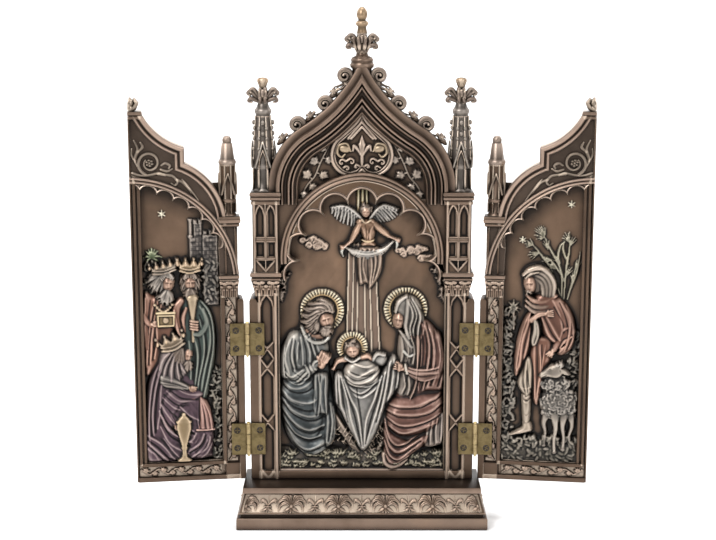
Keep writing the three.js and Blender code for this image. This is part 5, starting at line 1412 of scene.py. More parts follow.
def joseph_figure(c):
    halo(c, -22.5, 121.5, 8.9, 12.0, 1.7, 40)
    drape(c, [(-31, 112), (-40, 107.5), (-44.8, 98), (-46.4, 84), (-46.6, 64), (-43.5, 49), (-37, 39.5),
        (-29, 35.2), (-22.0, 37), (-18.0, 43), (-15.0, 52), (-14.4, 64), (-16.8, 76), (-18.8, 90),
        (-18.5, 100), (-23, 107)], 5.6, 6.0, TEAL, [])
    drape(c, [(-31, 112), (-40, 107.5), (-45, 97), (-46, 84), (-40, 78), (-26, 84), (-19, 94), (-19.4, 104),
              (-24, 108)], 6.6, 6.0, ASH,
          [[(-27.6, 110), (-23.8, 101), (-21.6, 93)], [(-30, 109), (-27, 101), (-25.4, 94)],
           [(-32.6, 108.5), (-30.6, 100), (-29.4, 93)], [(-34.6, 107), (-34, 99), (-33.4, 91)]], 0.9, 0.9)
    drape(c, [(-20.6, 70), (-16.4, 69), (-14.6, 60), (-14.6, 50), (-17.4, 43), (-21.6, 42), (-23, 54)], 6.0,
        3.0, TEAL, [[(-20.2, 68), (-19.6, 57), (-20.4, 45)], [(-18.0, 68), (-17.0, 57), (-18.0, 46)],
        [(-16.4, 66), (-15.2, 57), (-16.0, 49)]], 1.1, 0.8)
    drape(c, [(-46.4, 80), (-46.6, 62), (-42, 52), (-34, 45), (-25, 46), (-20.6, 56), (-20.4, 70), (-24, 82),
              (-36, 86)], 7.8, 7.0, TEAL,
          [[(-46.5, 82), (-40, 77.6), (-33, 78.4), (-26, 84)],
           [(-46.4, 77), (-39, 70.4), (-30, 69.4), (-23.4, 73)],
           [(-46.4, 72), (-38.6, 63.6), (-30, 61.0), (-22, 62.6)],
           [(-46, 66.4), (-38, 56.4), (-30, 53.6), (-21.6, 55.4)],
           [(-45, 60.4), (-37, 50.6), (-30, 47.8), (-23, 49.4)]], 1.45, 1.25, 1.1, power=0.6)
    drape(c, [(-44.6, 57), (-40.5, 45), (-33, 37.6), (-26, 35.8), (-20.6, 39.6), (-18.8, 46), (-22, 49.5),
        (-30, 48), (-37, 52)], 7.2, 5.0, TEAL, [[(-44.4, 56), (-38, 45.4), (-31, 41.6), (-22, 44.6)],
        [(-42.4, 50), (-36, 41.6), (-29.6, 38.4), (-21, 41)], [(-38, 42), (-32, 37.6), (-26, 36.8)]], 1.3,
        1.1, 1.0, power=0.6)
    drape(c, [(-27.6, 86), (-28.0, 74), (-28.2, 62.6), (-25.6, 60.6), (-22.8, 61.8), (-19.0, 61.2),
        (-18.8, 72), (-19.6, 86)], 8.6, 2.4, TEAL, [[(-26.6, 85), (-26.6, 74), (-27.2, 62)],
        [(-24.6, 86), (-24.6, 74), (-24.8, 61)], [(-22.4, 86), (-22.4, 74), (-22.4, 62)],
        [(-20.4, 85), (-20.2, 74), (-20.0, 62)]], 1.2, 0.7, 1.0)
    c.ridge([(-37.5, 105), (-41.6, 96), (-42, 86.5)], 6, [5.0, 5.2, 4.6], [7.0, 8.0, 8.2], ASH, blend=0.5)
    c.ridge([(-41.6, 86.6), (-35, 84.4), (-29, 88.6), (-25.4, 92)], 6, [4.3, 4.0, 3.2, 2.2],
        [8.0, 8.6, 8.4, 8.0], ASH, blend=0.4)
    arm = c.mass(curve([(-43, 106), (-46, 92), (-44, 82), (-34, 79.5), (-25, 87), (-24, 93), (-31, 92),
        (-36, 92), (-35, 104)], 5, True), 0.0, 3.0, ASH, base=-9)
    pleats(c, arm, [
        [(-35.4, 107), (-36.6, 98), (-35.4, 91)], [(-38.4, 107.6), (-39.6, 97), (-38, 88)],
        [(-41.2, 106), (-42.6, 96), (-41, 86)], [(-43.8, 102), (-45.2, 93), (-44, 84)],
    ], 1.0, 0.9, 0.8)
    pleats(c, arm, [
        [(-44.8, 89), (-40.4, 84.4), (-33.6, 88.4)], [(-44.8, 85.6), (-39, 81.6), (-31.6, 86.8)],
        [(-42.6, 82), (-36, 79.8), (-28.6, 86)], [(-33, 91.8), (-30.4, 88), (-29.8, 84.4)],
        [(-30, 92.4), (-27.8, 89.4), (-26.6, 86.6)],
    ], 1.0, 0.8, 0.8)
    c.stroke(arc(-25, 91, 2.6, 100, 250, 8), [0.7], [8.6], ASH)
    hand(c, -24.6, 91.4, 60, 3.6, 7.8, fan=4)
    hand(c, -22.9, 90.6, 61, 3.4, 8.2, fan=4)
    c.ridge([(-34, 112.5), (-31.6, 107.4), (-27, 104), (-21.6, 104.4), (-18.8, 106.6)], 6, [1.0],
        [6.6, 7.6, 7.6, 6.8], (0.13, 0.13, 0.12), blend=0.2)
    c.ridge([(-31.5, 110), (-27.6, 107), (-22.5, 107)], 6, [2.2], [5.8], SKIN, blend=0.2)
    c.dome(-25.2, 119.0, 8.2, 9.0, 6.0, HAIR, base=0.4)
    face(c, -20.8, 117.0, 4.7, 6.0, 2.4, 5.4, 0.55, 14)
    for line, level in [
            ([(-16.6, 121.2), (-18.0, 124.8), (-22.4, 127.6), (-27.4, 126.4)], 7.0),
            ([(-18.0, 122.0), (-21.0, 125.6), (-26.6, 125.4), (-30.4, 125.6)], 7.6),
            ([(-19.8, 122.4), (-23.2, 123.8), (-28.2, 122.6), (-33.0, 122.8)], 8.0),
            ([(-21.8, 122.0), (-25.4, 121.2), (-29.6, 118.8), (-34.2, 119.2)], 8.0),
            ([(-23.6, 120.8), (-26.8, 118.2), (-30.6, 115.6), (-34.6, 115.2)], 7.8),
            ([(-24.8, 118.6), (-27.2, 115.4), (-30.4, 112.4), (-33.8, 111.6)], 7.4),
            ([(-25.2, 116.2), (-27.0, 112.6), (-29.4, 109.8), (-32.4, 108.4)], 7.0),
            ([(-25.0, 113.6), (-26.6, 110.8), (-28.6, 108.4), (-30.4, 106.8)], 6.4)]:
        path = curve(line, 6)
        c.stroke(path, [0.9, 1.6, 1.7, 1.5, 0.5], [level - 0.4, level, level - 0.6, level - 2.0, level - 4.0],
            HAIR)
        c.stroke(path[2:], [0.35], [-0.9], add=True, sharp=True)
    tresses(c, -20.4, 110.4, 4.4, 4.4, 2.4, 5.0, (-20.2, 114.2), 178, 356, 13, 63, wave=0.4)
    tresses(c, -25.4, 113.6, 2.4, 4.6, 2.4, 4.6, (-24.6, 118.4), 200, 330, 7, 64, wave=0.4)
    c.stroke([(-20.6, 113.4), (-16.9, 113.0)], [0.55], [7.4], HAIR)


def mary_figure(c):
    halo(c, 24.8, 122.4, 8.9, 12.0, 1.7, 40)
    drape(c, [(28, 122), (34, 118), (41.5, 111.5), (46.0, 102), (47.0, 86), (47.0, 60), (45.5, 45), (38, 41),
              (31, 39), (24, 32.6), (16.4, 30.6), (12.8, 35), (13.6, 50), (13.6, 64), (18, 72), (20.5, 84),
              (20.5, 98), (23, 108)], 5.4, 6.0, RUSSET, [])
    drape(c, [(22, 110), (30, 108), (33, 96), (32, 82), (30, 72), (20, 72), (20, 86), (20, 100)], 6.0, 4.0,
        (0.135, 0.112, 0.094), [[(22, 107), (23.4, 98), (21.4, 90)], [(24.6, 108), (26.4, 98), (25, 92)],
        [(28, 108), (29.6, 100), (29, 92)], [(23.6, 86), (23.6, 80), (22.6, 74)],
        [(26.4, 86), (26.8, 79), (26, 73)]], 1.0, 0.85)
    drape(c, [(30.6, 117), (36, 117), (42, 111), (46, 102), (47.2, 88), (46.8, 76), (38, 74), (31.5, 75),
        (32.5, 90), (33.0, 104)], 7.4, 5.0, RUSSET, [[(32.6, 115), (34.2, 100), (33.6, 86), (32, 76)],
        [(35.4, 116), (37.4, 101), (36.6, 88), (34.6, 76)], [(38.6, 114), (40.6, 101), (40.0, 90), (37, 78)],
        [(41.6, 111.5), (44.0, 100), (43.2, 90), (40.4, 80)], [(44.6, 105), (46.4, 96), (46, 86),
        (44.4, 78)]], 1.5, 1.15, 1.1)
    drape(c, [(13.4, 66), (19, 72.4), (30, 75), (42, 76.5), (47, 74), (47, 58), (41, 51), (30, 47), (20, 47),
        (13.4, 54)], 8.4, 8.0, RUSSET, [[(14.4, 68), (22, 66.4), (33, 68.4), (46.6, 75)],
        [(13.8, 64.6), (23, 61.4), (35, 63.6), (46.8, 69.4)], [(13.6, 60.4), (23, 56.2), (34, 57.8),
        (45.6, 63)], [(13.6, 56.4), (22, 51.6), (31, 52.2), (42, 57)]], 1.45, 1.3, 1.0, power=0.6)
    drape(c, [(12.6, 60), (18, 52), (28, 48), (38, 52), (42.6, 57), (39.4, 46), (33, 39.6), (25, 33.4),
        (17, 30.6), (12.2, 36)], 7.2, 4.0, RUSSET, [[(12.8, 58), (16.4, 47), (24, 44.4), (38.6, 54)],
        [(12.8, 52), (16.6, 42), (23.4, 40), (35.6, 49)], [(12.8, 46), (15.8, 37.8), (22, 35.6),
        (31.6, 42.6)], [(12.8, 40), (14.8, 34.4), (19.4, 32.6), (26.6, 37)]], 1.5, 1.05, 1.15, power=0.6)
    c.ridge([(12.5, 38), (13.4, 33), (17, 30.6), (21.6, 31.8), (25.4, 34.8)], 6, [1.1, 1.5, 1.1],
        [6.4, 7.6, 6.6], (0.22, 0.155, 0.12), blend=0.3)
    drape(c, [(36.5, 55), (47.2, 64), (47.2, 46), (44.5, 42.5), (36, 42)], 6.2, 3.0, (0.19, 0.155, 0.135),
        [[(38, 56), (37, 49), (36.4, 43)], [(40.6, 58.6), (39.8, 50), (39.4, 43)],
        [(43.4, 60), (42.8, 52), (42.6, 44)], [(46.4, 62), (46, 54), (45.8, 46)]], 1.2, 0.8)
    c.ridge([(41.5, 106), (43.4, 95), (41.8, 85)], 6, [4.0, 4.2, 3.6], [7.2, 8.2, 8.4], RUSSET, blend=0.6)
    drape(c, [(44.5, 84), (38, 80), (30, 81.4), (23.4, 86.6), (24, 91.4), (31, 90.4), (38, 91.4), (44, 92)],
        8.8, 3.4, (0.125, 0.068, 0.052), [[(43.5, 90), (37, 88.6), (30, 89.4), (25, 90.4)],
        [(43.5, 87), (37, 85.2), (30, 86.2), (24.4, 88.4)], [(42, 84), (36, 82.2), (30, 83), (25, 86.6)]],
        1.1, 0.85, 0.9, power=0.6)
    c.stroke([(25.6, 86.2), (24.6, 91.2)], [0.8], [8.8], (0.24, 0.20, 0.17))
    hand(c, 24.4, 88.6, 158, 2.9, 7.8, fan=7)
    veil = [(25, 131.6), (19.4, 129), (17.6, 123), (19.6, 118.6), (22.6, 113), (26.0, 106), (29.0, 103.5),
            (32.4, 108), (34.2, 116), (34.0, 124), (30.8, 129.6)]
    shoulder = [(30, 128), (34.6, 121), (36, 113), (34.6, 106), (31, 104), (28.4, 110), (28, 120)]
    whole = np.maximum(drape(c, veil, 6.8, 5.4, VEIL, []), drape(c, shoulder, 6.4, 3.0, VEIL, []))
    face(c, 21.3, 116.8, 3.9, 5.6, 2.8, 4.6, -0.55, -8)
    c.ridge([(25.0, 130.2), (20.6, 126.8), (19.0, 121.4)], 6, [1.1, 1.2, 0.8], [6.2, 7.0, 6.4], VEIL,
        blend=0.2)
    c.ridge([(26.0, 128), (25.4, 120), (24.8, 113), (26.6, 106.4)], 6, [1.3, 1.3, 1.2], [7.6, 7.6, 6.6], VEIL,
        blend=0.3)
    pleats(c, whole, [[(25.4, 130), (27.6, 121), (27.0, 112), (28.4, 105)], [(26.6, 130), (30.2, 121),
        (29.6, 112), (30.0, 105)], [(28.6, 129.4), (32.6, 121), (32.2, 113), (31.6, 106)],
        [(30.4, 128), (34.6, 120), (34.6, 112), (33.2, 106)]], 1.4, 0.85, 1.0, start=0.6)
    c.ridge([(21.6, 110.4), (24.6, 106.4), (27.6, 101.6), (30.6, 101.4)], 6, [0.9, 1.1, 0.8], [6.0, 6.8, 6.4],
        VEIL, blend=0.2)
    c.ridge([(23.4, 99.0), (27.0, 96), (30.6, 97.6)], 5, [0.8], [6.8], (0.24, 0.22, 0.20))
    drape(c, [(30.2, 108), (33.4, 107), (32.8, 90), (31.6, 78), (28.0, 70), (26.6, 72), (29.6, 80),
        (30.2, 92)], 8.2, 1.8, (0.150, 0.088, 0.066), [[(31.2, 107), (31.0, 92), (30.4, 80), (27.6, 71)],
        [(32.6, 106), (32.2, 92), (31.2, 79), (28.8, 72)]], 0.8, 0.6, 0.7)


def child_figure(c):
    drape(c, [(-15.8, 69), (-15.0, 86), (-4, 83), (9, 84), (17.2, 96), (21.8, 92), (22.0, 79), (14.4, 66),
        (8.4, 49), (0.6, 38.6), (-7, 51), (-12, 62)], 5.6, 3.0, LINEN,
        [[(-15.0, 85), (-15.0, 76), (-14.6, 68)], [(-13.2, 85), (-12.2, 74), (-11.6, 64)],
        [(-11.8, 84), (-8.4, 70), (-6.6, 58), (-1.6, 43)], [(-10.4, 82), (-6.2, 71), (-2.6, 62), (0.6, 42)],
        [(10.6, 82), (5.6, 70), (3.0, 58), (1.4, 43)], [(13.0, 86), (10.0, 72), (6.6, 58), (2.6, 45)],
        [(15.6, 92), (14.4, 78), (11.0, 63)], [(18.4, 94), (18.0, 82), (15.4, 70)],
        [(21.0, 92), (21.0, 84), (20.0, 77)]], 1.25, 0.95, 0.9)
    inner = c.mass(curve([(-10, 84), (-4, 72), (2, 69), (10, 80), (8, 86), (0, 78), (-6, 80)], 5, True), 0.0,
        2.0, LINEN, base=-9)
    pleats(c, inner, [[(-10.4, 83), (-5, 76), (1, 74), (9.6, 82)],
        [(-9.6, 79), (-4, 72.4), (2, 71), (9.4, 78)]], 0.9, 0.8, 0.6)
    c.dome(9.6, 93.4, 5.4, 4.4, 4.4, LINEN, -18, base=0.6)
    c.ridge([(5.4, 91), (8.4, 96.6), (13, 96)], 6, [1.0], [5.0, 5.8, 4.8], LINEN, blend=0.2)
    halo(c, -5.5, 100.4, 5.4, 8.4, 2.4, 30)
    drape(c, [(-11, 84), (-8, 92), (0, 94.6), (6, 93.6), (10.6, 88), (9, 80), (0, 76.6), (-8, 78)], 7.6, 4.4,
        SWADDLE, [[(-9.6, 88), (-3, 85.4), (4, 87.4), (9.6, 90)], [(-10.2, 84.6), (-4, 80.4), (4, 81.4),
        (10.2, 87)], [(-8, 80.6), (-2, 77.8), (4, 78.4), (9.6, 83)], [(-5, 92), (1, 89.4), (6, 90.8)]], 1.0,
        0.8, 0.8)
    for path in ([(-9, 93.6), (-13.4, 92.6), (-15.4, 89.8)], [(-1, 94), (3.4, 95.4), (5.8, 92.6)]):
        c.ridge(path, 5, [1.6, 1.35, 0.9], [5.6, 5.8, 5.0], SKIN, blend=0.3)
    for x, z, a in ((-15.4, 89.4, 235), (5.6, 92.4, 292)):
        hand(c, x, z, a, 1.3, 4.8, fingers=3, fan=16)
    c.dome(-5.5, 99.6, 4.9, 4.9, 3.6, HAIR, base=2.0)
    curls(c, -5.5, 101.6, 4.2, 3.0, 2.4, 3.4, 71, 18, 1.0)
    face(c, -5.3, 98.6, 3.9, 4.5, 2.8, 4.2, -0.1, 6)
    c.ridge([(-9.4, 94.8), (-5.4, 92.6), (-1.4, 94.8)], 5, [0.8], [6.8], LINEN)


def feathered_wing(c, crest, tips, count, level, tint):
    """Long feathers from a wing's crest to its trailing edge, short ones over their roots."""
    crest, tips = curve(crest, 12), curve(tips, 12)
    for row, (reach, lift, half) in enumerate(((1.0, 0.0, 0.95), (0.55, 0.7, 0.75), (0.28, 1.3, 0.6))):
        for i in range(count):
            share = (i + 0.5 * (row % 2)) / count
            root, tip = (line[int(share * (len(line) - 1))] for line in (crest, tips))
            tip = root + (tip - root) * reach
            side = np.array([tip[1] - root[1], root[0] - tip[0]]) * 0.08
            c.ridge([root, (root + tip) / 2 + side, tip], 5, [half * 0.8, half, half * 0.45],
                [level + lift, level + lift + 0.3, level + lift - 0.2], tint, blend=0.04)
    c.stroke(crest, [0.9, 0.8, 0.4], [level + 2.0, level + 1.9, level + 0.8], tint)


def angel_figure(c):
    feather = (0.165, 0.158, 0.148)
    feathered_wing(c, [(0.6, 173.6), (-4.4, 178.4), (-9.8, 181.4), (-17.4, 180.6)],
                   [(-1.0, 169.6), (-7.0, 170.4), (-13.6, 173.6), (-18.2, 179.0)], 10, 1.3, feather)
    feathered_wing(c, [(4.4, 174.4), (8.4, 179.4), (12.4, 181.9), (20.6, 179.6)],
                   [(6.4, 171.4), (11.6, 172.2), (17.0, 173.8), (21.4, 177.6)], 10, 1.3, feather)
    for side in (-1, 1):
        c.dome(2.2 + side * 3.2, 172.8, 2.6, 1.9, 3.0, BODICE, -side * 35, base=1.2)
    drape(c, [(-2.0, 158), (10.4, 158), (11.6, 148), (9.6, 141), (4.4, 133.8), (2.6, 137.4), (-1.4, 136.4),
              (-2.6, 146)], 3.8, 2.4, (0.15, 0.105, 0.078),
          [[(-0.8, 157), (-1.6, 147), (-0.6, 138)], [(1.8, 157), (1.0, 148), (3.2, 137)],
           [(4.4, 157), (5.0, 147), (4.4, 135.4)], [(7.0, 157), (8.4, 149), (5.6, 138)],
           [(9.4, 157), (10.8, 149), (8.2, 141)]], 1.0, 0.7, 0.8)
    drape(c, [(0.0, 173.8), (2.2, 174.8), (4.8, 174.2), (7.6, 172.2), (8.0, 167), (7.0, 162), (7.8, 158.6),
        (-0.2, 158.6), (0.4, 163), (-1.4, 167.4), (-2.0, 171.6)], 4.6, 3.0, BODICE,
        [[(-1.0, 171), (0.8, 166.6), (1.4, 162.8)], [(6.8, 171.4), (5.4, 166.8), (4.6, 162.8)],
        [(3.0, 168), (3.2, 165.6), (3.0, 163)]], 0.7, 0.7, 0.4)
    c.ridge([(0.0, 174.0), (2.2, 172.0), (5.0, 173.8)], 5, [0.5], [4.6], (0.26, 0.17, 0.11), blend=0.15)
    c.ridge([(0.2, 162.4), (3.4, 161.4), (6.8, 162.4)], 4, [0.5], [5.0], (0.30, 0.17, 0.09))
    for path in ([(-0.8, 171.6), (-3.4, 166.6), (-6.0, 161.6)], [(6.6, 171.4), (11.4, 167.4), (15.2, 164.4)]):
        c.ridge(path, 6, [1.7, 1.9, 1.2], [4.2, 4.6, 4.2], BODICE, blend=0.25)
        c.stroke(curve(path, 6) + (0.4, -0.3), [0.3], [0.7, 0.3], add=True, sharp=True)
    c.stroke([(-6.0, 161.6), (-9.2, 158.6)], [0.9, 0.7], [4.2, 4.0], SKIN, blend=0.3)
    c.stroke([(15.2, 164.4), (18.8, 162.8)], [0.9, 0.7], [4.2, 4.0], SKIN, blend=0.3)
    hand(c, -9.4, 158.4, 190, 1.4, 3.6, fingers=3, fan=16)
    hand(c, 18.8, 162.8, 335, 1.4, 3.6, fingers=3, fan=16)
    for k, (half, level) in enumerate(((0.55, 4.4), (0.8, 4.9), (0.6, 4.5), (0.5, 4.0))):
        sag = 1.25 * k
        c.ridge([(-9.6, 158.4), (-4.4, 156.8 - sag * 0.8), (3.4, 155.6 - sag), (11.4, 157.6 - sag * 0.9),
            (17.6, 162.0 - sag * 0.3)], 6, [half * 0.5, half, half * 0.5], [level - 0.4, level, level - 0.4],
            (0.185, 0.172, 0.156), blend=0.08)
    for end in ([(-9.8, 158.4), (-11.2, 155.6), (-10.6, 152.8)],
            [(18.6, 162.6), (19.8, 159.8), (19.2, 157.4)]):
        c.ridge(end, 4, [0.7, 0.9, 0.4], [3.4, 3.0, 2.4], (0.25, 0.23, 0.21))
    c.dome(2.2, 179.0, 3.5, 3.7, 2.6, HAIR, base=1.6)
    curls(c, 2.2, 179.6, 3.0, 3.0, 1.8, 2.4, 81, 18, 0.9)
    face(c, 2.2, 178.2, 2.6, 3.3, 2.2, 3.0, 0.1, 0)


# ---------------------------------------------------------------- left wing: three kings

CROWN_GOLD = (0.185, 0.130, 0.076)


def turned_relief(c, x, profile, base, tint, round_=0.8):
    """A vessel in half relief: profile lists (height, half width)."""
    zs, ws = np.array(profile, float).T
    where = c.window(x - ws.max() - 0.5, x + ws.max() + 0.5, zs.min(), zs.max())
    wide = np.interp(c.z[where], zs, ws, left=0, right=0)
    inside = 1 - ((c.x[where] - x) / np.maximum(wide, 1e-3)) ** 2
    c.lay(where, np.where(inside > 0, base + round_ * wide * np.sqrt(np.clip(inside, 0, 1)), -9), tint)


def jewelled_crown(c, left, right, tall, points, base, rise, tint=CROWN_GOLD):
    """A band with leaf points; left and right are the ends of its lower edge."""
    left, right = np.array(left, float), np.array(right, float)
    run = right - left
    up = unit(np.array([-run[1], run[0]])) * tall
    line = [left, left * 0.5 + right * 0.5 - up * 0.16, right]
    low = curve(line, 6)
    tops = []
    for i in range(2 * points - 1):
        share = i / (2 * points - 2)
        tops.append(left + run * (share * 1.16 - 0.08) + up * (1.0 if i % 2 == 0 else 0.58))
    c.mass(np.vstack([low, tops[::-1]]), rise, 1.6, tint, base, power=0.7)
    band = low + up * 0.10
    c.stroke(band, [0.55], [base + rise + 0.7], tint)
    c.stroke(low + up * 0.34, [0.35], [base + rise + 0.5], tint)
    for i in range(0, 2 * points - 1, 2):
        spot = tops[i] - up * 0.08
        c.dome(spot[0], spot[1], 0.8, 0.8, 0.9, tint, base=base + rise * 0.7)
        gem = tops[i] - up * 0.42
        c.dome(gem[0], gem[1], 0.9, 1.3, 0.8, (0.22, 0.15, 0.09), base=base + rise * 0.8)


def bricks(c, x0, x1, z0, z1, level, tint, seed):
    """A wall of small rough stones."""
    course, long = 2.4, 3.4
    where = c.window(x0, x1, z0, z1)
    x, z = c.x[where], c.z[where]
    row = np.floor((z - z0) / course)
    across = (x - x0 + (row % 2) * long / 2) % long
    along = (z - z0) % course
    joint = np.minimum(np.minimum(across, long - across), np.minimum(along, course - along))
    inside = (x >= x0) & (x <= x1) & (z >= z0) & (z <= z1)
    lumps = level + 0.35 * np.clip(joint / 0.5, 0, 1) ** 0.6 + 0.35 * noise(x.shape, seed, 5)
    c.lay(where, np.where(inside, lumps, -9), tint)


def palm_spray(c, x, z, blades, tint, level=0.9, width=0.55):
    """Narrow leaves from one point: blades lists (angle, length, droop)."""
    for angle, length, droop in blades:
        a = math.radians(angle)
        tip = (x + length * math.cos(a), z + length * math.sin(a) - droop)
        path = curve([(x, z), (x + length * 0.5 * math.cos(a), z + length * 0.55 * math.sin(a)), tip], 5)
        c.stroke(path, [width, width * 1.3, width * 0.3], [level, level + 0.7, level * 0.6], tint, blend=0.08)


def wing_ground(seed):
    """The plain field of a wing's relief, darker under its arch as painted shadow."""
    c = Carving(14.2, 57.9, 35.4, 195, 0.36)
    c.h += 0.10 * noise(c.h.shape, seed, 60) + 0.05 * noise(c.h.shape, seed + 1, 14)
    # painted shadow under the arch
    arch_shadow = np.clip((np.hypot(c.x - WING_ARCH[0], c.z - WING_ARCH[1]) - 44.5) / 8, 0, 1) * (c.z > 125)
    c.tint *= (1 + 0.20 * noise(c.h.shape, seed + 2, 50) - 0.62 * arch_shadow)[..., None]
    return c


def kings():
    """The whole carving of the left wing."""
    c = wing_ground(101)
    star(c, 46, 178, 2.3)
    stone = (0.056, 0.047, 0.042)
    bricks(c, 22.5, 31, 150, 164.4, 1.2, (0.050, 0.042, 0.038), 104)
    bricks(c, 24, 28.6, 163, 172.4, 1.0, stone, 105)
    bricks(c, 15, 23.6, 126, 166, 1.9, (0.042, 0.036, 0.033), 106)
    turned_relief(c, 30.4, [(150, 1.1), (164, 1.0), (164.4, 1.5), (165.6, 1.5), (166, 0.9), (173, 0.9),
        (175, 1.4)], 0.3, (0.10, 0.082, 0.07))
    for s, z in ((15.9, 167), (19.2, 167.4), (22.4, 167), (24.8, 173.4), (27.8, 173.4)):
        bricks(c, s - 1.0, s + 1.0, z - 1.4, z + 1.2, 1.5, stone, 107)
    scrub(c, 15, 23, 128, 152, 108, 90, 2.0, 1.6, (0.040, 0.036, 0.031))
    scrub(c, 49, 57.6, 131, 151, 109, 70, 0.8, 1.6, (0.046, 0.043, 0.030))
    palm_spray(c, 52, 153.6, [(90, 5.6, 0), (130, 5.8, 0.6), (50, 5.8, 0.6), (165, 6.0, 1.6), (15, 5.6, 1.6),
        (205, 5.0, 1.0), (-25, 4.8, 1.0), (110, 5.0, 0), (70, 5.0, 0)], (0.085, 0.110, 0.055))
    scrub(c, 14.6, 20.5, 36, 90, 110, 200, 1.4, 1.5, (0.044, 0.042, 0.032))
    king_with_horn(c)
    king_with_casket(c)
    kneeling_king(c)
    return c


def king_with_horn(c):
    cloth(c, [(33, 132), (26, 130), (20.4, 124), (17.6, 112), (17.6, 98), (20, 84), (24, 70), (32, 72),
        (38, 88), (38, 112), (37, 128)], 4.2, 4.5, SAGE, [[(25, 129), (20.4, 120), (18.8, 106), (21.4, 88),
        (25, 73)], [(26.4, 126), (22.6, 116), (21.4, 103), (23.6, 87), (26.6, 74)], [(26.4, 118), (24.4, 108),
        (24.6, 96), (26.4, 84), (28.4, 74)], [(29.4, 108), (27.8, 98), (28.4, 86), (30.4, 76)],
        [(32.6, 106), (31.4, 94), (32, 84)]], 1.2, 1.3, 0.9, start=0.6, power=0.5)
    c.ridge([(24.6, 124), (22.6, 116), (26.0, 110.4), (29.4, 110)], 6, [1.4, 2.0, 1.6], [4.6, 5.2, 5.4], SAGE,
        blend=0.3)
    c.ridge([(36.4, 129), (39.4, 124), (38.4, 114), (33.6, 102.6)], 6, [2.2, 2.6, 2.2, 1.0],
        [4.4, 4.9, 4.7, 3.8], CLAY, blend=0.3)
    c.ridge([(33.6, 125), (35.6, 119), (34.2, 108)], 6, [0.9, 1.2, 0.6], [4.7, 5.0, 4.0], CLAY, blend=0.15)
    c.ridge([(40.4, 124), (38.8, 113), (35.8, 106)], 6, [0.7, 0.9, 0.5], [5.3, 5.4, 4.4], CLAY, blend=0.15)
    c.dome(31, 139, 6.0, 7.6, 3.4, HAIR, base=0.8)
    tresses(c, 31, 138.6, 6.2, 8.0, 0.9, 3.4, (31, 147.4), -75, 30, 8, 111)
    tresses(c, 31, 138.6, 6.2, 8.0, 0.9, 3.4, (31, 147.4), 150, 255, 8, 113)
    face(c, 31.2, 139.4, 3.9, 5.4, 1.8, 4.0, -0.15, 0)
    fringe(c, 31.2, 139.6, 3.9, 5.4, 5.0, 114)
    tresses(c, 31.2, 133.6, 4.0, 4.4, 2.4, 3.2, (31.2, 137.2), 190, 350, 12, 112, wave=0.3)
    turned_relief(c, 30.2, [(105, 0.3), (106, 0.8), (113, 0.9), (119, 1.1), (124, 1.9), (129, 2.7),
        (130.4, 3.3), (131.4, 3.5), (132.2, 2.7), (133.4, 1.6)], 4.4, (0.170, 0.125, 0.074), 0.8)
    hand(c, 28.0, 112.4, 62, 1.7, 5.0, fan=6)
    for k in range(4):
        c.stroke([(27.6, 112.6 + 1.5 * k), (31.4, 113.2 + 1.5 * k)], [0.62], [5.6], SKIN)
    jewelled_crown(c, (25.4, 145.6), (37.0, 145.6), 7.6, 4, 2.6, 2.0)


def king_with_casket(c):
    cloth(c, [(57.9, 131), (52, 133), (46, 130), (41, 126), (40, 112), (44, 100), (50, 92), (57.9, 88)], 3.9,
        4.0, CLAY, [[(51, 131), (53.4, 120), (55.6, 108), (56.6, 92)], [(49.4, 130), (51.4, 118), (53.4, 106),
        (54.4, 94)], [(47.4, 128), (49.6, 116), (51, 106), (52, 97)], [(56.4, 131), (57, 118), (57.6, 104)]],
        1.2, 1.2, 0.9, start=0.7, power=0.5)
    for k in range(9):
        share = k / 8
        c.dome(41.4 + 9.6 * share, 127.4 - 5.6 * math.sin(math.pi * share) * 0.7, 0.9, 0.9, 1.0, CROWN_GOLD,
            base=4.6)
    grey = (0.150, 0.132, 0.116)
    c.dome(48.0, 140.8, 6.2, 7.4, 3.4, grey, base=0.8)
    tresses(c, 48.2, 140.4, 6.4, 7.8, 0.9, 3.6, (45.0, 148.0), -110, 45, 15, 121, grey, 0.6)
    face(c, 43.6, 139.6, 3.8, 5.4, 2.0, 4.0, -0.5, 8)
    fringe(c, 43.9, 139.8, 3.8, 5.4, 5.2, 123, grey)
    tresses(c, 45.0, 131.8, 5.0, 5.6, 2.4, 3.4, (43.6, 136.6), 190, 352, 14, 122, (0.100, 0.086, 0.074), 0.6)
    jewelled_crown(c, (38.6, 146.6), (51.8, 144.4), 6.6, 5, 2.4, 2.2, (0.110, 0.084, 0.060))
    gilt = (0.235, 0.165, 0.085)
    box = [(40.6, 114.6), (49.6, 114.6), (50.0, 122.4), (40.2, 122.4)]
    c.mass(np.array(box), 5.2, 0.9, gilt, power=0.6)
    c.stroke([(40.8, 115.4), (49.4, 115.4), (49.6, 121.4), (40.6, 121.4), (40.8, 115.4)], [0.45], [6.0], gilt)
    c.dome(45.2, 118.6, 1.7, 1.7, 0.9, CROWN_GOLD, base=5.2)
    c.stroke([(40.4, 122.8), (50.0, 122.8)], [0.8], [5.9], (0.26, 0.18, 0.095))
    hand(c, 53.6, 116.4, 172, 2.2, 5.0, fan=8)
    c.ridge([(57.6, 121), (55.4, 117.6), (53.2, 115.4)], 5, [2.2, 1.8, 1.5], [4.4, 5.0, 4.8], CLAY, blend=0.2)


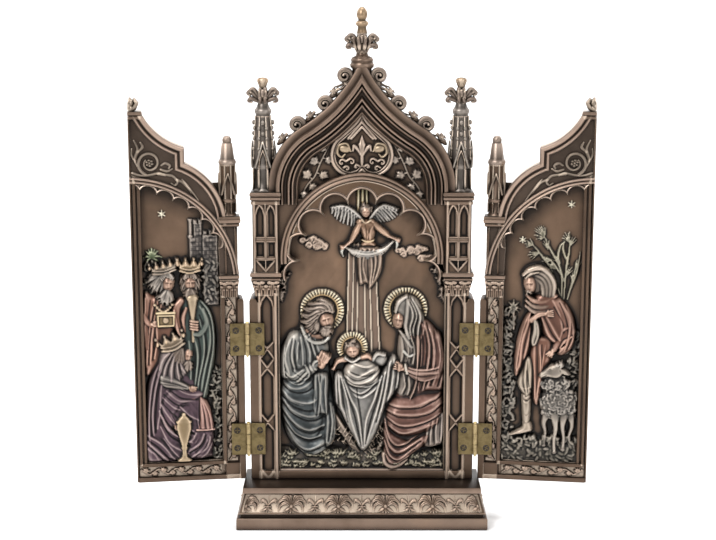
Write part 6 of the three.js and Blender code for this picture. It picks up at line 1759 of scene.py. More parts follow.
def kneeling_king(c):
    cloth(c, [(48.4, 101), (52.4, 92), (56.6, 80), (57.9, 64), (57.9, 36), (24, 36), (19.6, 42), (20, 56),
        (24, 74), (28, 84), (34, 90), (38, 98)], 4.8, 5.0, PLUM,
        [[(48, 97), (53, 84), (55.6, 66), (56, 50), (55, 38)], [(46.4, 96), (50.6, 82), (53, 66), (53.4, 52)],
        [(45, 94), (48.6, 80), (50.4, 66), (51.4, 56)]], 1.3, 1.3, 1.0, start=0.7, power=0.5)
    drape(c, [(48, 72), (51.4, 58), (47, 43), (41, 36.4), (28, 36.4), (24.4, 46), (26, 58), (30, 68),
        (38, 74)], 5.0, 4.0, PLUM, [[(47, 70), (41, 60), (31, 53.6)], [(49, 64), (43, 54), (32, 47)],
        [(49.6, 57), (44, 47), (34, 40.6)], [(41, 72), (34, 64), (28, 60)], [(48, 50), (43, 42), (38, 37)]],
        1.3, 1.1, 1.1, power=0.6)
    cloth(c, [(51, 70), (50, 58), (45, 50), (41, 54), (40, 62), (36, 68), (28, 70), (24, 76), (30, 80),
        (44, 80)], 5.6, 4.0, PLUM, [[(50, 66), (46, 57), (42, 52.6)], [(49, 70), (44.6, 62), (40.6, 57)],
        [(48, 74), (42, 68), (37, 66)], [(46, 78), (38, 72), (30, 71)], [(40, 79), (33, 76), (26, 75)]], 1.1,
        1.1, 0.8, start=0.7)
    cloth(c, [(57.9, 54), (52, 52), (45, 45), (40.6, 38), (44, 36), (57.9, 36)], 5.4, 3.4, PLUM,
        [[(57, 52), (50, 46), (42, 37.4)], [(57, 48), (52, 43), (46, 37)], [(57, 44), (54, 40), (51, 37)]],
        1.1, 1.1, 0.9, start=0.8)
    cloth(c, [(35, 52), (28, 53), (21, 50), (19.8, 43), (22, 37), (30, 36), (34.6, 40)], 5.0, 3.4, PLUM,
        [[(21, 51), (25, 44), (32.6, 38)], [(25, 52), (28, 46), (33.6, 42)],
        [(20.4, 46), (22.4, 41), (27, 37)], [(29.6, 52.6), (31.4, 49), (34, 47)]], 1.1, 1.0, 0.9, start=0.8)
    cloth(c, [(49, 101.6), (51.4, 93), (50, 84), (43, 80), (35, 84), (31, 92), (35, 100), (41, 103)], 5.6,
        4.0, (0.105, 0.080, 0.078), [[(42.6, 101), (47.6, 95), (50.6, 87)],
        [(41.6, 100), (45.6, 91), (47.6, 82.6)], [(40.6, 99), (42.8, 90), (43, 81.4)],
        [(39.4, 98), (39.2, 90), (38.2, 83)], [(38.4, 96), (36.4, 91), (34.4, 87)]], 1.1, 0.85, 0.9,
        start=0.7)
    cloth(c, [(50, 88), (50, 81), (44, 78), (34, 76.4), (31, 80), (36, 84), (43, 88)], 6.2, 3.0,
        (0.085, 0.074, 0.066), [[(49, 86), (42, 84.4), (35, 81)], [(49, 83), (42, 81.4), (34.4, 78.6)],
        [(47, 80.4), (41, 79), (35, 77.4)]], 0.8, 0.8)
    hand(c, 33.6, 79.6, 205, 2.2, 5.6, fan=8)
    c.mass(curve([(34, 78), (29.6, 80), (27, 76), (29, 71), (34, 72)], 4, True), 5.4, 2.4, ROSE, power=0.6)
    cloth(c, [(28, 74.6), (24.4, 73), (20.8, 66), (19.0, 54.4), (24, 53.2), (29.0, 54.2), (28.8, 62)], 5.8,
        2.6, ROSE, [[(25.4, 72), (22, 64), (20.4, 55)], [(26.2, 72), (24, 64), (23, 55)],
        [(27, 72), (26.2, 64), (25.6, 55)], [(27.8, 72), (28, 63), (28, 55)]], 0.9, 0.9)
    c.stroke([(19.2, 54.2), (29, 54.2)], [0.6], [5.6], (0.20, 0.11, 0.09))
    c.ridge([(43, 66), (42, 59), (40.4, 56.6)], 5, [2.2, 1.7, 1.3], [5.0, 5.4, 5.2], (0.06, 0.045, 0.045),
        blend=0.2)
    c.dome(37.0, 98.0, 5.6, 6.4, 3.8, HAIR, base=1.8)
    tresses(c, 38.2, 97.4, 5.8, 7.4, 2.2, 4.0, (36.0, 104.4), -118, 20, 14, 131, wave=0.6)
    face(c, 33.4, 97.8, 3.1, 4.8, 2.4, 3.8, -0.65, 18)
    tresses(c, 33.6, 92.2, 3.4, 4.4, 2.8, 3.4, (33.0, 95.6), 190, 345, 10, 132, wave=0.4)
    jewelled_crown(c, (34.8, 104.4), (47.4, 100.0), 9.0, 4, 3.4, 2.6, (0.120, 0.088, 0.058))
    turned_relief(c, 36.4, [(36.4, 3.9), (37.2, 3.9), (38.0, 2.6), (39.2, 1.3), (43, 1.2), (44.4, 1.8),
        (45.2, 1.4), (49, 2.4), (54, 3.7), (57, 4.1), (58.6, 3.7), (59.0, 4.3), (60.0, 4.3), (60.4, 3.4),
        (62, 2.3), (63, 1.1), (64, 1.2), (64.8, 0.4)], 6.4, (0.190, 0.135, 0.074), 0.72)
    hand(c, 41.4, 57.4, 235, 1.5, 5.6, fan=10)


# ---------------------------------------------------------------- right wing: a shepherd and his sheep

def shepherd():
    """The whole carving of the right wing."""
    c = wing_ground(201)
    star(c, 51, 183.5, 2.0)
    star(c, 24.5, 163, 2.0)
    green = (0.092, 0.086, 0.058)
    for line in ([(47, 128), (46, 146), (40, 158), (36, 166)], [(48, 130), (49, 148), (50.4, 158),
            (50.4, 168)], [(46, 132), (41, 146), (34, 156), (29.4, 161)], [(50, 130), (53, 142), (54.6, 152)],
            [(48, 140), (44.4, 152), (45.4, 160), (48, 162.6)], [(51, 134), (55, 146), (56.6, 157)],
            [(46, 144), (42, 150), (38, 154)], [(50, 150), (47, 158), (47.4, 163)]):
        c.ridge(line, 6, [0.5, 0.75, 0.2], [1.3, 1.5, 0.9], green)
    palm_spray(c, 36.6, 165, [(150, 7, 0), (128, 7.4, 0), (108, 7, 0), (172, 6, 0), (85, 5.6, 0), (196, 5, 0),
                              (215, 4, 0), (139, 7.4, 0), (118, 7.4, 0), (96, 6.4, 0)], green, 0.7, 0.26)
    palm_spray(c, 30.4, 160.4, [(150, 4.6, 0), (175, 4.8, 0), (200, 4.6, 0), (120, 4, 0), (162, 4.8, 0),
        (187, 4.8, 0)], green, 0.7, 0.26)
    for x, z, a in ((49, 143, 60), (52.4, 140, 75), (45.6, 150, 120), (54.4, 147, 70), (43, 147, 140),
            (50.6, 162, 115), (50.4, 160, 60), (38.6, 158, 100), (34, 156, 190), (41, 152, 170)):
        palm_spray(c, x, z, [(a - 14, 6.0, 0.4), (a, 6.8, 0.5), (a + 14, 6.2, 0.8), (a + 28, 5.4, 0.8)],
            green, 1.1, 0.30)
    scrub(c, 14.4, 21.5, 36, 124, 203, 300, 1.2, 1.6, (0.040, 0.037, 0.030))
    scrub(c, 50, 57.8, 60, 112, 204, 170, 1.0, 1.6, (0.043, 0.039, 0.032))
    c.stroke([(20.6, 112), (20.2, 124)], [0.7], [2.0], (0.09, 0.075, 0.06), blend=0.3)
    palm_spray(c, 20.2, 124.6, [(90, 4.4, 0), (135, 4.4, 0.3), (45, 4.4, 0.3), (180, 4.2, 1.2), (0, 4.2, 1.2),
                                (215, 3.6, 1), (-35, 3.6, 1)], (0.095, 0.085, 0.065), 1.6, 0.5)
    bank = np.clip((50 - c.z + 1.4 * noise(c.h.shape, 205, 26)) / 9, 0, 1)
    c.lay((slice(None), slice(None)), np.where(bank > 0, 3.4 * bank ** 0.6, -9), (0.062, 0.052, 0.042))
    scrub(c, 15, 57.6, 36, 50, 206, 330, 3.0, 1.7, (0.052, 0.046, 0.035))
    sheep(c)
    shepherd_figure(c)
    return c


def shepherd_figure(c):
    rust = (0.135, 0.062, 0.042)
    cloth(c, [(32, 108), (42, 108), (42, 96), (38.4, 86), (36.6, 74), (34.6, 68), (31.6, 72), (31, 86),
        (29, 97)], 4.2, 3.0, CLAY, [[(32.4, 104), (32.8, 88), (33.2, 73)],
        [(35.4, 104), (35.2, 88), (34.6, 72)], [(38.6, 104), (37.4, 92), (36.2, 80)]], 1.0, 0.9)
    cloth(c, [(27.4, 97), (31.6, 96), (33.0, 86), (31.8, 76), (28.8, 72), (25.6, 75), (22.8, 81), (24.4, 88)],
        5.4, 3.4, (0.150, 0.120, 0.090), [[(25, 88), (24.4, 80), (27, 76)],
        [(28, 95), (27.4, 84), (28.6, 76)], [(31, 94), (31, 84), (30.4, 77)],
        [(24, 79.6), (27, 77.6), (31, 79.4)]], 0.7, 0.8)
    cloth(c, [(25.6, 75.4), (31.0, 75.4), (31.4, 66), (30.4, 57), (26.8, 57), (25.6, 66)], 4.8, 2.4,
        (0.125, 0.098, 0.074), [[(25.8, 74.6), (28.4, 73), (31, 74.6)], [(25.8, 71), (28.6, 70), (31, 71.6)],
        [(26.4, 60), (28.6, 59), (30.6, 60.4)]], 0.7, 0.6)
    boot = curve([(26.4, 59), (31, 59), (32.4, 53.6), (28.6, 51.6), (20.4, 49.8), (18.8, 51.2), (23, 53.8),
        (26, 56)], 5, True)
    c.mass(boot, 4.8, 2.0, (0.165, 0.130, 0.098), power=0.6)
    cloth(c, [(31, 124), (27, 120.6), (23.4, 112), (21.0, 100), (20.8, 88), (23, 84.6), (26.6, 92),
        (29.4, 99), (31, 108)], 5.2, 3.0, CLAY, [[(28, 120), (24, 108), (22.2, 90)],
        [(29.4, 118), (26.4, 106), (24.4, 91)], [(30.2, 114), (28.6, 104), (27, 96)]], 1.1, 1.0)
    cloth(c, [(31, 131), (36, 134.6), (44, 132.6), (50, 127.4), (54.4, 119), (55.4, 110), (53.6, 102),
        (48, 97.6), (44.6, 99), (46, 103.6), (41, 104.6), (36.6, 110), (34.4, 118), (31.6, 122)], 5.2, 4.5,
        rust, [[(36, 120), (40, 110), (45, 105)], [(38.6, 121), (43.4, 112), (46.6, 107)],
        [(46, 130), (50.6, 120), (51.4, 110), (49, 101)], [(49.6, 127), (53, 118), (53.6, 109), (51.4, 102)],
        [(42, 130), (46.4, 122), (47.6, 114), (46, 107)]], 1.2, 1.2, 0.9, start=0.5)
    c.ridge([(52.6, 112), (48.4, 110), (45.4, 105), (43.4, 101.4)], 6, [2.6, 3.0, 2.4, 1.8],
        [4.8, 5.6, 5.4, 4.8], rust, blend=0.3)
    for line in ([(52, 114.6), (48.6, 113.6), (46, 110)], [(53, 109.4), (49, 106.6), (46.6, 102.6)],
                 [(50, 104.6), (47.6, 102), (46.4, 100)]):
        c.ridge(line, 5, [0.6, 0.9, 0.5], [5.4, 6.1, 5.4], rust, blend=0.15)
    hand(c, 43.0, 101.4, 236, 2.2, 4.8, fan=12)
    cloth(c, [(30.4, 119), (33, 120), (35.4, 116), (35.6, 109), (34, 103.6), (30.8, 102.6), (29.2, 107),
        (30.6, 113)], 5.8, 2.2, (0.150, 0.125, 0.100), [[(32, 118), (32.4, 111), (31, 105)],
        [(33.6, 117), (34.2, 111), (33, 105)]], 0.8, 0.7)
    c.ridge([(30.4, 118), (34.4, 121.4), (38.4, 122.2)], 5, [1.6, 1.5, 1.3], [5.6, 6.0, 6.0], SKIN, blend=0.2)
    hand(c, 37.6, 122.0, 8, 2.3, 5.8, fan=9)
    for k, (z, tint) in enumerate(((132.6, (0.15, 0.075, 0.05)), (129.6, (0.14, 0.09, 0.066)),
            (126.6, (0.13, 0.085, 0.063)))):
        c.ridge([(27.6 - 0.2 * k, z - 0.6), (32, z - 3.6), (38, z - 3.4), (43.6, z - 0.4)], 6,
            [1.0, 1.5, 1.6, 1.0], [4.6, 5.5, 5.5, 4.6], tint, blend=0.25)
    c.dome(33.4, 140.2, 7.6, 8.0, 4.0, (0.115, 0.088, 0.070), base=0.6)
    for k, fold in enumerate((0.0, 2.0, 4.0, 6.0)):
        c.ridge([(31.4, 148.0 - fold), (38.2 - 0.5 * fold, 145.8 - fold), (42.4 - fold, 139.0 - 0.4 * fold),
            (41.6 - 0.8 * fold, 129.4)], 6, [1.0, 1.3, 1.5, 1.1], [4.4, 5.4 - 0.1 * k, 5.2, 4.6],
            (0.150, 0.118, 0.094), blend=0.2)
    face(c, 29.4, 138.8, 3.8, 5.6, 1.8, 4.2, -0.5, 6)
    c.ridge([(25.4, 143.6), (28.6, 146.6), (34, 148.0), (38.8, 146.4)], 6, [1.0, 1.5, 1.5, 0.9],
        [5.0, 5.9, 5.8, 4.6], (0.19, 0.148, 0.115), blend=0.2)
    c.ridge([(26.4, 142), (29.6, 144.6), (33.6, 145.6)], 6, [0.6, 0.9, 0.6], [5.2, 5.8, 5.4],
        (0.16, 0.125, 0.098), blend=0.15)
    curls(c, 28.6, 133.4, 1.8, 1.6, 3.0, 2.6, 212, 10, 0.6)


def sheep(c):
    wool = (0.125, 0.112, 0.098)
    dark = (0.085, 0.072, 0.060)
    for line, level, tint in (([(40.5, 64), (38.6, 58), (39.6, 52.6), (38.8, 45)], 3.6, dark),
            ([(53.4, 64), (54.6, 57), (53.0, 51), (53.8, 45)], 3.6, dark),
            ([(44.6, 63), (45.4, 55), (44.6, 49), (44.9, 41.4)], 4.8, (0.125, 0.108, 0.090)),
            ([(49.6, 63), (49.2, 56), (50.0, 50), (49.6, 43)], 4.4, (0.105, 0.090, 0.075))):
        c.ridge(line, 5, [2.6, 1.5, 1.2, 0.9, 1.2], [level], tint, blend=0.15)
        c.dome(line[-1][0], line[-1][1], 1.3, 0.9, 1.0, (0.05, 0.04, 0.034), base=level - 0.6)
    c.dome(46.8, 70.4, 11.2, 10.8, 4.4, wool, base=0.6, power=0.45)
    c.dome(44.4, 80.4, 8.6, 6.8, 4.0, wool, base=0.6, power=0.45)
    curls(c, 46.8, 70.2, 10.8, 10.4, 1.0, 4.0, 221, 120, 1.7, wool)
    curls(c, 44.6, 80.6, 8.4, 6.4, 1.2, 3.8, 222, 56, 1.5, wool)
    head = (0.130, 0.110, 0.090)
    snout = curve([(47.6, 92.8), (43.4, 93.8), (39.6, 92.2), (36.6, 89.6), (34.6, 87.6), (34.8, 85.4),
        (36.8, 84.2), (40.4, 84.6), (44.6, 84.2), (48.2, 86.4)], 5, True)
    c.mass(snout, 6.4, 2.8, head, power=0.6)
    c.dome(44.6, 89.2, 4.0, 3.8, 2.0, head, -20, base=5.0)
    c.ridge([(35.0, 86.0), (37.2, 85.6), (39.4, 86.6)], 5, [0.35], [-0.9], add=True, sharp=True)
    c.stroke([(35.2, 87.6), (35.8, 87.0)], [0.4], [-0.9], add=True)
    c.ridge([(41.8, 93.0), (39.2, 90.6), (36.6, 88.4)], 5, [0.7, 0.6, 0.3], [0.5, 0.4, 0.2], add=True)
    c.dome(41.2, 90.0, 1.0, 0.75, 0.7, (0.045, 0.036, 0.030), 25, base=6.1)
    c.ridge([(39.8, 90.2), (41.2, 91.4), (42.8, 90.8)], 4, [0.4], [7.2], head)
    ear = curve([(46.4, 91.4), (50.4, 90.4), (53.2, 87.0), (50.6, 86.6), (47.0, 88.2)], 5, True)
    c.mass(ear, 7.0, 1.6, head, power=0.6)
    c.ridge([(47.2, 90.0), (50.0, 88.8), (52.2, 87.2)], 5, [0.5, 0.8, 0.2], [-0.6, -1.0, -0.2], add=True)
    curls(c, 46.0, 93.2, 3.0, 1.7, 4.0, 2.4, 223, 10, 1.0, wool)


# ---------------------------------------------------------------- carving between the arch and the gable

def spandrel():
    """A drop-shaped medallion with a lily, and leafy sprays to either side."""
    c = Carving(-35.2, 35.2, 0, 36, 0.3, BRONZE)
    below, above = arch_line(-2.2), gable_line(-11.6)
    order_low, order_top = np.argsort(below[:, 0]), np.argsort(above[:, 0])
    low = np.interp(c.x, below[order_low, 0], below[order_low, 1])
    top = np.interp(c.x, above[order_top, 0], above[order_top, 1])
    c.z = low + c.z / 36 * np.maximum(top - low, 1.0)
    c.whole = True
    c.tint *= 0.95
    leaf = (0.150, 0.108, 0.064)
    half = curve([(0, 202.2), (2.6, 199.8), (7.4, 198.9), (12.2, 201.0), (15.8, 205.6), (16.6, 211.4),
        (14.6, 217.2), (9.6, 222), (4.4, 226.8), (1.4, 230.6), (0, 234.4)], 5)
    rim = np.vstack([half, half[::-1][1:-1] * (-1, 1)])
    c.mass(rim, 0.9, 1.2, BRONZE, power=0.7)
    inner = inset_lines(rim, [1.9])[0]
    where, depth = c.inside(inner)
    c.h[where] -= 0.7 * np.clip(depth / 0.6, 0, 1)
    for line, width, level in ((rim, 0.95, 2.2), (inset_lines(rim, [1.6])[0], 0.5, 1.5)):
        c.stroke(np.vstack([line, line[:1]]), [width], [level], BRONZE_LIGHT)
    for lift in (0, 2.6):
        c.stroke([(-7.6 + lift * 0.6, 219.4), (0, 228.6 - lift), (7.6 - lift * 0.6, 219.4)], [0.75], [1.9],
            BRONZE_LIGHT)
    c.stroke([(0, 204.4), (0, 211), (0, 216), (0, 221)], [0.8, 1.1, 2.0, 0.3], [1.6, 2.0, 2.5, 1.5],
        BRONZE_LIGHT)
    c.stroke([(0, 206), (0, 219)], [0.3], [-0.5], add=True, sharp=True)
    for side in (-1, 1):
        c.ridge([(0, 209.4), (side * 2.0, 213), (side * 4.4, 215.4), (side * 5.0, 212.6)], 5, [0.7, 1.0, 0.6],
            [1.6, 2.1, 1.8], BRONZE_LIGHT)
        c.dome(side * 9.6, 213.8, 3.6, 2.4, 2.0, leaf, side * 12, base=0.5)
        c.ridge([(side * 6.2, 212.4), (side * 8.4, 216.6), (side * 12.6, 215.6), (side * 13.6, 211.4),
            (side * 11.2, 209.2), (side * 9.4, 210.8)], 5, [0.5, 0.7, 0.7, 0.5], [1.8, 2.1, 2.0, 1.7], leaf)
        for x, z, r, turn in ((6.0, 206.4, 2.3, 1), (11.0, 206.0, 2.2, -1), (8.4, 202.6, 1.8, 1),
                (3.0, 203.6, 1.5, -1)):
            path = [(side * (x + turn * r * (1 - 0.14 * k) * math.cos(0.95 * k + 0.4)),
                     z + r * (1 - 0.14 * k) * math.sin(0.95 * k + 0.4)) for k in range(6)]
            c.ridge(path, 3, [0.65, 0.55, 0.4], [2.0, 1.9, 1.6], BRONZE_LIGHT)
            c.dome(side * x, z, 0.7, 0.7, 1.9, BRONZE_LIGHT)
        spray(c, side)
    c.patina_and_painted_light(0.8)
    return relief_block(Shell(), c.x, c.z, -3.9 - np.clip(c.h, -0.5, 2.7), c.tint, 2.0)


def ivy(c, x, z, size, lean, side, tint):
    """A leaf with three pointed lobes and two small ones at its foot."""
    for turn, reach, half in ((0, 4.0, 1.35), (-58, 3.2, 1.15), (58, 3.2, 1.15), (122, 2.0, 0.85),
            (-122, 2.0, 0.85)):
        a = math.radians(lean + turn)
        tip = np.array([x + side * reach * size * math.cos(a), z + reach * size * math.sin(a)])
        c.stroke([(x, z), (np.array([x, z]) + tip) / 2, tip], [half * 0.9 * size, half * size, 0.15],
            [2.3, 2.0, 1.4], tint, blend=0.05)


def spray(c, side):
    """A vine with lobed leaves that fills one corner beside the medallion."""
    tint = (0.112, 0.090, 0.074)
    stem = curve([(side * 34, 186), (side * 30.6, 193), (side * 26.2, 198.4), (side * 23.6, 204.6),
                  (side * 20.6, 211), (side * 17.0, 218)], 6)
    c.stroke(stem, [0.55, 0.45], [1.0, 0.9], (0.105, 0.082, 0.064))
    for x, z, size, lean in ((31.4, 188.6, 0.95, -60), (27.4, 193.0, 0.95, -110), (29.8, 199.0, 1.1, 35),
                             (22.0, 199.4, 1.0, -150), (26.0, 206.4, 1.05, 50), (19.0, 207.6, 0.85, -170),
                             (21.4, 213.6, 0.95, 65), (15.6, 219.6, 0.7, 110)):
        near = stem[np.argmin(np.hypot(stem[:, 0] - side * x, stem[:, 1] - z))]
        c.stroke([near, (side * x, z)], [0.4], [1.0], tint)
        ivy(c, side * x, z, size, lean, side, tint)


# ---------------------------------------------------------------- materials

def new_material(name):
    """A new material, its node tree and its shader."""
    material = bpy.data.materials.new(name)
    material.use_nodes = True
    tree = material.node_tree
    shader = next(n for n in tree.nodes if n.type == "BSDF_PRINCIPLED")
    return material, tree, shader


def add_node(tree, kind, **values):
    """A new node; in_NAME or in_NUMBER sets an input, anything else a property."""
    made = tree.nodes.new(kind)
    for key, value in values.items():
        if key.startswith("in_"):
            name = key[3:]
            made.inputs[int(name) if name.isdigit() else name].default_value = value
        else:
            setattr(made, key, value)
    return made


def ramp(tree, source, stops):
    """The colour that source picks from stops of (place, colour)."""
    made = tree.nodes.new("ShaderNodeValToRGB")
    cells = made.color_ramp.elements
    while len(cells) < len(stops):
        cells.new(0.5)
    for cell, (place, value) in zip(cells, stops):
        cell.position = place
        cell.color = (*value, 1)
    tree.links.new(source, made.inputs[0])
    return made.outputs[0]


def mix(tree, kind, factor, a, b):
    """Two colours blended; factor, a and b are values or sockets."""
    made = tree.nodes.new("ShaderNodeMix")
    made.data_type = "RGBA"
    made.blend_type = kind
    for socket, value in ((made.inputs[0], factor), (made.inputs[6], a), (made.inputs[7], b)):
        if isinstance(value, bpy.types.NodeSocket):
            tree.links.new(value, socket)
        else:
            socket.default_value = value
    return made.outputs[2]


def cast_bronze(name, metal, rough):
    """Tinted bronze: antiqued, painted-shade hollows; buffed edges with painted highlight; fine cast grain."""
    material, tree, shader = new_material(name)
    link = tree.links.new
    tint = add_node(tree, "ShaderNodeAttribute", attribute_name="tint")
    place = add_node(tree, "ShaderNodeTexCoord")
    broad = add_node(tree, "ShaderNodeTexNoise", in_Scale=38.0, in_Detail=5.0, in_Roughness=0.6)
    fine = add_node(tree, "ShaderNodeTexNoise", in_Scale=900.0, in_Detail=3.0, in_Roughness=0.6)
    for made in (broad, fine):
        link(place.outputs["Object"], made.inputs["Vector"])
    uneven = ramp(tree, broad.outputs["Fac"], [(0.30, (0.72, 0.70, 0.68)), (0.55, (1, 1, 1)),
        (0.78, (1.22, 1.16, 1.08))])
    colour = mix(tree, "MULTIPLY", 1.0, tint.outputs["Color"], uneven)
    # edge finds convex edges, lightened as buffed wear plus a painted highlight
    edge = add_node(tree, "ShaderNodeAmbientOcclusion", samples=6, inside=True, only_local=True,
        in_Distance=0.0007)
    worn_and_highlit = ramp(tree, edge.outputs["AO"], [(0.22, (1, 1, 1)), (0.62, (0, 0, 0))])
    pale = mix(tree, "MIX", 0.55, colour, (0.74, 0.60, 0.47, 1))
    colour = mix(tree, "MIX", worn_and_highlit, colour, pale)
    # shade darkens hollows by occlusion: antiquing plus painted shade
    shade = add_node(tree, "ShaderNodeAmbientOcclusion", samples=6, only_local=False, in_Distance=0.0045)
    painted_shade = ramp(tree, shade.outputs["AO"], [(0.32, (0.05, 0.037, 0.03)), (0.90, (1, 1, 1))])
    colour = mix(tree, "MULTIPLY", 0.95, colour, painted_shade)
    link(colour, shader.inputs["Base Color"])
    dull = add_node(tree, "ShaderNodeMapRange", in_1=0.3, in_2=0.75, in_3=rough[0], in_4=rough[1])
    link(broad.outputs["Fac"], dull.inputs[0])
    link(dull.outputs[0], shader.inputs["Roughness"])
    shader.inputs["Metallic"].default_value = metal
    bump = add_node(tree, "ShaderNodeBump", in_Strength=0.10, in_Distance=0.0003)
    link(fine.outputs["Fac"], bump.inputs["Height"])
    link(bump.outputs["Normal"], shader.inputs["Normal"])
    return material


def hardware(name, metal, rough, grain):
    """Plain metal fittings with fine scratches, duller tarnish spots and painted shade in their corners."""
    material, tree, shader = new_material(name)
    link = tree.links.new
    tint = add_node(tree, "ShaderNodeAttribute", attribute_name="tint")
    place = add_node(tree, "ShaderNodeTexCoord")
    spots = add_node(tree, "ShaderNodeTexNoise", in_Scale=260.0, in_Detail=5.0, in_Roughness=0.65)
    lines = add_node(tree, "ShaderNodeTexNoise", in_Scale=700.0, in_Detail=2.0)
    stretch = add_node(tree, "ShaderNodeMapping")
    stretch.inputs["Scale"].default_value = (1.0, 1.0, 0.06)
    link(place.outputs["Object"], spots.inputs["Vector"])
    link(place.outputs["Object"], stretch.inputs["Vector"])
    link(stretch.outputs["Vector"], lines.inputs["Vector"])
    tarnish = ramp(tree, spots.outputs["Fac"], [(0.32, (0.5, 0.47, 0.40)), (0.58, (1, 1, 1)),
        (0.8, (1.25, 1.2, 1.1))])
    colour = mix(tree, "MULTIPLY", 1.0, tint.outputs["Color"], tarnish)
    # painted shade: occlusion darkens corners and hollows
    shade = add_node(tree, "ShaderNodeAmbientOcclusion", samples=4, in_Distance=0.002)
    painted_shade = ramp(tree, shade.outputs["AO"], [(0.2, (0.3, 0.25, 0.2)), (0.8, (1, 1, 1))])
    link(mix(tree, "MULTIPLY", 0.7, colour, painted_shade), shader.inputs["Base Color"])
    dull = add_node(tree, "ShaderNodeMapRange", in_1=0.3, in_2=0.75, in_3=rough, in_4=rough + 0.2)
    link(spots.outputs["Fac"], dull.inputs[0])
    link(dull.outputs[0], shader.inputs["Roughness"])
    shader.inputs["Metallic"].default_value = metal
    bump = add_node(tree, "ShaderNodeBump", in_Strength=0.12 * grain, in_Distance=0.0002)
    link(lines.outputs["Fac"], bump.inputs["Height"])
    link(bump.outputs["Normal"], shader.inputs["Normal"])
    return material


# ---------------------------------------------------------------- putting the pieces in place

bronze = cast_bronze("bronze", 0.75, (0.34, 0.52))
relief_bronze = cast_bronze("relief_bronze", 0.62, (0.36, 0.55))
brass = hardware("brass", 0.85, 0.33, 1.0)
steel = hardware("steel", 0.8, 0.42, 0.6)

middle_place = Matrix.Translation(ORIGIN) @ Matrix.Scale(MM, 4)


def wing_place(side):
    """Turns a wing's own frame, drawn with s along +x, into place; the left wing is mirrored."""
    axis = HINGES["left_wing" if side < 0 else "right_wing"].copy()
    axis.z = ORIGIN.z
    turn = Matrix.Rotation(math.radians(-side * REST_ANGLE), 4, "Z")
    flip = Matrix.Diagonal((side, 1, 1, 1))
    return Matrix.Translation(axis) @ turn @ Matrix.Scale(MM, 4) @ flip


def build_middle():
    """The plinth and the middle panel without its reliefs."""
    plinth = plinth_shell().piece("plinth_body", middle_place, bronze, "middle")
    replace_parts(plinth, "plinth")
    walls = Shell()
    wall = PANEL_HALF - 0.3
    prism(walls, [(-wall, 24.2), (wall, 24.2), (wall, 189.0), (-wall, 189.0)], 0.4, BACK, 0.3)
    prism(walls, [(-PANEL_HALF, 24.0), (PANEL_HALF, 24.0), (PANEL_HALF, SILL), (-PANEL_HALF, SILL)], FRONT,
        BACK - 2, 0.5)
    right = Shell().merge(upright_parts()).merge(pillar_faces())
    prism(right, [(46.6, 28), (49.5, 28), (49.5, 143), (46.6, 143)], FRONT + 1.2, 2.0, 0.5)
    walls.merge(right.both_sides())
    frame_piece = walls.piece("panel_frame", middle_place, bronze, "middle")
    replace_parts(frame_piece, "centre_panel")
    gable_shell().piece("panel_gable", middle_place, bronze, "middle")
    arch_shell().piece("panel_arch", middle_place, bronze, "middle")
    trim = Shell().merge(pinnacle_shell()).merge(gable_trim()).both_sides()
    trim.merge(finial_shell())
    trim.piece("panel_crests", middle_place, bronze, "middle", smooth=60)


def build_hardware(side):
    """Both hinges of one wing, with their pins and screws."""
    label = "left" if side < 0 else "right"
    place = wing_place(side)
    axis = HINGES[label + "_wing"]
    for level, z in zip(("top", "bottom"), HINGE_Z):
        stem = f"hinge_{label}_{level}"
        up = Matrix.Translation((0, 0, z))
        centre = Vector((axis.x, axis.y, ORIGIN.z))
        fixed = Matrix.Translation(centre) @ Matrix.Scale(MM, 4) @ Matrix.Diagonal((-side, 1, 1, 1)) @ up
        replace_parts(hinge_leaf_shell(2).piece(stem + "_fixed", fixed, brass, "middle", "brass"), stem
            + "_panel_leaf")
        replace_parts(hinge_leaf_shell(1).piece(stem + "_moving", place @ up, brass, label + "_wing", "brass"),
                    stem + "_wing_leaf")
        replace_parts(pin_shell().piece(stem + "_rod", Matrix.Translation(centre) @ Matrix.Scale(MM, 4) @ up,
            brass, "middle", "brass"), stem + "_pin")
        for i, (rank, dz) in enumerate((("upper", SCREW_UP), ("lower", -SCREW_UP))):
            spot = Matrix.Translation((SCREW_OUT, 0, dz))
            turn = (17 * i + 31 * (level == "top") + 11 * (side > 0)) % 90
            name = f"screw_{label}_{level}"
            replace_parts(screw_shell(turn).piece(f"{name}_fixed_{rank}", fixed @ spot, steel, "middle",
                "steel"), f"{name}_panel_{rank}")
            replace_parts(screw_shell(90 - turn).piece(f"{name}_moving_{rank}", place @ up @ spot, steel,
                                                     label + "_wing", "steel"), f"{name}_wing_{rank}")


build_middle()
for side in (-1, 1):
    label = "left" if side < 0 else "right"
    wing_piece = wing_shell().piece(f"wing_{label}_frame", wing_place(side), bronze, f"{label}_wing")
    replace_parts(wing_piece, f"wing_{label}")
    build_hardware(side)


def relief_piece(c, name, place, wall, body, back, highest):
    """Lays a finished carving on its wall; nothing stands higher than closing leaves room for."""
    c.h = c.blurred(c.h, 0.17)
    knee = 1.5
    soft = highest - knee
    c.h = np.where(c.h > soft, highest - knee * np.exp(np.minimum((soft - c.h) / knee, 0)), c.h)
    c.patina_and_painted_light()
    shell = relief_block(Shell(), c.x, c.z, wall - c.h, np.clip(c.tint, 0, 0.95), back)
    shell.piece(name, place, relief_bronze, body, smooth=180)


relief_piece(nativity(), "panel_relief", middle_place, WALL, "middle", 1.0, PANEL_RELIEF_ROOM)
relief_piece(kings(), "kings_relief", wing_place(-1), WING_WALL, "left_wing", 9.0, WING_RELIEF_ROOM)
relief_piece(shepherd(), "shepherd_relief", wing_place(1), WING_WALL, "right_wing", 9.0, WING_RELIEF_ROOM)
spandrel().piece("panel_spandrel", middle_place, bronze, "middle", smooth=180)


# ---------------------------------------------------------------- floor, light and camera

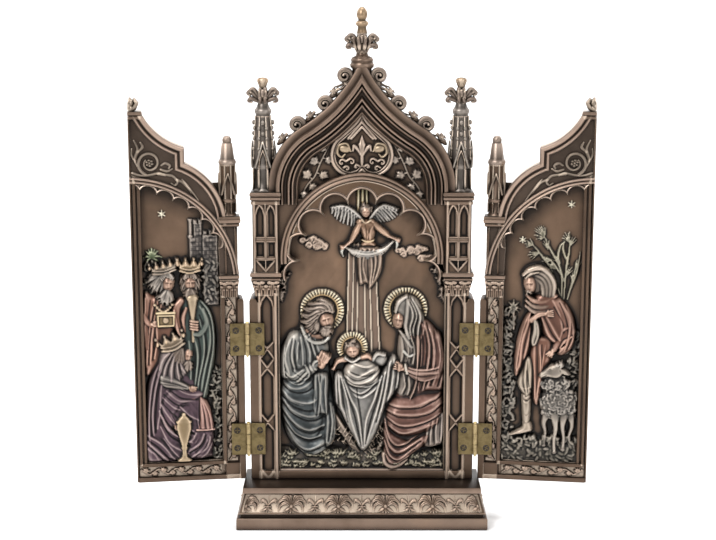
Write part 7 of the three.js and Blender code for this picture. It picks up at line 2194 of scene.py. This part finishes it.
# camera: place in metres, degrees it looks down by, focal length and sensor width in millimetres
CAMERA_PLACE, CAMERA_DOWN, CAMERA_LENS, CAMERA_SENSOR = (-0.0022, -0.8316, 0.3065), 11.02, 75.4, 36
WORLD_POWER = 0.30

# lights: name, place, size, power and the point it faces
LIGHTS = [
    ("key", (-0.60, -0.95, 0.95), (0.45, 0.45), 17, (0, 0, 0.15)),
    ("fill", (0.95, -1.0, 0.55), (0.6, 0.8), 7, (0, 0, 0.15)),
    ("top", (0.0, 0.10, 1.20), (0.9, 0.5), 12, (0, 0, 0.15)),
    ("backdrop", (-1.1, 0.55, 0.9), (0.6, 0.6), 16, (-0.1, 1.6, 0.45)),
    ("backdrop", (1.1, 0.55, 0.9), (0.6, 0.6), 16, (0.1, 1.6, 0.45)),
]


def floor_material(colour, rough):
    """Plain and almost even in tone."""
    material, tree, shader = new_material("floor")
    place = add_node(tree, "ShaderNodeTexCoord")
    cloud = add_node(tree, "ShaderNodeTexNoise", in_Scale=3.0, in_Detail=2.0)
    tree.links.new(place.outputs["Object"], cloud.inputs["Vector"])
    tone = ramp(tree, cloud.outputs["Fac"], [(0.3, tuple(c * 0.985 for c in colour)), (0.7, colour)])
    tree.links.new(tone, shader.inputs["Base Color"])
    shader.inputs["Roughness"].default_value = rough
    return material


def stage():
    """A pale floor that curves up behind into a plain wall."""
    low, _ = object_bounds()
    level = low.z - 0.0002
    half, front, bend, radius, wall = 3.5, -2.2, 0.9, 0.7, 3.0
    line = [(front, level), (bend, level)]
    for co, si in map(cos_sin, np.linspace(10, 90, 9)):
        line.append((bend + radius * si, level + radius * (1 - co)))
    line.append((bend + radius, level + wall))
    points = [(x, y, z) for y, z in line for x in (-half, half)]
    faces = [(2 * i, 2 * i + 1, 2 * i + 3, 2 * i + 2) for i in range(len(line) - 1)]
    mesh = bpy.data.meshes.new("floor")
    mesh.from_pydata(points, [], faces)
    mesh.shade_smooth()
    mesh.materials.append(floor_material((0.93, 0.93, 0.93), 0.7))
    floor = bpy.data.objects.new("floor", mesh)
    bpy.context.scene.collection.objects.link(floor)
    floor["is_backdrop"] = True


def area_light(name, place, size, power, target):
    lamp = bpy.data.lights.new(name, "AREA")
    lamp.shape = "RECTANGLE"
    lamp.size, lamp.size_y = size
    lamp.energy = power
    thing = bpy.data.objects.new(name, lamp)
    thing.location = place
    aim = Vector(target) - Vector(place)
    thing.rotation_mode = "QUATERNION"
    thing.rotation_quaternion = aim.to_track_quat("-Z", "Y")
    bpy.context.scene.collection.objects.link(thing)


def light_and_camera():
    world = bpy.data.worlds.new("studio")
    world.use_nodes = True
    colour, strength = world.node_tree.nodes["Background"].inputs[:2]
    colour.default_value, strength.default_value = (1, 1, 1, 1), WORLD_POWER
    bpy.context.scene.world = world
    for light in LIGHTS:
        area_light(*light)
    camera = bpy.data.cameras.new("camera")
    camera.sensor_width = CAMERA_SENSOR
    camera.lens = CAMERA_LENS
    thing = bpy.data.objects.new("camera", camera)
    thing.location = CAMERA_PLACE
    thing.rotation_euler = (math.radians(90 - CAMERA_DOWN), 0, 0)
    bpy.context.scene.collection.objects.link(thing)
    bpy.context.scene.camera = thing
    bpy.context.scene.view_settings.view_transform = "Standard"


stage()
light_and_camera()
